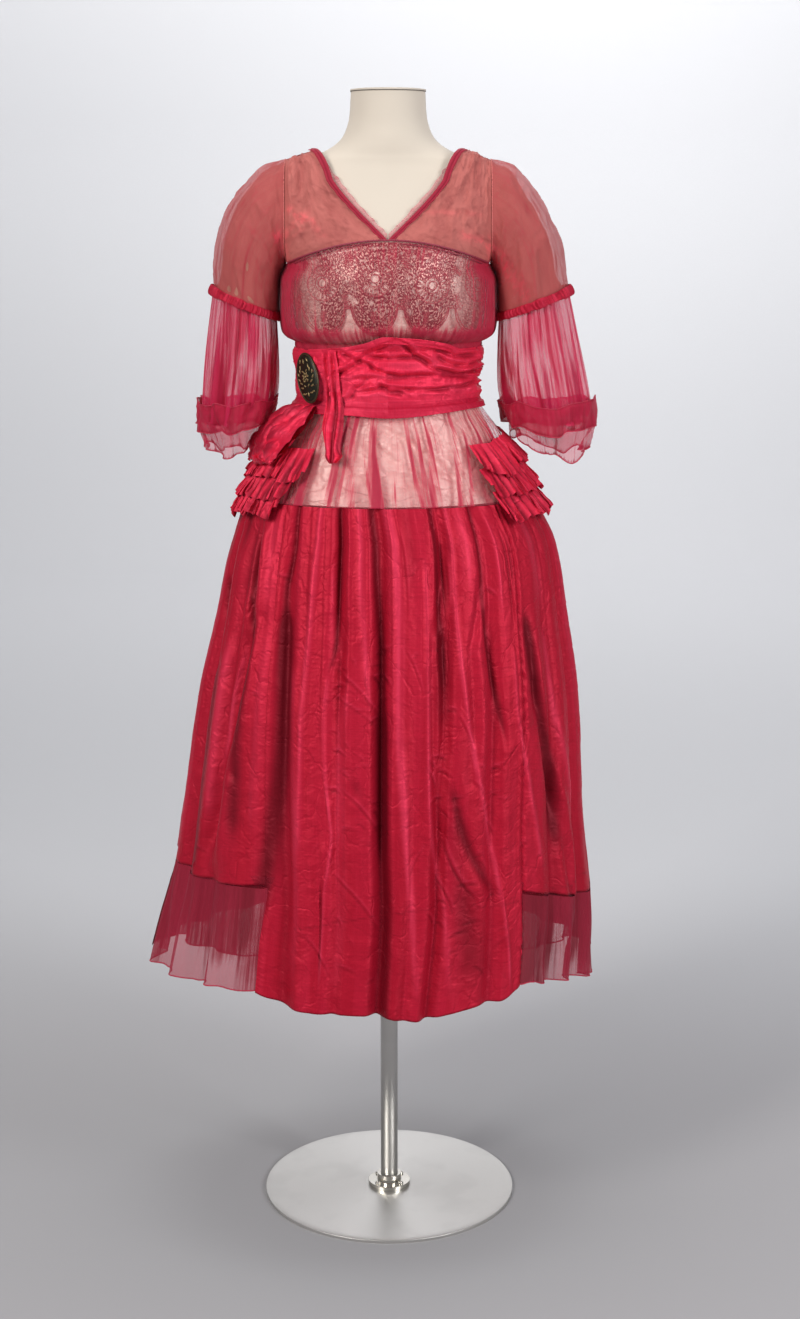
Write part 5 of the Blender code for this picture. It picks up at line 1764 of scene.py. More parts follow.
@dataclass
class SkirtPanels:
    """The four taffeta panels of the skirt."""

    cut: SkirtCut
    seam_left: float = -44.0
    seam_right: float = 46.0
    slit: float = 0.02
    turn_in: float = 0.014
    metres_a_degree: float = 0.0050
    streaks: tuple[Streak, ...] = (
        Streak(-0.9, 1.0, ((-20.0, 1.10), (-20.0, 0.943), (-20.5, 0.882), (-22.5, 0.848))),
        Streak(-1.0, 1.5, ((-7.5, 1.10), (-6.5, 0.97), (-5.0, 0.882), (-4.5, 0.78), (-4.2, 0.60))),
        Streak(-0.8, 2.4, ((-4.5, 0.80), (-4.0, 0.66), (-3.0, 0.541), (-2.0, 0.34))),
        Streak(-0.8, 1.3, ((-38.0, 1.10), (-38.0, 1.018), (-40.5, 0.95), (-40.3, 0.84))),
        Streak(-1.0, 2.8, ((-40.3, 0.93), (-39.5, 0.78), (-42.0, 0.643), (-45.5, 0.50))),
        Streak(-0.9, 1.4, ((-57.0, 1.03), (-56.5, 0.95), (-53.0, 0.88))),
        Streak(-0.9, 2.6, ((-53.0, 0.93), (-52.8, 0.848), (-54.0, 0.74), (-54.2, 0.60))),
        Streak(-0.8, 2.2, ((-80.0, 0.97), (-75.0, 0.89), (-70.0, 0.80), (-70.5, 0.62), (-71.5, 0.44))),
        Streak(-0.7, 2.5, ((-67.0, 1.10), (-68.0, 1.00))),
        Streak(-0.9, 1.3, ((16.2, 1.10), (15.0, 1.018), (15.6, 0.95), (17.5, 0.83))),
        Streak(-0.5, 3.0, ((16.4, 0.92), (17.0, 0.77))),
        Streak(-0.6, 0.7, ((16.6, 1.04), (18.4, 0.92))),
        Streak(-0.8, 1.2, ((33.3, 1.10), (31.0, 1.018), (31.0, 0.95), (33.5, 0.848), (38.0, 0.746))),
        Streak(-0.6, 0.6, ((42.0, 1.04), (43.5, 0.92))),
        Streak(-0.6, 0.6, ((44.5, 1.04), (44.5, 0.95))),
        Streak(-0.6, 2.2, ((49.0, 0.91), (50.0, 0.80))),
        Streak(
            -1.0, 2.2,
            ((49.0, 0.93), (51.5, 0.868), (52.5, 0.814), (55.0, 0.763), (59.0, 0.712), (63.0, 0.58)),
        ),
        Streak(-0.5, 3.0, ((-60.0, 1.05), (-60.0, 0.93))),
        Streak(-0.4, 3.4, ((22.0, 0.66), (25.0, 0.54), (28.0, 0.40))),
        Streak(-0.35, 2.4, ((5.6, 1.08), (5.4, 0.95))),
        Streak(-0.8, 1.5, ((21.0, 0.70), (26.6, 0.61), (31.0, 0.562), (34.0, 0.535))),
        Streak(-0.3, 3.5, ((25.0, 0.56), (31.0, 0.42))),
        Streak(-0.6, 0.7, ((-26.0, 0.57), (-25.0, 0.42))),
        Streak(-0.5, 2.0, ((-15.0, 0.72), (-9.0, 0.66))),
        Streak(0.9, 1.3, ((-26.3, 1.10), (-29.5, 0.95), (-32.2, 0.787), (-34.4, 0.60))),
        Streak(0.6, 1.8, ((-36.3, 0.86), (-35.8, 0.60), (-37.0, 0.42))),
        Streak(0.7, 1.8, ((-15.5, 0.84), (-17.7, 0.76), (-18.0, 0.54), (-18.5, 0.40))),
        Streak(0.6, 0.8, ((-21.5, 1.00), (-21.7, 0.88))),
        Streak(
            0.9, 0.8,
            ((-22.5, 0.85), (-23.7, 0.787), (-23.2, 0.705), (-20.7, 0.623), (-24.3, 0.541), (-25.0, 0.42)),
        ),
        Streak(0.8, 1.2, ((-11.7, 1.10), (-11.8, 0.99), (-10.9, 0.909), (-8.2, 0.80))),
        Streak(
            1.0, 1.9,
            ((-1.6, 1.10), (0.9, 0.95), (1.3, 0.787), (3.8, 0.68), (6.2, 0.582), (8.7, 0.50), (13.0, 0.40)),
        ),
        Streak(
            0.8, 1.0,
            ((10.7, 1.01), (11.3, 0.909), (13.6, 0.705), (15.7, 0.623), (19.8, 0.541), (23.6, 0.40)),
        ),
        Streak(
            0.9, 0.9,
            (
                (21.7, 1.10), (20.6, 0.99), (22.9, 0.868), (27.0, 0.746), (32.8, 0.623), (37.6, 0.50),
                (41.5, 0.40),
            ),
        ),
        Streak(0.7, 2.2, ((25.5, 1.075), (26.5, 0.96))),
        Streak(0.7, 0.8, ((37.7, 1.07), (38.4, 0.93))),
        Streak(0.8, 1.0, ((42.5, 0.88), (42.8, 0.80), (47.3, 0.705), (51.4, 0.623), (54.5, 0.555))),
        Streak(0.9, 1.8, ((59.0, 0.90), (62.0, 0.78), (66.8, 0.705), (71.5, 0.623), (74.5, 0.55))),
        Streak(0.7, 2.0, ((-65.5, 0.88), (-65.0, 0.62))),
        Streak(0.9, 1.0, ((-57.0, 0.87), (-60.0, 0.787), (-61.5, 0.70))),
        Streak(0.6, 2.5, ((-84.0, 1.00), (-82.0, 0.56))),
        Streak(0.5, 3.0, ((-48.0, 1.07), (-47.5, 0.93))),
        Streak(0.5, 2.0, ((-46.0, 0.90), (-47.5, 0.62))),
        Streak(0.6, 3.0, ((56.0, 1.07), (60.0, 0.92))),
        Streak(0.6, 4.0, ((80.0, 1.04), (84.0, 0.56))),
    )
    pleat_count: int = 60
    pleat_depth: float = 0.0016
    pleat_seed: int = 15
    front_hem: tuple[float, ...] = (
        0.400, 0.384, 0.381, 0.380, 0.379, 0.378, 0.374, 0.370, 0.369, 0.377, 0.384, 0.386, 0.400
    )
    side_hem_left: tuple[float, ...] = (0.5420, 0.5370, 0.5465)
    side_hem_right: tuple[float, ...] = (0.5350, 0.5010, 0.4830)
    creases: tuple[Crease, ...] = (
        Crease(-20.7, 0.856, -6.1, 0.794, 0.0055, 0.0034, 0.006),
        Crease(-21.6, 0.819, -6.1, 0.776, 0.0050, 0.0028, 0.005),
        Crease(-17.7, 0.691, -6.0, 0.632, 0.0055, 0.0034, 0.006),
        Crease(-21.5, 0.574, -6.1, 0.496, 0.0060, 0.0032, 0.008),
        Crease(2.9, 0.886, 10.1, 0.821, 0.0050, 0.0028, 0.004),
        Crease(5.5, 0.981, 9.1, 0.994, 0.0040, 0.0018, 0.002),
        Crease(19.4, 0.624, 29.2, 0.530, 0.0060, 0.0034, -0.006),
        Crease(6.6, 0.570, 14.3, 0.616, 0.0050, 0.0026, 0.004),
        Crease(17.3, 0.569, 23.0, 0.515, 0.0050, 0.0030, 0.004),
        Crease(-35.1, 0.490, -20.3, 0.429, 0.0060, 0.0030, 0.008),
        Crease(20.9, 0.801, 27.4, 0.733, 0.0050, 0.0030, 0.004),
        Crease(35.1, 0.659, 42.1, 0.670, 0.0045, 0.0026, 0.003),
        Crease(-35.4, 0.765, -32.8, 0.761, 0.0040, 0.0018, 0.001),
        Crease(-14.5, 0.715, -7.1, 0.725, 0.0040, 0.0022, 0.003),
        Crease(-12.6, 0.830, -12.5, 0.812, 0.0035, 0.0018, 0.001),
        Crease(18.4, 1.007, 19.2, 0.938, 0.0050, 0.0030, 0.001),
        Crease(-19.4, 1.066, -22.5, 0.856, 0.0080, 0.0050, 0.003),
        Crease(-22.5, 0.856, -24.0, 0.620, 0.0090, 0.0030, 0.003),
        Crease(17.4, 1.050, 13.6, 0.885, 0.0080, 0.0060, 0.004),
        Crease(13.6, 0.885, 16.7, 0.630, 0.0090, 0.0060, -0.004),
        Crease(29.8, 0.973, 26.3, 0.880, 0.0070, 0.0040, 0.003),
        Crease(26.3, 0.880, 27.1, 0.700, 0.0080, 0.0040, 0.003),
        Crease(1.1, 1.070, 4.2, 0.930, 0.0060, 0.0020, 0.003),
        *(
            Crease(72.0 + n % 3 * 2, 0.975 - 0.031 * n, 89.0, 0.983 - 0.032 * n, 0.0045, 0.0016, 0.002)
            for n in range(8)
        ),
        Crease(51.6, 0.872, 50.4, 0.754, 0.0080, 0.0040, 0.002),
        Crease(51.7, 0.821, 65.0, 0.613, 0.0100, 0.0080, -0.010),
        Crease(65.0, 0.613, 68.0, 0.483, 0.0100, 0.0070, 0.003),
        Crease(-58.0, 1.050, -55.0, 0.918, 0.0130, 0.0120, 0.004),
        Crease(-55.0, 0.918, -60.5, 0.700, 0.0140, 0.0150, 0.004),
        Crease(-60.5, 0.700, -66.7, 0.549, 0.0130, 0.0100, 0.004),
    )

    stitches: tuple[tuple[float, ...], ...] = (
        (-40, -36.3, -16.8, -4.1, 20.3, 33.9, 47.6),
        (0.2, 0.495, 0.509, 0.522, 0.526, 0.521, 0.523),
    )
    soft_width: float = 0.0065
    sharp_width: float = 0.0040
    small_count: int = 96
    small_areas: tuple[tuple[float, float, float, float], ...] = (
        (-22, -3, 0.62, 0.88),
        (14, 38, 0.46, 0.74),
        (-76, 76, 0.42, 0.98),
        (-76, 76, 0.42, 0.98),
    )

    def sharpened(self) -> list[Crease]:
        """The placed creases, the narrow ones pressed sharp as taffeta holds them.

        Returns:
            The creases.
        """
        made = []
        for crease in self.creases:
            if crease.width < self.soft_width:
                crease = crease._replace(width=0.42 * crease.width, depth=0.26 * crease.depth)
            made.append(crease)
        return made

    def behind(self, crease: Crease) -> Crease:
        """A like crease on the back panel, a little lower.

        Args:
            crease: The front crease.

        Returns:
            The crease behind.
        """
        start, end = 174.0 - 2.1 * crease.angle_from, 174.0 - 2.1 * crease.angle_to
        return crease._replace(
            angle_from=start,
            height_from=crease.height_from - 0.02,
            angle_to=end,
            height_to=crease.height_to - 0.02,
        )

    def small_creases(self) -> list[Crease]:
        """Short slanting creases, most of them low in the middle of the front.

        Returns:
            The creases.
        """
        draw = np.random.default_rng(self.pleat_seed + 1)
        made = []
        for number in range(self.small_count):
            first, last, low, high = self.small_areas[number % 4]
            thread, height = draw.uniform(first, last), draw.uniform(low, high)
            length, slope = draw.uniform(0.010, 0.034), draw.uniform(-1.1, 0.7)
            aside, up = length * math.cos(slope) / self.metres_a_degree, length * math.sin(slope)
            deep = draw.uniform(0.0004, 0.0010)
            start, end = (thread - aside / 2, height - up / 2), (thread + aside / 2, height + up / 2)
            made.append(Crease(*start, *end, 0.0023, deep, 0.002))
        return made

    def pleats(self, threads: Array, fall: Array) -> Array:
        """Long pressed pleats from the gathered seam, each steep on one side and fading at its own length.

        Args:
            threads: Thread of each point, by its angle at the seam.
            fall: How far down the skirt each point is, from 0 to 1.

        Returns:
            The push at each point, negative in a pleat.
        """
        draw = np.random.default_rng(self.pleat_seed)
        count = self.pleat_count
        push = np.zeros(np.broadcast(threads, fall).shape)
        middles = -180 + 360 * (np.arange(count) + draw.uniform(0.1, 0.9, count)) / count
        for middle in middles:
            steep, gentle = draw.uniform(0.4, 0.9), draw.uniform(1.8, 4.6)
            aside = facing(threads - middle) * draw.choice((-1.0, 1.0))
            width = np.where(aside < 0, steep, gentle) * (1 + 0.5 * fall)
            reach, deep, foot = draw.uniform(0.10, 0.90), draw.uniform(0.4, 1.0), draw.uniform(0.05, 0.5)
            life = 1 - (1 - foot) * eased(fall, 0.6 * reach, reach + 0.15)
            push = push - self.pleat_depth * deep * life * bell(aside, width)
        return push

    def streaked(self, threads: Array, heights: Array) -> tuple[Array, Array]:
        """How lit and how dark the long ridges and valleys make each place, from 0 up.

        Args:
            threads: Thread of each point, by its angle at the seam.
            heights: Height of each point.

        Returns:
            How lit and how dark each point is.
        """
        lit, dark = np.zeros(heights.shape), np.zeros(heights.shape)
        for streak in self.streaks:
            spots, levels = np.array(streak.line)[::-1].T
            centre = smooth_curve(levels, spots, heights)
            span = eased(heights, levels[0] - 0.02, levels[0] + 0.04)
            span = span * (1 - eased(heights, levels[-1] - 0.03, levels[-1] + 0.01))
            for shift in (0.0, 180.0):
                aside = facing(threads - centre - shift)
                mark = abs(streak.strength) * bell(aside, streak.width) * span
                if streak.strength > 0:
                    lit += mark
                else:
                    dark += mark
        return lit, dark

    def relief(self, threads: Array, heights: Array) -> Array:
        """How far the small folds, creases and puckers push the taffeta out.

        Args:
            threads: Thread of each point, by its angle at the seam.
            heights: Height of each point.

        Returns:
            The push at each point, in metres.
        """
        fall = self.cut.fall(heights)
        across = threads * self.metres_a_degree
        push = crease_field(self.sharpened(), threads, heights, self.metres_a_degree)
        behind = [self.behind(crease) for crease in self.creases[:22]]
        push = push + crease_field(behind, threads % 360.0, heights, self.metres_a_degree)
        push = push + self.pleats(threads, fall)
        push = push + 0.0026 * Crumple(21).soft(across / 0.046, heights / 0.30) * eased(fall, 0.05, 0.4)
        push = push + crease_field(self.small_creases(), threads, heights, self.metres_a_degree)
        lit, dark = self.streaked(threads, heights)
        push = push + 0.0022 * lit - 0.0040 * dark
        crushed = Crumple(23).creased(across / 0.060, heights / 0.070) - 0.5
        push = push + 0.0012 * crushed * eased(fall, 0.15, 0.5)
        push = push + 0.0005 * (Crumple(25).creased(across / 0.022, heights / 0.026) - 0.5)
        for seam, strength in ((self.seam_right, 1.0), (self.seam_left, 0.15)):
            wander = 9.0 * Crumple(31).soft(heights / 0.045, threads / 3.0)
            drawn = np.sin(2 * math.pi * heights / 0.017 + wander)
            uneven = 0.25 + 1.5 * Crumple(33).soft(heights / 0.035, threads / 6.0) ** 2
            push = push + 0.0010 * strength * drawn * bell(threads - seam, 2.2) * uneven
            push = push - 0.0026 * strength * bell(threads - seam, 0.7)
        return push

    def panel(
        self, name: str, start: float, end: float, hem: Sequence[float], columns: int, rows: int
    ) -> Sheet:
        """One panel from the yoke seam to its hem, which is turned in.

        Args:
            name: Its name.
            start: Thread of its first edge.
            end: Thread of its last edge.
            hem: Heights of its hem, spaced evenly across.
            columns: How many points across.
            rows: How many points down.

        Returns:
            The panel.
        """
        share, part = strip_grid(columns, rows)
        foot = np.full(share.shape, hem[0])
        if len(hem) > 1:
            foot = smooth_curve(np.linspace(0, 1, len(hem)), hem, share)
        heights = self.cut.seam - 0.0003 + (foot - self.cut.seam + 0.0003) * part
        threads = np.broadcast_to(np.linspace(start, end, columns), heights.shape)
        push = self.relief(threads, heights)
        body = self.cut.point(threads, heights, push)
        lit, dark = self.streaked(threads, heights)
        fall = self.cut.fall(heights)
        placed = [crease for crease in self.sharpened() if crease.width < self.sharp_width]
        small = crease_field(self.small_creases() + placed, threads, heights, self.metres_a_degree)
        # Painted shade in the big folds, along the dark streaks and in the small creases, and a little
        # towards the hem; the same mark also draws a darker line along the hem's stitching.
        painted_shade = 0.25 * np.clip(self.cut.sink(threads, heights) / 0.0130, 0, 1) + 0.85 * dark
        painted_shade = painted_shade + 0.50 * np.clip(-small / 0.0012, 0, 1) + 0.08 * eased(fall, 0.55, 1.0)
        stitches = np.interp(threads, *self.stitches)
        painted_shade = np.clip(np.maximum(painted_shade, 0.45 * bell(heights - stitches, 0.0020)), 0, 1)
        # Painted highlight on the lit streaks and on the ridges beside the small creases, and a little
        # towards the top.
        grain = 0.7 + 0.3 * Crumple(27).soft(threads / 1.1, heights / 0.11)
        painted_highlight = 0.80 * lit * grain + 0.40 * np.clip(small / 0.0005, 0, 1) + 0.10 * (1 - fall)
        painted_highlight = np.clip(painted_highlight, 0, 1)
        turned = []
        for inwards, up in ((0.0009, 0.0004), (0.0016, 0.0018), (0.0018, 0.006), (0.0018, self.turn_in)):
            turned.append(self.cut.point(threads[-1:], heights[-1:] + up, push[-1:] - inwards))
        marks = {
            mark: np.concatenate([values, np.repeat(values[-1:], len(turned), axis=0)])
            for mark, values in (("painted_shade", painted_shade), ("painted_highlight", painted_highlight))
        }
        return Sheet(name, np.concatenate([body, *turned]), False, marks)

    def build(self) -> list[tuple[Sheet, str]]:
        """The panels, each with the solid that it stands for.

        Returns:
            Each panel with its solid's name.
        """
        gap = self.slit
        front = self.panel(
            "front_panel", self.seam_left + gap, self.seam_right - gap, self.front_hem, 290, 230
        )
        left = self.panel("side_panel_left", -100 + gap, self.seam_left - gap, self.side_hem_left, 120, 150)
        right = self.panel(
            "side_panel_right", self.seam_right + gap, 100 - gap, self.side_hem_right, 120, 150
        )
        back = self.panel("back_panel", 100 + gap, 260 - gap, (self.cut.hem,), 180, 112)
        nodes = ("skirt_front_panel", "skirt_side_left", "skirt_side_right", "skirt_back")
        return list(zip((front, left, right, back), nodes))

    def dress(self, wardrobe: Wardrobe) -> None:
        """Hangs the panels in crimson taffeta."""
        for sheet, node in self.build():
            wardrobe.cloth(sheet, Taffeta(), [node])


@dataclass
class SkirtYoke:
    """The sheer gathered yoke of the skirt over its pale silk lining."""

    top: float = 1.206
    bottom: float = 1.0733
    lining_bottom: float = 1.073
    streaks: tuple[FourSizes, ...] = (
        (-43.0, -46.0, 1.2, 0.7),
        (-38.0, -38.0, 1.6, 0.6),
        (-23.0, -24.0, 1.0, 0.6),
        (-18.4, -14.8, 2.4, 0.9),
        (-10.8, -4.4, 2.8, 1.0),
        (0.6, 2.8, 0.8, 0.5),
        (8.5, 13.0, 1.4, 0.8),
        (14.4, 17.6, 0.8, 0.6),
        (21.0, 18.0, 2.2, 0.9),
        (38.5, 28.5, 1.6, 0.8),
        (47.0, 34.0, 1.4, 0.8),
        (55.6, 47.4, 1.8, 0.8),
    )

    def sheer(self) -> Sheet:
        """The gathered chiffon, densest where its folds double it.

        Returns:
            The sheet of cloth.
        """
        angles, part = ring_grid(440, 38)
        heights = self.top + (self.bottom - self.top) * part
        fine = Gathers(96, 41, 0.0022, (0.25, 0.9, 0.8, 0.5), 0.34, 0.9, True).push(angles / 360.0, part)
        turned = facing(angles)
        push, dense = fine, np.zeros(fine.shape)
        for start, end, width, strength in self.streaks:
            for shift in (0.0, 180.0):
                aside = facing(turned - (start + (end - start) * part) - shift)
                mark = strength * bell(aside, 0.80 * width) * (0.75 + 0.25 * np.cos(5 * part + start))
                dense = dense + mark
                push = push - 0.0030 * mark
        fan = np.clip(np.abs(np.sin(np.radians(turned))) - 0.35, 0, 1)
        thin = Crumple(43).creased(turned / 1.9, part * 1.3)
        wander = angles / 360.0 + 0.004 * Crumple(46).soft(angles / 14.0, part * 2.2)
        lines = -Gathers(100, 45, 1.0, (0.6, 1.0, 0.9, 0.6), 0.25, 1.8, True).push(wander, part)
        dense = (
            dense * (0.8 + 0.6 * lines) + 0.60 * lines + 0.8 * thin**2 * (0.25 + fan)
            + walls(fine, SKIRT_PITCH, 0.5)
        )
        points = SKIRT.place(heights, angles, push * eased(part, -0.05, 0.2))
        return Sheet("sheer_yoke", points, True, {"fullness": np.clip(dense, 0, 1.1)})

    def silk(self) -> Sheet:
        """The lining, crushed into small facets, its lower edge at the seam of the panels.

        Returns:
            The sheet of cloth.
        """
        angles, part = ring_grid(220, 46)
        turned, heights = np.broadcast_arrays(
            facing(angles), self.top + (self.lining_bottom - self.top) * part
        )
        crush = Crumple(51).creased(angles / 7.5, heights / 0.016) - 0.5
        wide = Crumple(52).soft(angles / 22.5, heights / 0.05)
        slant = crease_field(
            (
                Crease(-14.0, 1.165, 8.0, 1.118, 0.006, 0.003, 0.004),
                Crease(-6.0, 1.180, 20.0, 1.142, 0.005, 0.003, 0.004),
                Crease(12.0, 1.150, 34.0, 1.105, 0.006, 0.003, 0.005),
                Crease(-36.0, 1.150, -16.0, 1.110, 0.006, 0.003, 0.004),
                Crease(-2.0, 1.120, 24.0, 1.085, 0.006, 0.003, 0.004),
            ),
            turned,
            heights,
            0.0026,
        )
        push = (0.0014 * crush + 0.0022 * wide + 1.6 * slant - 0.0012) * eased(part, -0.02, 0.12)
        return Sheet("yoke_lining", LINING.place(heights, angles, np.clip(push, -0.006, 0.002)), True)

    def dress(self, wardrobe: Wardrobe) -> None:
        """Hangs the lining and the chiffon over it.

        Args:
            wardrobe: Puts the pieces in the scene.
        """
        sheer = Chiffon("yoke_chiffon", (0.850, 0.110, 0.160), (0.420, 0.012, 0.046), 0.24, 0.95)
        wardrobe.cloth(self.silk(), LiningSilk(), ["skirt_lining"])
        wardrobe.cloth(self.sheer(), sheer, ["skirt_yoke"])


@dataclass
class HemBands:
    """The gathered sheer bands below the side panels, with a darker shorter band inside each."""

    cut: SkirtCut
    panels: SkirtPanels
    feet_left: tuple[float, ...] = (0.381, 0.388, 0.405)
    feet_right: tuple[float, ...] = (0.406, 0.376, 0.338)
    inner_foot: float = 0.424
    columns: int = 140
    rows: int = 50

    def hem(self, side: Side, share: Array) -> Array:
        """Height of the taffeta's hem above a band."""
        heights = self.panels.side_hem_left if side is Side.LEFT else self.panels.side_hem_right
        return smooth_curve(np.linspace(0, 1, len(heights)), heights, share)

    def outer(self, side: Side) -> Sheet:
        """The sheer band, dense where it laps behind the front panel.

        Args:
            side: Which side of the dress it is for.

        Returns:
            The sheet of cloth.
        """
        left = side is Side.LEFT
        share, part = strip_grid(self.columns, self.rows)
        back = share if left else 1 - share
        above = self.hem(side, share)
        foot = smooth_curve(np.linspace(0, 1, 3), self.feet_left if left else self.feet_right, share)
        fold = Gathers(13, 61 + side.value, 0.0165, (0.06, 0.35, 0.8, 1.0), 0.36, 0.5).push(share, part)
        fine = Gathers(44, 63 + side.value, 0.0022, (0.8, 0.9, 0.5, 0.3), 0.32, 0.8).push(share, part)
        wave = 0.0035 * Crumple(65).soft(share * 9.0, 0.0) * part
        heights = above - 0.0006 + (foot + 0.001 - above) * part + wave
        strips = eased(Crumple(67 + side.value).soft(share * 8.0, part * 0.5), -0.10, 0.20)
        lines = -Gathers(60, 69 + side.value, 1.0, (1.0, 0.9, 0.7), 0.20, 1.0).push(share, part)
        near = eased(back, 0.83, 0.90)
        dense = 0.05 + 0.45 * strips + 0.16 * lines + walls(fold, SKIRT_PITCH, 0.4) + 0.60 * near
        dense = dense + (0.0 if left else 0.30) - 0.20 * eased(part, 0.55, 1.0)
        out = (fold + fine) * (1 - 0.6 * near) - 0.0075 * eased(back, 0.945, 0.985)
        points = self.cut.point(self.threads(side, share), heights, out)
        return Sheet(f"sheer_hem_{side.label}", points, False, {"fullness": np.clip(dense, 0, 1)})

    def inner(self, side: Side) -> Sheet:
        """The darker band inside, hung from within the panel and only partly there.

        Args:
            side: Which side of the dress it is for.

        Returns:
            The sheet of cloth.
        """
        left = side is Side.LEFT
        share, part = strip_grid(self.columns, self.rows)
        above = self.hem(side, share)
        drop = smooth_curve([0, 0.25, 1], [0.016, -0.030, 0], part)
        low = self.inner_foot + 0.018 * (share if left else 1 - share)
        below = above - 0.030 + (low - above + 0.030) * (part - 0.25) / 0.75
        heights = np.where(part < 0.25, above + drop, below)
        out = smooth_curve([0, 0.3, 1], [-0.0026, -0.0105, -0.0200], part)
        fold = 0.5 * Gathers(10, 71 + side.value, 0.0120, (0.0, 0.4, 1.0), 0.36, 0.5).push(share, part)
        heights = heights + 0.004 * Crumple(73).soft(share * 7.0, 0.0) * part
        span = np.zeros(share.shape)
        for first, last in ((0.30, 0.84),) if left else ((0.20, 0.35), (0.45, 0.98)):
            rise, end = eased(share, first - 0.02, first + 0.02), eased(share, last - 0.02, last + 0.02)
            span = span + rise * (1 - end)
        dense = (0.75 + walls(fold, SKIRT_PITCH, 0.7)) * span
        points = self.cut.point(self.threads(side, share), heights, out + fold)
        return Sheet(f"under_hem_{side.label}", points, False, {"fullness": np.clip(dense, 0, 1)})

    def threads(self, side: Side, share: Array) -> Array:
        """The threads that a band hangs on."""
        start, end = (-99.88, -41.5) if side is Side.LEFT else (43.5, 99.88)
        return start + (end - start) * share

    def dress(self, wardrobe: Wardrobe) -> None:
        """Hangs the bands with their rolled hems.

        Args:
            wardrobe: Puts the pieces in the scene.
        """
        light = Chiffon("hem_chiffon", (0.420, 0.018, 0.050), (0.200, 0.004, 0.017), 0.66, 0.98)
        dark = Chiffon("under_chiffon", (0.230, 0.008, 0.026), (0.170, 0.003, 0.015), 0.16, 0.98)
        for side in Side:
            held_by = [f"side_panel_{side.label}"]
            for sheet, kind, node in (
                (self.outer(side), light, "chiffon_hem"),
                (self.inner(side), dark, "chiffon_inner"),
            ):
                roll = wardrobe.cords(f"{sheet.name}_roll", [(sheet.points[-1], 0.0009, False)], ROLLED_HEM)
                wardrobe.cloth(sheet, kind, [f"{node}_{side.label}"])


@dataclass
class HipRuffles:
    """Three pleated taffeta ruffles on each hip, each flaring over the seam of the next."""

    drop: float = 0.041
    gap: float = 0.0020
    wave: float = 0.0070
    pleats: int = 15
    columns: int = 250
    rows: int = 20
    rows_right: tuple[RuffleRow, ...] = (
        RuffleRow(42.0, 104.0, 1.152, 1.170, 0.0140),
        RuffleRow(43.0, 107.0, 1.122, 1.135, 0.0140),
        RuffleRow(46.0, 106.0, 1.092, 1.103, 0.0115),
    )
    rows_left: tuple[RuffleRow, ...] = (
        RuffleRow(-37.0, -104.0, 1.152, 1.142, 0.0105),
        RuffleRow(-41.0, -107.0, 1.125, 1.115, 0.0105),
        RuffleRow(-46.0, -106.0, 1.099, 1.090, 0.0080),
    )

    def ruffle(self, name: str, row: RuffleRow, seed: int) -> Sheet:
        """One ruffle, pressed into narrow pleats that open towards its edge.

        Args:
            name: Its name.
            row: Its seam and flare.
            seed: Which pleats it has.

        Returns:
            The sheet of cloth.
        """
        share, part = strip_grid(self.columns, self.rows)
        draw = np.random.default_rng(seed)
        count = self.pleats + 1
        pitch = np.cumsum(draw.uniform(0.35, 1.85, self.pleats))
        turn = np.interp(share, np.concatenate([[0.0], pitch / pitch[-1]]), np.arange(count))
        strength = np.interp(share, np.linspace(0, 1, count), draw.uniform(0.45, 1.35, count))
        slant = 0.35 * Crumple(seed + 7).soft(share * 9, 0.0) * part
        ridge = (0.5 - 0.5 * np.cos(2 * math.pi * (turn + slant + 0.12 * np.sin(2 * math.pi * turn)))) ** 0.8
        lean = 0.35 * Crumple(seed).soft(share * 8, part * 1.2)
        open_out = eased(part, 0.0, 0.85)
        out = self.gap + row.flare * (0.12 + 0.88 * part**1.2) * eased(part, -0.3, 0.3)
        out = out + self.wave * strength * ridge * (0.28 + 0.72 * open_out)
        out = out + 0.0024 * Crumple(seed + 1).soft(share * 34, part * 2.5) * part
        out = out + 0.0026 * (Crumple(seed + 3).creased(share * 22, part * 2.0) - 0.5) * open_out
        knife = 0.021 * np.sin(2 * math.pi * (turn + slant)) * strength * open_out
        sewn = eased(share, 0.0, 0.05) * eased(1 - share, 0.0, 0.05)
        angles = row.front + (row.back - row.front) * (share + 0.010 * lean * part + knife * sewn)
        top = row.front_height + (row.back_height - row.front_height) * share
        top = top + 0.0022 * Crumple(seed + 2).soft(share * 12, 0.0)
        ragged = 0.0065 * Crumple(seed + 5).soft(share * 11, 0.0) + 0.0055 * (ridge * strength - 0.5)
        ends = 0.65 + 0.35 * eased(share, 0.0, 0.07)
        heights = top - (self.drop * ends - ragged) * part
        # Painted shade between the pleats, deepest in the gaps and strongest towards the edge.
        painted_shade = 0.95 * (1 - ridge) ** 1.6 * eased(part, 0.0, 0.4)
        return Sheet(name, SKIRT.place(heights, angles, out), False, {"painted_shade": painted_shade})

    def dress(self, wardrobe: Wardrobe) -> None:
        """Sews the ruffles on.

        Args:
            wardrobe: Puts the pieces in the scene.
        """
        kind = Taffeta("ruffle_taffeta", (0.700, 0.018, 0.055), (0.86, 0.05, 0.11))
        for side, rows in ((Side.RIGHT, self.rows_right), (Side.LEFT, self.rows_left)):
            for number, row in enumerate(rows, 1):
                place = f"{side.label}_{number}"
                sheet = self.ruffle(f"ruffle_{place}", row, 80 + 10 * number + side.value)
                wardrobe.cloth(sheet, kind, [f"hip_ruffle_{place}"])


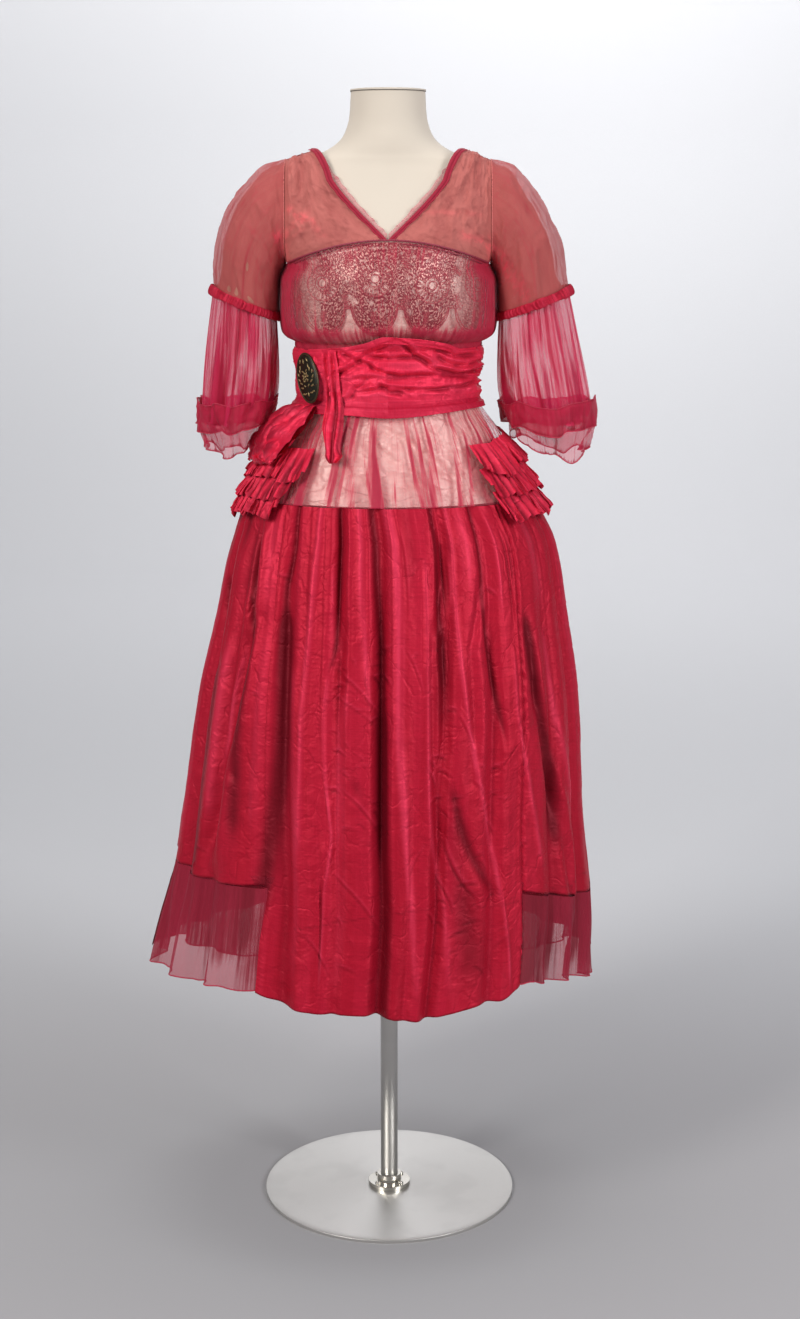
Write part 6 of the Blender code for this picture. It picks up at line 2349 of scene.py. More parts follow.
def refine(rows: Array, count: int) -> Array:
    """More rows along a coarse grid of points, on a smooth curve through its own rows.

    Args:
        rows: The coarse grid.
        count: How many rows are wanted.

    Returns:
        The finer grid.
    """
    size = len(rows)
    spots = np.linspace(0, size - 1, count)
    cell = np.clip(spots.astype(int), 0, size - 2)
    part = (spots - cell)[:, None, None]
    before, after = rows[np.maximum(cell - 1, 0)], rows[np.minimum(cell + 2, size - 1)]
    here, there = rows[cell], rows[cell + 1]
    square = (2 * before - 5 * here + 4 * there - after) * part**2
    cube = (3 * here - before - 3 * there + after) * part**3
    return 0.5 * (2 * here + (there - before) * part + square + cube)


def pushed(points: Array, push: Array, closed: bool, outwards: Array | None = None) -> Array:
    """A grid of points moved along its own normals.

    Args:
        points: The grid, rows by columns.
        push: How far each point moves outwards, in metres.
        closed: Whether its columns close on themselves.
        outwards: A direction that counts as out, where that isn't away from the middle.

    Returns:
        The moved grid.
    """
    across = np.gradient(points, axis=1)
    if closed:
        across = np.roll(points, -1, axis=1) - np.roll(points, 1, axis=1)
    normal = np.cross(np.gradient(points, axis=0), across)
    normal /= np.linalg.norm(normal, axis=-1, keepdims=True) + 1e-12
    middle = points.mean(axis=1, keepdims=True) if closed else points * (0.0, 0.0, 1.0)
    away = points - middle if outwards is None else np.broadcast_to(outwards, points.shape)
    sign = 1.0 if np.sum(normal * away) > 0 else -1.0
    return points + sign * normal * np.asarray(push)[..., None]


@dataclass
class Sash:
    """The crushed taffeta sash round the waist and the flat band along its lower edge."""

    folds_bottom: float = 1.2138
    band_bottom: float = 1.192
    band_top: float = 1.2135
    metres_a_degree: float = 0.0023
    top_edge: tuple[tuple[float, float], ...] = (
        (-180, 1.288), (-110, 1.284), (-75, 1.284), (-51.7, 1.285), (-33, 1.288), (-24.4, 1.290),
        (-12.5, 1.296), (-1.3, 1.305), (6.2, 1.304), (18.9, 1.301), (32.8, 1.295), (50, 1.286),
        (72.7, 1.286), (110, 1.286), (180, 1.288),
    )
    lines: tuple[tuple[tuple[float, float], ...], ...] = (
        ((2.5, 1.303), (13.8, 1.282), (27.8, 1.260), (48.0, 1.250), (73.0, 1.252), (96.0, 1.258)),
        ((-37.6, 1.250), (-25.0, 1.258), (-13.9, 1.279), (2.5, 1.296)),
        ((-21.2, 1.244), (-3.9, 1.246), (31.0, 1.251), (73.7, 1.244), (100.0, 1.240)),
        ((-19.8, 1.227), (1.2, 1.236), (19.6, 1.231), (44.5, 1.233), (66.0, 1.236), (92.0, 1.232)),
        ((-14.0, 1.276), (1.2, 1.274), (19.2, 1.275)),
        ((-25.4, 1.215), (-19.8, 1.232), (-13.1, 1.241)),
        ((8.7, 1.296), (16.5, 1.276), (27.8, 1.266)),
        ((30.2, 1.278), (40.3, 1.266), (54.7, 1.262), (84.0, 1.270)),
        ((-6.5, 1.239), (1.2, 1.228), (10.3, 1.225)),
        ((-11.5, 1.265), (-3.9, 1.256), (6.3, 1.252)),
        ((22.0, 1.290), (44.0, 1.276), (70.0, 1.274)),
        ((-30.0, 1.282), (-18.0, 1.270), (-8.0, 1.266)),
    )

    def top(self, angles: Array) -> Array:
        """Height of the sash's top edge round the waist."""
        return smooth_curve(*zip(*self.top_edge), facing(angles))

    def creases(self) -> list[Crease]:
        """Every crease of the front, and like ones behind at other places.

        Returns:
            The creases.
        """
        made = []
        for number, line in enumerate(self.lines):
            for start, end in zip(line, line[1:]):
                width = 0.0030 + 0.0006 * (number % 3)
                depth = 0.0066 - 0.0007 * (number % 4)
                made.append(Crease(*start, *end, width, depth, 0.001 * (-1) ** number))
                behind = [(184 - 1.3 * angle, height - 0.003) for angle, height in (start, end)]
                made.append(Crease(*behind[0], *behind[1], width, depth, 0.001))
        return made

    def folds(self) -> Sheet:
        """The crushed upper part, its top edge standing out in front of the bodice.

        Returns:
            The sheet of cloth.
        """
        angles, part = ring_grid(360, 70)
        top = self.top(angles)
        heights = top + (self.folds_bottom - top) * part
        turned = np.broadcast_to(facing(angles), heights.shape)
        push = crease_field(self.creases(), turned, heights, self.metres_a_degree)
        behind = [crease for crease in self.creases() if crease.angle_from > 100]
        push = push + crease_field(behind, turned % 360.0, heights, self.metres_a_degree) * (turned < -100)
        soft = Crumple(91).soft(angles * 22 / 360 + heights / 0.09, heights / 0.024)
        sharp = Crumple(92).creased(angles * 26 / 360 - heights / 0.05, heights / 0.021) - 0.5
        push = push + 0.0026 * (0.7 * soft + sharp)
        push = push + 0.0010 * (Crumple(93).creased(angles * 80 / 360, heights / 0.009) - 0.5)
        stand = np.clip(heights - 1.2850, 0, None) * 1.15
        roll = -0.0030 * (1 - eased(part, 0.0, 0.07))
        hold = eased(part, 1.0, 0.88)
        out = 0.0035 + np.clip(push, -0.007, 0.006) * (0.25 + 0.75 * hold) + stand + roll
        out = out - 0.0025 * (1 - hold)
        body = SASH.place(heights, angles, out)
        tuck = [
            SASH.place(heights[:1] - down, angles, out[:1] - inwards)
            for down, inwards in ((0.009, 0.0045), (0.0025, 0.0036), (0.0002, 0.0018))
        ]
        # Painted shade in the creases, darker the deeper they are pushed in.
        painted_shade = np.clip((-push - 0.0010) / 0.0064, 0, 0.60)
        painted_shade = np.concatenate([np.repeat(painted_shade[:1], len(tuck), axis=0), painted_shade])
        return Sheet("sash_folds", np.concatenate([*tuck, body]), True, {"painted_shade": painted_shade})

    def band(self) -> Sheet:
        """The flat band below, lapped twice and a little uneven.

        Returns:
            The sheet of cloth.
        """
        angles, part = ring_grid(320, 26)
        spots, rises = (-180, -24.9, 1.1, 32, 64, 180), (0.004, 0.004, 0.001, 0.006, 0.010, 0.004)
        low = self.band_bottom + smooth_curve(spots, rises, facing(angles))
        high = self.band_top + 0.002
        heights = high + (low - high) * part
        lap = 0.0016 * eased(part, 0.38, 0.44) + 0.0008 * np.sin(math.pi * part)
        soft = 0.0011 * Crumple(95).soft(angles * 18 / 360, part * 2.0)
        soft = soft + 0.0006 * (Crumple(96).creased(angles * 40 / 360, part * 3.0) - 0.5)
        out = 0.0016 + lap + soft
        body = SASH.place(heights, angles, out)
        foot = [
            SASH.place(heights[-1:] + up, angles, out[-1:] - inwards)
            for up, inwards in ((0.0002, 0.0009), (0.002, 0.0017), (0.008, 0.0018))
        ]
        return Sheet("waist_band", np.concatenate([body, *foot]), True)

    def dress(self, wardrobe: Wardrobe) -> None:
        """Winds the sash on.

        Args:
            wardrobe: Puts the pieces in the scene.
        """
        flat = Taffeta(
            "band_taffeta", (0.540, 0.012, 0.044), (0.72, 0.040, 0.095), crinkle=0.0008, level=True
        )
        wardrobe.cloth(self.band(), flat, ["sash_lower_band"])
        wardrobe.cloth(self.folds(), SASH_TAFFETA, ["sash_wrap"])


@dataclass
class Bow:
    """The sash's knot, broad loop and pointed tail."""

    knot_angle: float = -53.0
    knot_height: float = 1.245
    knot_puff: float = 0.0085
    rows: int = 150
    loop: tuple[FourSizes, ...] = (
        (-55.5, 1.2060, 7.5, 0.0027),
        (-58.5, 1.1960, 13.0, 0.0068),
        (-63.5, 1.1750, 16.5, 0.0075),
        (-67.0, 1.1540, 16.5, 0.0110),
        (-69.0, 1.1350, 14.5, 0.0170),
        (-69.5, 1.1270, 13.0, 0.0220),
        (-69.0, 1.1320, 15.0, 0.0260),
        (-67.0, 1.1520, 17.5, 0.0285),
        (-63.5, 1.1740, 18.0, 0.0280),
        (-58.5, 1.1960, 14.5, 0.0210),
        (-55.5, 1.2075, 8.0, 0.0068),
    )
    tail: tuple[FourSizes, ...] = (
        (-36.5, 1.2860, 5.0, 0.0003),
        (-35.5, 1.2600, 5.5, 0.0004),
        (-34.0, 1.2300, 5.0, 0.0008),
        (-32.0, 1.2060, 5.5, 0.0032),
        (-29.0, 1.1800, 5.5, 0.0045),
        (-26.5, 1.1550, 3.8, 0.0050),
        (-25.0, 1.1420, 4.6, 0.0050),
        (-24.5, 1.1330, 2.4, 0.0050),
    )

    def strip(self, table: Sequence[FourSizes], share: Array, lift: float) -> Array:
        """A coarse grid of points along a table of rows: middle angle, height, half width and distance out.

        Args:
            table: The rows.
            share: Place across, from -1 to 1.
            lift: How much further out it lies.

        Returns:
            The grid of points.
        """
        rows = []
        for angle, height, half_width, out in table:
            level = np.full(share.shape, height)
            on_sash = eased(level, 1.192, 1.212)[..., None]
            angles, far = angle + half_width * share, out + lift
            rows.append(
                SASH.place(level, angles, far) * on_sash + SKIRT.place(level, angles, far) * (1 - on_sash)
            )
        return np.stack(rows)

    def hanging_loop(self) -> Sheet:
        """The loop, puffed and creased from the knot.

        Returns:
            The sheet of cloth.
        """
        share = np.linspace(-1, 1, 64)
        rows = refine(self.strip(self.loop, share, 0.0), self.rows)
        part = np.linspace(0, 1, self.rows)[:, None]
        out = np.clip(np.sin(math.pi * part), 0, 1)
        puff = 0.006 * (1 - share**2) * out
        near = np.minimum(part, 1 - part)
        fan = 0.0034 * np.sin(share * 9.0 + 1.3) * (1 - eased(near, 0.02, 0.26)) * eased(near, 0.0, 0.05)
        crush = 0.0066 * (Crumple(101).creased(share * 3.0, part * 10.0) - 0.5)
        crush = crush + 0.0020 * Crumple(102).soft(share * 5.0, part * 14.0)
        push = -(puff + fan + crush * eased(near, 0.0, 0.1)) * np.sign(part - 0.5)
        # Painted shade in the sunken folds and creases of the loop.
        painted_shade = np.clip((0.0004 - fan - crush) / 0.0050, 0, 0.7)
        return Sheet("bow_loop", pushed(rows, push, False), False, {"painted_shade": painted_shade})

    def hanging_tail(self) -> Sheet:
        """The narrow tail, twisted once above its point.

        Returns:
            The sheet of cloth.
        """
        share = np.linspace(-1, 1, 40)
        rows = refine(self.strip(self.tail, share, 0.0060), self.rows)
        part = np.linspace(0, 1, self.rows)[:, None]
        edge = 0.006 * share * np.sin(2.3 * math.pi * part + 0.6) * eased(part, 0.1, 0.4)
        crush = 0.0032 * np.cos(share * 7.0 + 5.0 * part) * eased(part, 0.0, 0.1)
        crush = crush + 0.0018 * (Crumple(105).creased(share * 2.0, part * 9.0) - 0.5)
        push = np.maximum(edge + crush * eased(part, 0.0, 0.05), -0.0032)
        # Painted shade in the sunken creases and twists of the tail.
        painted_shade = np.clip(0.35 - (edge + crush) / 0.0050, 0, 0.8) * eased(part, 0.10, 0.35)
        return Sheet("bow_tail", pushed(rows, push, False), False, {"painted_shade": painted_shade})

    def knot(self) -> Sheet:
        """The puffed knot, its folds drawn in at top and bottom.

        Returns:
            The sheet of cloth.
        """
        share = np.linspace(-1, 1, 70)[None, :]
        up = np.linspace(1, -1, 64)[:, None]
        puff = self.knot_puff * (1 - share**2) ** 0.7 * (1 - up**2) ** 0.6
        draw = 0.0026 * np.cos(share * 11.0 + 1.5 * up) * (1 - share**2) * (0.3 + 0.7 * up**2)
        crush = 0.0014 * (Crumple(107).creased(share * 3, up * 4) - 0.5) * (1 - share**2)
        heights = self.knot_height + 0.031 * up
        angles = self.knot_angle + (11.5 - 3.0 * up**2) * share
        return Sheet("bow_knot", SASH.place(heights, angles, 0.0018 + puff + draw + crush))

    def dress(self, wardrobe: Wardrobe) -> None:
        """Ties the bow on.

        Args:
            wardrobe: Puts the pieces in the scene.
        """
        wardrobe.cloth(self.hanging_tail(), SASH_TAFFETA, ["sash_tail"])
        wardrobe.cloth(self.hanging_loop(), SASH_TAFFETA, ["sash_loop"])
        wardrobe.cloth(self.knot(), SASH_TAFFETA, ["sash_knot"])


@dataclass
class Ornament:
    """The oval enamelled plate on the knot, with gilt leaves of a plain garden kind, and its rim."""

    angle: float = -53.0
    height: float = 1.245
    half_width: float = 0.022
    half_height: float = 0.035
    tilt: float = 15.0
    out: float = 0.0108
    bench: Workbench = field(default_factory=Workbench)

    def place(self, piece: bpy.types.Object) -> None:
        """Moves a piece made flat round the origin, facing +Z, to the ornament's place on the sash.

        Args:
            piece: The piece, made flat.
        """
        centre = SASH.place(np.array(self.height), np.array(self.angle), np.array(self.out))
        facing = SASH.place(np.array(self.height), np.array(self.angle), np.array(self.out + 1.0)) - centre
        aside = np.cross((0.0, 0.0, 1.0), facing)
        aside /= np.linalg.norm(aside)
        up = np.cross(facing, aside)
        tilt = math.radians(self.tilt)
        right = aside * math.cos(tilt) + up * math.sin(tilt)
        above = up * math.cos(tilt) - aside * math.sin(tilt)
        for point in piece.data.vertices:
            point.co = centre + right * point.co.x + above * point.co.y + facing * point.co.z

    def plate(self) -> bpy.types.Object:
        """The domed plate.

        Returns:
            The finished piece.
        """
        self.bench.start()
        bpy.ops.mesh.primitive_uv_sphere_add(segments=56, ring_count=28, radius=1.0)
        piece = bpy.context.object
        piece.name = "ornament_dome"
        bpy.ops.object.mode_set(mode="EDIT")
        bpy.ops.mesh.select_all(action="SELECT")
        bpy.ops.transform.resize(value=(self.half_width * 0.95, self.half_height * 0.95, 0.0040))
        bpy.ops.mesh.bisect(
            plane_co=(0.0, 0.0, 0.0002), plane_no=(0.0, 0.0, 1.0), use_fill=True, clear_inner=True
        )
        self.bench.finish(piece)
        self.place(piece)
        return piece

    def rim(self) -> bpy.types.Object:
        """The thin rim round the plate.

        Returns:
            The finished piece.
        """
        self.bench.start()
        bpy.ops.mesh.primitive_torus_add(
            major_radius=1.0, minor_radius=0.052, major_segments=88, minor_segments=12
        )
        piece = bpy.context.object
        piece.name = "ornament_edge"
        bpy.ops.object.mode_set(mode="EDIT")
        bpy.ops.mesh.select_all(action="SELECT")
        bpy.ops.transform.resize(value=(self.half_width * 0.97, self.half_height * 0.97, 0.030))
        self.bench.finish(piece, 60.0)
        self.place(piece)
        return piece

    def leaves(self) -> bpy.types.Object:
        """Gilt leaves on two curved stems round a small flower: flattened copies of one bead, joined.

        Returns:
            The finished piece.
        """
        self.bench.start()
        bpy.ops.mesh.primitive_ico_sphere_add(subdivisions=2, radius=1.0)
        spots = self.spray()
        beads = self.bench.copies(bpy.context.object, len(spots))
        for bead, (x, y, length, width, turn) in zip(beads, spots):
            self.bench.edit(bead)
            bpy.ops.transform.resize(value=(length, width, 0.0009))
            bpy.ops.transform.rotate(value=-turn, orient_axis="Z", center_override=(0.0, 0.0, 0.0))
            dome = 0.0040 * math.sqrt(max(0.0, 1 - (x / self.half_width) ** 2 - (y / self.half_height) ** 2))
            bpy.ops.transform.translate(value=(x, y, dome))
            bpy.ops.object.mode_set(mode="OBJECT")
        for bead in beads:
            bead.select_set(True)
        piece = beads[0]
        bpy.context.view_layer.objects.active = piece
        bpy.ops.object.join()
        piece.name = "ornament_leaves"
        bpy.ops.object.shade_smooth()
        piece.select_set(False)
        note = piece.data.attributes.new("raised", "FLOAT", "POINT")
        note.data.foreach_set("value", [1.0] * len(piece.data.vertices))
        self.place(piece)
        return piece

    def spray(self) -> list[tuple[float, ...]]:
        """Each leaf's place across and up, its half length and half width, and its turn.

        Returns:
            One row of sizes for each leaf.
        """
        spots = []
        for side in (-1, 1):
            for number in range(9):
                turn = math.radians(-62 + 31 * number * 0.5)
                reach = 0.62 + 0.10 * math.sin(number * 1.7)
                x = side * self.half_width * reach * math.cos(turn)
                y = self.half_height * reach * math.sin(turn) * 1.12
                spots.append((x, y, 0.0032, 0.0012, side * (turn + 0.9)))
            for number in range(4):
                spots.append((side * 0.0040, -0.0105 + 0.0068 * number, 0.0024, 0.0010, side * 0.7))
        for turn in np.arange(7) * 2 * math.pi / 7:
            spots.append((0.0048 * math.cos(turn), 0.0048 * math.sin(turn) + 0.002, 0.0023, 0.0012, turn))
        spots.append((0.0, 0.002, 0.0019, 0.0019, 0.0))
        spots.append((0.0, 0.0235, 0.0034, 0.0014, 1.57))
        spots.append((0.0, -0.0225, 0.0034, 0.0014, 1.57))
        return spots

    def dress(self, wardrobe: Wardrobe) -> None:
        """Sets the ornament on the knot.

        Args:
            wardrobe: Puts the pieces in the scene.
        """
        wardrobe.dress(self.plate(), Enamel(), ["ornament_plate"])
        wardrobe.dress(self.rim(), Enamel("rim_metal", (0.060, 0.046, 0.022)), ["ornament_rim"])
        wardrobe.dress(self.leaves(), Enamel())


@dataclass(frozen=True)
class BodiceCut:
    """The bodice's seams: the lace line, the neckline, the shoulders and the armholes."""

    lace_line: float = 1.4335
    armpit: float = 1.400
    armhole: float = 0.143
    neck_width: float = 0.1040
    back_scoop: float = 0.024
    yoke_out: float = 0.0054
    seam_gap: float = 0.0011

    def lace_height(self, x: Array) -> Array:
        """Height of the corded line over the lace at a place across it."""
        return self.lace_line - (self.lace_line - self.armpit) * (np.asarray(x) / self.armhole) ** 2

    def shoulder_top(self, x: Array, grow: float) -> Array:
        """Height at which the grown form closes over the shoulder.

        Args:
            x: Place across the figure.
            grow: How far outside the form it lies.

        Returns:
            The height at each place.
        """
        heights = np.linspace(1.50, 1.60, 400)
        wide = FORM.read("half_width", heights - grow) + grow
        return np.interp(np.asarray(x), wide[::-1], heights[::-1])

    def neckline(self, share: Array) -> tuple[Array, Array]:
        """The front neckline from the middle of the V to the shoulder, bowed a little outwards.

        Args:
            share: Place up the neckline, from 0 to 1.

        Returns:
            Place across and height of each point.
        """
        bow = 0.003 * np.sin(math.pi * share)
        x = 0.0004 + (self.neck_width - 0.0004) * share + bow
        top = self.shoulder_top(self.neck_width, self.yoke_out)
        return x, self.lace_line + (top - self.lace_line) * share - bow

    def yoke(self, across: Array, up: Array, grow: Array | float, side: int) -> Array:
        """Points of a front yoke.

        Args:
            across: From 0 at the neckline to 1 at the armhole.
            up: From 0 at the lace line to 1 at the shoulder.
            grow: How far outside the form each point is.
            side: -1 or 1.

        Returns:
            The points.
        """
        across, up, grow = np.broadcast_arrays(*(np.asarray(value, float) for value in (across, up, grow)))
        neck_x, neck_z = self.neckline(up)
        arm_z = self.armpit + (self.shoulder_top(self.armhole, self.yoke_out) - self.armpit) * up
        x = neck_x + (self.armhole - neck_x) * across
        level = neck_z + (arm_z - neck_z) * across
        lace = (1 - up) * (self.lace_height(x) - (self.lace_line + (self.armpit - self.lace_line) * across))
        ridge = self.shoulder_top(x, self.yoke_out) - level
        z = level + lace + np.clip((up - 0.7) / 0.3, 0, 1) * ridge + self.seam_gap / 2 * (up < 1e-9)
        z = z + (grow - self.yoke_out) * np.clip((z - 1.50) / 0.04, 0, 1)
        return np.stack([side * x, -FORM.depth_at(x, z, grow, True), z], axis=-1)

    def back_top(self, x: Array) -> Array:
        """Top edge of the back yoke: the back neckline, then the shoulder seams.

        Args:
            x: Place across the figure.

        Returns:
            The height at each place.
        """
        x = np.abs(x)
        seam = self.shoulder_top(np.maximum(x, self.neck_width), self.yoke_out)
        return seam - self.back_scoop * np.clip(1 - (x / self.neck_width) ** 4, 0, 1)

    def seam(self, angles: Array, grow: float) -> Array:
        """Where the bodice meets the yokes, along the lace line and round the back.

        Args:
            angles: Angle of each point in degrees.
            grow: How far outside the form it lies.

        Returns:
            The points of the seam.
        """
        turn = np.radians(angles)
        front = np.cos(turn) > 0
        x = np.clip(np.abs(0.150 * np.sin(turn)), 0, self.armhole)
        z = np.where(front, self.lace_height(x), self.armpit)
        x = (FORM.read("half_width", z) + grow) * np.sin(turn)
        z = (
            np.where(front, self.lace_height(np.minimum(np.abs(x), self.armhole)), self.armpit)
            - self.seam_gap / 2
        )
        deep = np.where(front, -FORM.read("front", z), FORM.read("back", z))
        return np.stack([x, (np.abs(deep) + grow) * np.abs(np.cos(turn)) * np.sign(deep), z], axis=-1)

    def armhole_ring(self, turns: Array, side: int, grow: float) -> Array:
        """The sleeve's top edge, standing just outside the armhole of the yokes.

        Args:
            turns: Angles round the armhole in degrees.
            side: -1 or 1.
            grow: How far outside the form it lies.

        Returns:
            The points of the ring.
        """
        turns = np.radians(turns)
        high = self.shoulder_top(self.armhole, self.yoke_out) + grow - self.yoke_out
        low = self.armpit + 0.0050 - (grow - self.yoke_out)
        z = (high + low) / 2 + (high - low) / 2 * np.cos(turns)
        level = np.clip(z, self.armpit, None)
        x = np.full(len(turns), self.armhole + 0.0003)
        front, back = -FORM.depth_at(x, level, grow, True), FORM.depth_at(x, level, grow, False)
        y = np.where(np.sin(turns) > 0, front, back)
        return np.stack([side * x, y * np.clip(np.abs(np.sin(turns)) * 2.2, 0, 1), z], axis=-1)


def rumpled(x: Array, z: Array) -> Array:
    """How strongly the net's bright rumples show at a place on the front of the yokes and sleeves.

    Args:
        x: Place across the figure.
        z: Height of each point.

    Returns:
        The strength at each place, from 0 to 1.
    """
    segments = (
        (-0.137, 1.474, -0.106, 1.457, 0.006, 0.9),
        (-0.110, 1.462, -0.149, 1.434, 0.008, 0.7),
        (-0.152, 1.436, -0.143, 1.403, 0.009, 0.9),
        (0.105, 1.440, 0.137, 1.425, 0.007, 0.8),
        (0.137, 1.428, 0.156, 1.400, 0.010, 1.0),
        (0.154, 1.403, 0.188, 1.362, 0.012, 0.8),
        (0.050, 1.471, 0.126, 1.468, 0.004, 0.4),
        (-0.106, 1.457, -0.089, 1.440, 0.005, 0.5),
    )
    total = np.zeros(np.broadcast(x, z).shape)
    for x1, z1, x2, z2, width, strength in segments:
        run, rise = x2 - x1, z2 - z1
        part = np.clip(((x - x1) * run + (z - z1) * rise) / (run**2 + rise**2), 0, 1)
        total = total + strength * bell(np.hypot(x - x1 - part * run, z - z1 - part * rise), width)
    return np.clip(total, 0, 1)


@dataclass
class Bodice:
    """The sheer bodice with its lining, yokes, neck bands, frills and dark cord."""

    cut: BodiceCut
    lining_out: float = 0.0015
    bottom: float = 1.2780
    band_width: float = 0.0115
    frill_out: float = 0.0017
    frill_width: float = 0.0060
    piping_radius: float = 0.0014

    def lining(self) -> Sheet:
        """The pale lining, close on the form from the waist to the lace line.

        Returns:
            The sheet of cloth.
        """
        angles, part = ring_grid(120, 44)
        heights = 1.400 - 0.165 * part
        top = heights[:1] + 0.026 * np.clip(np.cos(np.radians(angles)), 0, 1) ** 1.5
        heights = heights + (top - heights[:1]) * (1 - part) ** 2
        push = self.lining_out + 0.0005 * (Crumple(111).creased(angles * 40 / 360, heights / 0.02) - 0.5)
        return Sheet("bodice_silk", FORM.place(heights, angles, push), True)

    def body(self, name: str, start: float, end: float, seed: int) -> Sheet:
        """The chiffon below the lace line, gathered into the sash.

        Args:
            name: Its name.
            start: Angle of its first edge.
            end: Angle of its last edge.
            seed: Which gathers it has.

        Returns:
            The sheet.
        """
        share, part = strip_grid(190, 70)
        angles = np.linspace(start, end, share.size)[None, :]
        seam = self.cut.seam(angles[0], self.cut.yoke_out)
        top = seam[:, 2][None, :]
        heights = top + (self.bottom - top) * part
        gathers = Gathers(40, seed, 0.0044, (0.10, 0.15, 0.45, 1.0, 1.2), 0.34, 0.9).push(share, part)
        soft = 0.0016 * Crumple(seed + 1).soft(share * 16, part * 2.4)
        turned = facing(angles)
        tuck = 0.010 * bell(turned - 5.0, 34.0) * bell(heights - 1.298, 0.013)
        out = (gathers + soft) * eased(part, 0.0, 0.2) - tuck
        points = BLOUSE.place(heights, angles, out)
        tucked = SASH.place(np.minimum(heights, 1.2921), angles, -0.0035)
        points = points + (tucked - points) * eased(self.bottom + 0.0080 - heights, 0.0, 0.0090)[..., None]
        join = (1 - eased(part, 0.0, 0.30))[..., None]
        points = points + (seam[None] - BLOUSE.place(top, angles, 0.0)) * join
        lines = -Gathers(70, seed + 3, 1.0, (0.1, 0.3, 0.9, 1.0), 0.18, 0.9).push(share, part)
        flank = eased(np.abs(np.sin(np.radians(turned))), 0.66, 0.96)
        dense = (
            0.26 * lines + walls(gathers, SKIRT_PITCH, 0.4) + 0.60 * eased(part, 0.69, 0.81) + 0.52 * flank
            + 0.08
        )
        # Denser at the top, and denser and darker from the sides round to the back: partly the layered cloth,
        # partly painted shade in the gaps under the arms.
        dense = dense + 0.25 * (1 - eased(part, 0.06, 0.30)) + 0.34 * eased(np.abs(turned), 80.0, 110.0)
        return Sheet(name, points, False, {"fullness": np.clip(dense, 0, 1)})

    def yoke(self, side: Side) -> Sheet:
        """One front yoke of chiffon over net.

        Args:
            side: Which side of the dress it is for.

        Returns:
            The sheet of cloth.
        """
        across = np.sin(np.linspace(0, math.pi / 2, 76))[None, :]
        up = np.linspace(0, 1, 76)[:, None]
        wide = Crumple(121 + side.value).soft(across * 3.5, up * 4.0)
        small = Crumple(123 + side.value).creased(across * 6.0 + up * 2.0, up * 7.0)
        edge = np.minimum(eased(across, 0.0, 0.12), eased(up, 0.0, 0.10)) * eased(1 - across, 0.0, 0.10)
        grow = self.cut.yoke_out + (0.0014 * wide + 0.0036 * (small - 0.4)) * edge
        points = self.cut.yoke(across, up, grow, side.value)
        points[-1, :, 1] = np.minimum(points[-1, :, 1], -0.00015)
        x, z = side.value * points[..., 0], points[..., 2]
        streak = 0.45 * Crumple(125 + side.value).creased(x / 0.018 + z / 0.04, z / 0.045 - x / 0.08) ** 2
        cross = Crumple(135 + side.value).creased(x / 0.034 + z / 0.05, z / 0.022 - x / 0.05)
        streak = streak + 0.60 * cross**3
        marks = {"patch": rumpled(points[..., 0], points[..., 2]), "fullness": streak}
        return Sheet(f"front_yoke_{side.label}", points, False, marks)

    def back_yoke(self) -> Sheet:
        """The back yoke in one piece, from armhole to armhole.

        Returns:
            The sheet of cloth.
        """
        turn = np.linspace(-math.pi / 2, math.pi / 2, 110)
        x = (self.cut.armhole * np.sin(turn))[None, :]
        up = np.linspace(0, 1, 60)[:, None]
        low = self.cut.armpit + self.cut.seam_gap / 2
        z = low + (self.cut.back_top(x) - low) * up
        soft = 0.0010 * Crumple(127).soft(x / 0.03, z / 0.03) * eased(up, 0.0, 0.1)
        grow = self.cut.yoke_out + soft
        x = np.broadcast_to(x, z.shape)
        y = FORM.depth_at(x, z, grow, False)
        y[-1] = np.maximum(y[-1], 0.00015)
        streak = 0.35 * Crumple(129).creased(x / 0.012, z / 0.05) ** 3
        patch = 0.4 * Crumple(130).creased(x / 0.05, z / 0.04) ** 4
        return Sheet("rear_yoke", np.stack([x, y, z], axis=-1), False, {"patch": patch, "fullness": streak})

    def neck_band(self, side: Side) -> Sheet:
        """The folded band down one side of the neckline.

        Args:
            side: Which side of the dress it is for.

        Returns:
            The sheet of cloth.
        """
        up = np.linspace(0.0, 0.985, 120)[None, :]
        share = np.linspace(0, 1, 14)[:, None]
        width = self.band_width * (0.76 + 0.06 * Crumple(131).soft(up * 20, 0.0))
        across = (width * share - 0.0006) / (self.cut.armhole - self.cut.neckline(up)[0])
        puff = 0.0016 * np.sin(math.pi * share) ** 0.6 + 0.0004 * Crumple(132).soft(up * 44, share * 2)
        groove = -0.0011 * bell(share - 0.62, 0.09)
        rise = 0.0012 * np.clip((up - 0.5) / 0.3, 0, 1)
        points = self.cut.yoke(across, up, self.cut.yoke_out + 0.0006 + puff + groove + rise, side.value)
        return Sheet(f"neckline_band_{side.label}", points, False, {"fullness": 0.95 - 0.35 * (share > 0.72)})

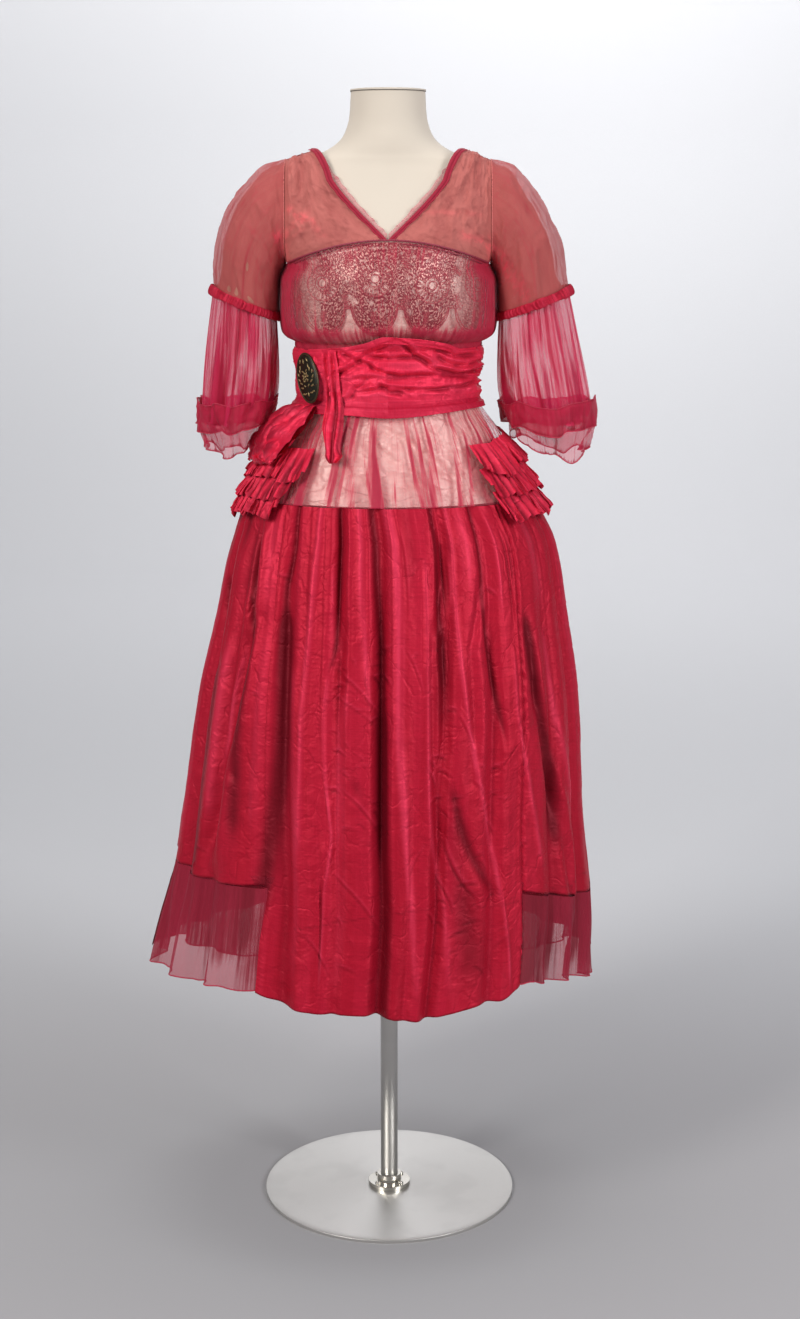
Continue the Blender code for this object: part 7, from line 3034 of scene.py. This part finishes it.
    def frill(self, side: Side) -> Sheet:
        """The thin wavy frill inside the neckline.

        Args:
            side: Which side of the dress it is for.

        Returns:
            The sheet of cloth.
        """
        up = np.linspace(0.02, 0.84, 160)[None, :]
        share = np.linspace(0, 1, 9)[:, None]
        wave = Crumple(133 + side.value).soft(up * 26, 0.0)
        edge_x, edge_z = self.cut.neckline(up)
        reach = self.frill_width * (1.0 + 0.30 * wave)
        x = np.maximum(edge_x + 0.0012 - (reach + 0.0012) * share, 0.0009)
        z = edge_z + 0.0018 * share
        y = -FORM.depth_at(x, z, self.frill_out, True) - (0.0007 + 0.0022 * share * (1 + wave))
        points = np.stack([side.value * x, y, z], axis=-1)
        dense = 0.10 + 0.25 * share + 0.15 * wave
        return Sheet(f"neckline_frill_{side.label}", points, False, {"fullness": dense})

    def cords(self, wardrobe: Wardrobe) -> None:
        """The dark cord along the lace line, doubled to the viewer's right, and the armhole seams.

        Args:
            wardrobe: Puts the pieces in the scene.
        """
        paths = []
        for start, end, drop, radius in (
            (-1.0, 1.0, 0.0, self.piping_radius),
            (0.08, 0.97, 0.0042, 0.0007),
            (-0.97, -0.1, 0.0036, 0.0006),
        ):
            x = (self.cut.armhole - 0.004) * np.sin(np.linspace(start, end, 120) * math.pi / 2)
            if drop:
                angles = np.degrees(np.arcsin(np.clip(x / 0.158, -1, 1)))
                path = self.cut.seam(angles, self.cut.yoke_out + 0.0010) - (0.0, 0.0012, drop)
            else:
                z = self.cut.lace_height(x)
                y = -FORM.depth_at(x, z, self.cut.yoke_out + 0.0006 + radius, True) - 0.0004
                path = np.stack([x, y, z], axis=-1)
            paths.append((path, radius, False))
        wardrobe.cords("lace_line_cord", paths, Cord("dark_cord", (0.190, 0.014, 0.032)), ["bust_piping"])
        rings = []
        for side in Side:
            ring = self.cut.armhole_ring(np.arange(96) * 3.75, side.value, self.cut.yoke_out + 0.0012)
            rings.append((ring, 0.0008, True))
        wardrobe.cords("armhole_seams", rings, Cord("seam_cord", (0.400, 0.095, 0.085)))

    def dress(self, wardrobe: Wardrobe) -> None:
        """Sews the bodice together.

        Args:
            wardrobe: Puts the pieces in the scene.
        """
        silk = LiningSilk("bodice_silk", (0.99, 0.80, 0.70), (0.94, 0.58, 0.50))
        mauve = Chiffon("bodice_chiffon", (0.780, 0.050, 0.110), (0.400, 0.012, 0.040), 0.17, 0.95)
        doubled = Chiffon("neck_chiffon", (0.520, 0.030, 0.066), (0.330, 0.012, 0.036), 0.80, 0.98)
        pale = Chiffon("frill_chiffon", (0.720, 0.130, 0.190), (0.480, 0.040, 0.080), 0.42, 0.85)
        wardrobe.cloth(self.lining(), silk, ["bodice_lining"])
        front = self.body("bodice_front_chiffon", -89.85, 89.85, 141)
        wardrobe.cloth(front, mauve, ["bodice_front"])
        back = self.body("bodice_back_chiffon", 90.15, 269.85, 145)
        wardrobe.cloth(back, mauve, ["bodice_back"])
        for side in Side:
            for sheet, kind, held, rests_on, node in (
                (self.yoke(side), LinedChiffon(), "stretched", "covered_form", "yoke_front"),
                (self.neck_band(side), doubled, "folded", f"front_yoke_{side.label}", "neck_band"),
                (self.frill(side), pale, "gathered", f"neckline_band_{side.label}", "neck_frill"),
            ):
                wardrobe.cloth(sheet, kind, [f"{node}_{side.label}"])
        wardrobe.cloth(self.back_yoke(), LinedChiffon(), ["yoke_back"])
        self.cords(wardrobe)


class Roundel(NamedTuple):
    """A round motif of the lace: its eye's place, and the arc of open petals, clockwise from the top."""

    angle: float
    height: float
    open_from: float
    open_to: float


@dataclass
class LaceBand:
    """The scalloped lace band across the bust, its gaps open and its motifs outlined in cord."""

    cut: BodiceCut
    out: float = 0.0034
    reach: float = 85.0
    pitch: float = 31.0
    shift: float = -8.0
    arch_top: float = 1.3420
    eye: float = 0.0052
    petals: int = 18
    petal_ring: float = 0.0178
    petal_length: float = 0.0102
    petal_width: float = 0.0040
    wide_spots: tuple[tuple[float, float, float], ...] = (
        (42, 1.372, 12), (-58, 1.338, 9), (40, 1.345, 10), (-22, 1.352, 8), (-52, 1.390, 6), (66, 1.36, 9),
    )
    roundels: tuple[Roundel, ...] = (
        Roundel(-70.5, 1.3640, 0.0, 0.0),
        Roundel(-38.8, 1.3760, 90.0, 265.0),
        Roundel(-7.1, 1.3828, 120.0, 245.0),
        Roundel(25.9, 1.3732, 60.0, 300.0),
        Roundel(57.0, 1.3740, 150.0, 240.0),
    )

    def bottom(self, angles: Array) -> Array:
        """Height of the scalloped edge.

        Args:
            angles: Angle of each point in degrees.

        Returns:
            The height at each angle.
        """
        phase = (angles - self.shift + self.pitch / 2) / self.pitch
        aside = np.abs(phase - np.round(phase))
        lobe = 1.3060 + 0.004 * (angles / self.reach) ** 2 + 0.0060 * np.clip((0.5 - aside) / 0.5, 0, 1) ** 4
        arch = 1 - np.sqrt(1 - np.clip((0.5 - aside) / 0.44, 0, 1) ** 2)
        return lobe + (self.arch_top - lobe) * arch

    def top(self, angles: Array) -> Array:
        """Height of the band's upper edge, just under the cord."""
        return self.cut.lace_height(np.abs(self.cut.armhole * np.sin(np.radians(angles)))) - 0.003

    def place(self, heights: Array, angles: Array, lift: Array | float = 0.0) -> Array:
        """Points on the lace, which leaves the lining at the sides and follows the chiffon there.

        Args:
            heights: Height of each point.
            angles: Angle of each point in degrees.
            lift: How far it is lifted off the cloth below.

        Returns:
            The points.
        """
        near = FORM.place(heights, angles, self.out + lift)
        far = BLOUSE.place(heights, angles, lift - 0.0045)
        away = 0.9 * eased(np.abs(angles), 22.0, 62.0) * eased(1.424 - np.asarray(heights), 0.0, 0.045)
        return near + (far - near) * np.broadcast_to(away, near.shape[:-1])[..., None]

    def on_form(self, roundel: Roundel, across: Array, up: Array, lift: float = 0.0) -> Array:
        """Points at distances across and up from a roundel's eye.

        Args:
            roundel: The motif.
            across: Distance across, in metres.
            up: Distance up, in metres.
            lift: How far it is lifted off the cloth below.

        Returns:
            The points.
        """
        wide = FORM.read("half_width", np.array(roundel.height))
        angles = roundel.angle + np.degrees(np.asarray(across) / wide)
        return self.place(roundel.height + np.asarray(up), angles, lift)

    def openness(self, angles: Array, heights: Array) -> tuple[Array, Array]:
        """Where the lace is cut through, and where its mesh is wide.

        Args:
            angles: Angle of each point.
            heights: Height of each point.

        Returns:
            Distance into the nearest gap in millimetres, negative outside it, and the wide mesh from 0 to 1.
        """
        gap = np.full(angles.shape, -5.0)
        wide = 0.55 * Crumple(151).creased(angles / 8.0, heights / 0.019) ** 3
        for roundel in self.roundels:
            across = np.radians(angles - roundel.angle) * FORM.read("half_width", np.array(roundel.height))
            up = heights - roundel.height
            far = np.hypot(across, up)
            gap = np.maximum(gap, (self.eye - far) * 1000)
            clock = np.degrees(np.arctan2(across, up)) % 360.0
            step = 360.0 / self.petals
            number = np.floor(clock / step)
            middle = (number + 0.5) * step
            shown = (middle > roundel.open_from) & (middle < roundel.open_to)
            aside = far * np.radians(clock - middle)
            along = far - self.petal_ring
            inside = 1 - (2 * along / self.petal_length) ** 2 - (2 * aside / self.petal_width) ** 2
            gap = np.where(shown, np.maximum(gap, inside * self.petal_width * 250), gap)
            wide = np.maximum(wide, bell(far - 0.0085, 0.0022) * 0.8)
        for spot, height, size in self.wide_spots:
            across = np.radians(angles - spot) * 0.136 / (size * 0.001)
            up = (heights - height) / (size * 0.0012)
            wide = np.maximum(wide, np.exp(-(across**2) - up**2))
        row = self.top(angles) - 0.0065
        eyelet = (angles % 2.1 - 1.05) * 0.0022
        gap = np.maximum(gap, (0.0013 - np.hypot(eyelet, heights - row)) * 1000 * (np.abs(angles) < 40))
        return gap, wide

    def net(self) -> Sheet:
        """The net itself.

        Returns:
            The sheet of cloth.
        """
        columns, rows = 340, 106
        angles = np.broadcast_to(np.linspace(-self.reach, self.reach, columns), (rows, columns))
        part = np.linspace(0, 1, rows)[:, None]
        top, bottom = self.top(angles), self.bottom(angles)
        heights = top + (bottom - top) * part
        gap, wide = self.openness(angles, heights)
        soft = 0.0003 * Crumple(153).soft(angles / 6.0, heights / 0.02)
        points = self.place(heights, angles, soft)
        return Sheet("lace_net", points, False, {"gap": gap, "openwork": wide})

    def outlines(self) -> list[Path]:
        """The cords that outline the scallops, the roundels and the leaves between them.

        Returns:
            For each cord its middle line, its radius and whether it is a ring.
        """
        paths = []
        angles = np.linspace(-self.reach, self.reach, 420)
        edge = self.bottom(angles)
        slope = np.gradient(edge, angles * math.radians(1) * 0.13)
        lift = 0.0034 * np.minimum(np.sqrt(1 + slope**2), 2.2)
        for rise, radius in ((0.0002, 0.00075), (lift, 0.0006)):
            paths.append((self.place(edge + rise, angles, 0.0004), radius, False))
        turn = np.arange(40) * 2 * math.pi / 40
        for roundel in self.roundels:
            for radius, thick in ((self.eye + 0.0005, 0.0007), (0.0108, 0.0006), (0.0240, 0.0006)):
                ring = self.on_form(roundel, radius * np.cos(turn), radius * np.sin(turn), 0.0004)
                paths.append((ring, thick, True))
            for number in range(self.petals):
                clock = math.radians((number + 0.5) * 360.0 / self.petals)
                outwards = np.array([math.sin(clock), math.cos(clock)])
                aside = np.array([outwards[1], -outwards[0]])
                small = np.arange(12) * math.pi / 6
                along = self.petal_ring + 0.5 * self.petal_length * np.cos(small)
                outline = np.outer(along, outwards) + np.outer(0.5 * self.petal_width * np.sin(small), aside)
                paths.append((self.on_form(roundel, outline[:, 0], outline[:, 1], 0.0003), 0.00035, True))
        return paths + self.leaves()

    def leaves(self) -> list[Path]:
        """Small stems with paired leaves, in the spaces between the roundels.

        Returns:
            For each cord its middle line, its radius and whether it is a ring.
        """
        paths = []
        for spot, height, lean, size in (
            (-55, 1.352, 0.5, 1.0), (-24, 1.352, -0.3, 0.9), (9.5, 1.350, 0.4, 0.9), (42, 1.350, -0.4, 1.0),
            (-54, 1.398, 0.8, 0.8), (-22.5, 1.405, 0.6, 0.8), (10, 1.402, -0.7, 0.8), (42, 1.392, -0.9, 0.8),
            (-39, 1.330, 0.1, 0.7), (-8, 1.330, -0.1, 0.7), (23, 1.329, 0.1, 0.7), (54, 1.331, 0.0, 0.7),
        ):
            middle = Roundel(spot, height, 0.0, 0.0)
            part = np.linspace(-1, 1, 16)
            stem_x = 0.010 * size * (part * math.sin(lean) + 0.25 * (part**2 - 0.5))
            stem_y = 0.011 * size * part * math.cos(lean)
            paths.append((self.on_form(middle, stem_x, stem_y, 0.0003), 0.0005, False))
            for number in range(5):
                at = 3 * number + 1
                for side in (-1, 1):
                    turn = lean + side * 0.95
                    small = np.arange(9) * 2 * math.pi / 9
                    along = 0.0030 * size * (1 + np.cos(small))
                    aside = 0.0013 * size * np.sin(small)
                    x = stem_x[at] + along * math.sin(turn) + aside * math.cos(turn)
                    y = stem_y[at] + along * math.cos(turn) - aside * math.sin(turn)
                    paths.append((self.on_form(middle, x, y, 0.0003), 0.00038, True))
        return paths

    def dress(self, wardrobe: Wardrobe) -> None:
        """Lays the lace over the lining.

        Args:
            wardrobe: Puts the pieces in the scene.
        """
        kind = Cord("lace_thread", (0.280, 0.060, 0.065), 0.5, "lace")
        threads = wardrobe.cords("lace_cords", self.outlines(), kind)
        wardrobe.cloth(self.net(), Lace(), ["lace_band"])


@dataclass
class Sleeves:
    """Both sleeves: upper part over its net, ruched band, gathered lower part, doubled cuff and frill."""

    cut: BodiceCut
    left_narrower: float = 0.090
    upper: tuple[Slice, ...] = (
        Slice(0.1720, 1.5325, 0.1452, 1.3940, 0.0660, 0.001, 0.0),
        Slice(0.1985, 1.5100, 0.1500, 1.3850, 0.0720, 0.001, 0.0),
        Slice(0.2230, 1.4760, 0.1525, 1.3720, 0.0740, 0.001, 0.0),
        Slice(0.2430, 1.4280, 0.1535, 1.3560, 0.0730, 0.001, 0.0),
        Slice(0.2545, 1.3640, 0.1545, 1.3280, 0.0670, 0.002, 0.0),
    )
    lower: tuple[Slice, ...] = (
        Slice(0.2550, 1.3636, 0.1565, 1.3276, 0.0670, 0.002, 0.0),
        Slice(0.2720, 1.2960, 0.1545, 1.2760, 0.0740, 0.008, 0.0),
        Slice(0.2870, 1.2340, 0.1560, 1.2260, 0.0790, 0.018, 0.004),
        Slice(0.2970, 1.1820, 0.1640, 1.1900, 0.0820, 0.026, 0.010),
    )
    cuff: tuple[Slice, ...] = (
        Slice(0.2960, 1.2080, 0.1580, 1.2100, 0.0830, 0.022, 0.006),
        Slice(0.3010, 1.1900, 0.1590, 1.1960, 0.0860, 0.025, 0.009),
        Slice(0.3040, 1.1700, 0.1610, 1.1800, 0.0870, 0.028, 0.012),
    )
    frill: tuple[Slice, ...] = (
        Slice(0.2970, 1.1812, 0.1640, 1.1892, 0.0820, 0.026, 0.010),
        Slice(0.2990, 1.1600, 0.1680, 1.1740, 0.0830, 0.029, 0.014),
        Slice(0.2960, 1.1370, 0.1720, 1.1600, 0.0820, 0.032, 0.020),
    )
    band: tuple[Slice, ...] = (
        Slice(0.2520, 1.3700, 0.1580, 1.3340, 0.0670, 0.002, 0.0),
        Slice(0.2550, 1.3636, 0.1565, 1.3276, 0.0670, 0.002, 0.0),
        Slice(0.2580, 1.3570, 0.1576, 1.3215, 0.0675, 0.002, 0.0),
    )

    def rings(self, table: Sequence[Slice], turns: Array, side: Side, out: float = 0.0) -> Array:
        """Rings of points through a table of sections.

        Args:
            table: The sections, from the armhole down.
            turns: Angles round each ring in degrees, 0 at the outer point and 90 at the front.
            side: Which sleeve.
            out: How far outside the sections.

        Returns:
            The rings.
        """
        turns = np.radians(turns)
        rings = []
        for row in table:
            outer_x = row.outer_x
            if side is Side.LEFT:
                outer_x *= 1 - self.left_narrower * min(max((1.47 - row.outer_z) / 0.30, 0), 1)
            outer, inner = np.array([outer_x, row.outer_z]), np.array([row.inner_x, row.inner_z])
            middle, half = (outer + inner) / 2, (outer - inner) / 2
            grown = 1 + out / np.linalg.norm(half)
            x = middle[0] + half[0] * np.cos(turns) * grown
            z = middle[1] + half[1] * np.cos(turns) * grown - row.sag * np.sin(turns) ** 2
            y = row.middle - (row.depth + out) * np.sin(turns)
            rings.append(np.stack([side.value * x, y, z], axis=-1))
        return np.stack(rings)

    def upper_sleeve(self, side: Side, net: bool) -> Sheet:
        """The upper sleeve, or the tan net inside it, which is cut narrower.

        Args:
            side: Which side of the dress it is for.
            net: Whether it is the net.

        Returns:
            The sheet of cloth.
        """
        turns, part = ring_grid(90, 44) if net else ring_grid(132, 66)
        share = turns / 360.0
        out = -0.0011 if net else 0.0
        top = self.cut.armhole_ring(turns[0], side.value, self.cut.yoke_out + 0.0015 + out)
        points = refine(np.concatenate([top[None], self.rings(self.upper, turns[0], side, out)]), part.size)
        seed = 171 + side.value + (10 if net else 0)
        outer = np.clip(np.cos(np.radians(turns)), 0, 1) ** 3
        push = 0.0026 * Crumple(seed).soft(share * 16 + part, part * 4)
        push = push + 0.0046 * (Crumple(seed + 3).creased(share * 15 - part, part * 5) - 0.5)
        gathers = Gathers(30, seed + 5, 0.0018, (0.0, 0.05, 0.2, 0.9), 0.3, 0.6, True).push(share, part)
        body_side = bell(turns - 180.0, 42.0)
        push = (push + gathers) * eased(part, 0.0, 0.12) * eased(1 - part, 0.0, 0.06) * (1 - 0.9 * body_side)
        if net:
            inwards = 0.0120 if side is Side.RIGHT else 0.0050
            push = push * 0.5 - 0.0034 + 0.0026 * body_side - inwards * outer * eased(part, 0.12, 0.5)
            push = push * eased(part, 0.0, 0.08) * (0.35 + 0.65 * eased(1 - part, 0.0, 0.1))
        points = pushed(points, push, True)
        lines = -Gathers(54, seed + 7, 1.0, (0.5, 0.7, 1.0, 1.0), 0.22, 2.0, True).push(share, part)
        slant = Crumple(seed + 8).creased(share * 13 + part * 2.0, part * 5 - share * 9)
        streak = 0.50 * lines + 0.55 * slant**3 + 0.35 * Crumple(seed + 6).creased(share * 30, part * 3) ** 3
        streak = streak + walls(gathers, 0.0034, 0.6)
        # Denser, darker chiffon on the inner side by the body: partly the layered cloth there, partly painted
        # shade in the gap under the arm.
        streak = streak + 0.9 * bell(turns - 180.0, 24.0) * eased(part, 0.0, 0.2)
        patch = rumpled(points[..., 0], points[..., 2]) * (points[..., 1] < 0)
        behind = 0.5 * Crumple(seed + 9).creased(share * 9, part * 5) ** 5 * (points[..., 1] > 0)
        patch = np.maximum(patch, behind)
        marks = {"fullness": np.clip(streak, 0, 1), "patch": patch}
        name = "sleeve_net" if net else "top_sleeve"
        return Sheet(f"{name}_{side.label}", points, True, marks)

    def lower_sleeve(self, side: Side) -> Sheet:
        """The gathered sheer lower sleeve.

        Args:
            side: Which side of the dress it is for.

        Returns:
            The sheet of cloth.
        """
        turns, part = ring_grid(280, 62)
        share = turns / 360.0
        points = refine(self.rings(self.lower, turns[0], side), part.size)
        deep = Gathers(24, 191 + side.value, 0.0100, (0.20, 0.7, 0.95, 1.1), 0.34, 0.9, True)
        wide = deep.push(share, part)
        fine = Gathers(70, 193 + side.value, 0.0022, (1.0, 0.9, 0.5, 0.4), 0.34, 1.2, True).push(share, part)
        wander = share + 0.010 * Crumple(197).soft(share * 9, part * 2.6)
        lines = -Gathers(72, 195 + side.value, 1.0, (1.0, 0.9, 0.8, 0.9), 0.27, 1.6, True).push(wander, part)
        lines = lines * (0.65 + 0.5 * Crumple(198).soft(share * 30, part * 3))
        strips = eased(Crumple(199).soft(share * 15 + 0.6 * part, part * 1.2), -0.15, 0.45)
        dense = 0.80 * lines + walls(wide, SLEEVE_PITCH, 0.8) + walls(fine, SLEEVE_PITCH, 0.5)
        dense = dense + 0.42 * strips + 0.2 * (1 - eased(part, 0.0, 0.12))
        if side is Side.LEFT:
            dense = dense + 0.16
        points = pushed(points, wide + fine, True)
        return Sheet(f"sheer_sleeve_{side.label}", points, True, {"fullness": np.clip(dense, 0, 1)})

    def ruching(self, side: Side) -> Sheet:
        """The narrow band of taffeta drawn up in tiny pleats.

        Args:
            side: Which side of the dress it is for.

        Returns:
            The sheet of cloth.
        """
        turns, part = ring_grid(360, 14)
        share = turns / 360.0
        points = refine(self.rings(self.band, turns[0], side, 0.0042), part.size)
        lean = 0.7 * Crumple(201).soft(share * 30, 0.0)
        wide = 0.6 + 0.4 * Crumple(203).soft(share * 40, 0.0)
        pleat = np.abs(np.sin(math.pi * (share * 52 + lean + 0.5 * part))) * wide
        bulge = np.sin(math.pi * part)
        push = 0.0020 * bulge**0.6 + 0.0048 * (pleat - 0.6) * (0.35 + 0.65 * bulge)
        points = pushed(points, push, True)
        points[..., 2] += 0.0010 * Crumple(205).soft(share * 44, 0.0) * (part - 0.5) * 2
        return Sheet(f"ruching_{side.label}", points, True)

    def cuff_part(
        self, side: Side, table: Sequence[Slice], name: str, seed: int, lift: float, dark: float
    ) -> Sheet:
        """The doubled cuff, or the frill that hangs below it.

        Args:
            side: Which side of the dress it is for.
            table: Its sections.
            name: Its name.
            seed: Which random draws it takes.
            lift: How far it is lifted off the cloth below.
            dark: How dense its cloth is at the least.

        Returns:
            The sheet of cloth.
        """
        turns, part = ring_grid(250, 20)
        share = turns / 360.0
        points = refine(self.rings(table, turns[0], side, lift), part.size)
        fold = Gathers(17, seed, 0.0120, (0.6, 0.8, 1.2), 0.40, 1.2, True).push(share, part)
        fine = 0.0022 * Crumple(seed + 1).creased(share * 34, part * 2)
        points = pushed(points, fold + fine, True)
        ripple = Crumple(seed + 3).soft(share * 17, 0.0)
        points[..., 2] += 0.0075 * ripple * (0.5 + np.abs(part - 0.5))
        lines = -Gathers(50, seed + 5, 1.0, (1.0, 1.0), 0.20, 0.8, True).push(share, part)
        dense = dark + 0.4 * lines + walls(fold, SLEEVE_PITCH, 0.5)
        dense = dense + 0.35 * eased(part, 0.86, 0.93) + 0.20 * (1 - eased(part, 0.04, 0.10))
        return Sheet(f"{name}_{side.label}", points, True, {"fullness": np.clip(dense, 0, 1.1)})

    def dress(self, wardrobe: Wardrobe) -> None:
        """Sets both sleeves in.

        Args:
            wardrobe: Puts the pieces in the scene.
        """
        outer = Chiffon("sleeve_chiffon", (0.560, 0.100, 0.100), (0.340, 0.030, 0.040), 0.60, 0.94)
        net = LinedChiffon(
            "sleeve_net_tan", (0.500, 0.210, 0.155), (0.380, 0.130, 0.100), (0.90, 0.12, 0.16), 0.85
        )
        sheer = Chiffon("lower_chiffon", (0.820, 0.022, 0.110), (0.400, 0.006, 0.036), 0.48, 0.97)
        doubled = Chiffon("cuff_chiffon", (0.600, 0.014, 0.062), (0.300, 0.005, 0.024), 0.70, 0.97)
        single = Chiffon("frill_veil", (0.640, 0.020, 0.075), (0.300, 0.005, 0.024), 0.50, 0.97)
        ruched = Taffeta("ruched_taffeta", (0.42, 0.008, 0.028), (0.56, 0.03, 0.07), crinkle=0.0004)
        for side in Side:
            label = side.label
            wardrobe.cloth(self.upper_sleeve(side, True), net)
            for sheet, kind, rests_on, node in (
                (self.upper_sleeve(side, False), outer, "front_yoke", "upper_sleeve"),
                (self.lower_sleeve(side), sheer, "ruching", "lower_sleeve"),
                (self.ruching(side), ruched, "top_sleeve", "ruched_band"),
            ):
                wardrobe.cloth(sheet, kind, [f"{node}_{label}"])
            cuff = self.cuff_part(side, self.cuff, "cuff_double", 211 + side.value, 0.0018, 0.42)
            edges = [(cuff.points[-1], 0.0009, True), (cuff.points[0], 0.0007, True)]
            roll = wardrobe.cords(f"{cuff.name}_roll", edges, ROLLED_HEM)
            wardrobe.cloth(
                cuff, doubled, [f"cuff_band_{label}"]
            )
            frill = self.cuff_part(side, self.frill, "wrist_frill", 221 + side.value, 0.0, 0.02)
            roll = wardrobe.cords(f"{frill.name}_roll", [(frill.points[-1], 0.0009, True)], ROLLED_HEM)
            wardrobe.cloth(
                frill, single, [f"cuff_frill_{label}"]
            )


def corners() -> list[list[float]]:
    """The lowest and highest corner of all that shows, as plain lists."""
    return [[float(value) for value in corner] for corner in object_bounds()]


def main() -> None:
    """Builds the studio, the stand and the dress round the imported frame."""
    logging.basicConfig(level=logging.INFO, format="%(name)s: %(message)s")
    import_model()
    wardrobe = Wardrobe()
    skirt, bodice = SkirtCut(), BodiceCut()
    panels = SkirtPanels(skirt)
    Studio().dress()
    for part in (
        Stand(), DressForm(), SkirtYoke(), panels, HemBands(skirt, panels), HipRuffles(),
        Sash(), Bow(), Ornament(), Bodice(bodice), LaceBand(bodice), Sleeves(bodice),
    ):
        LOG.info("making %s", type(part).__name__)
        part.dress(wardrobe)


if __name__ == "__main__":
    main()
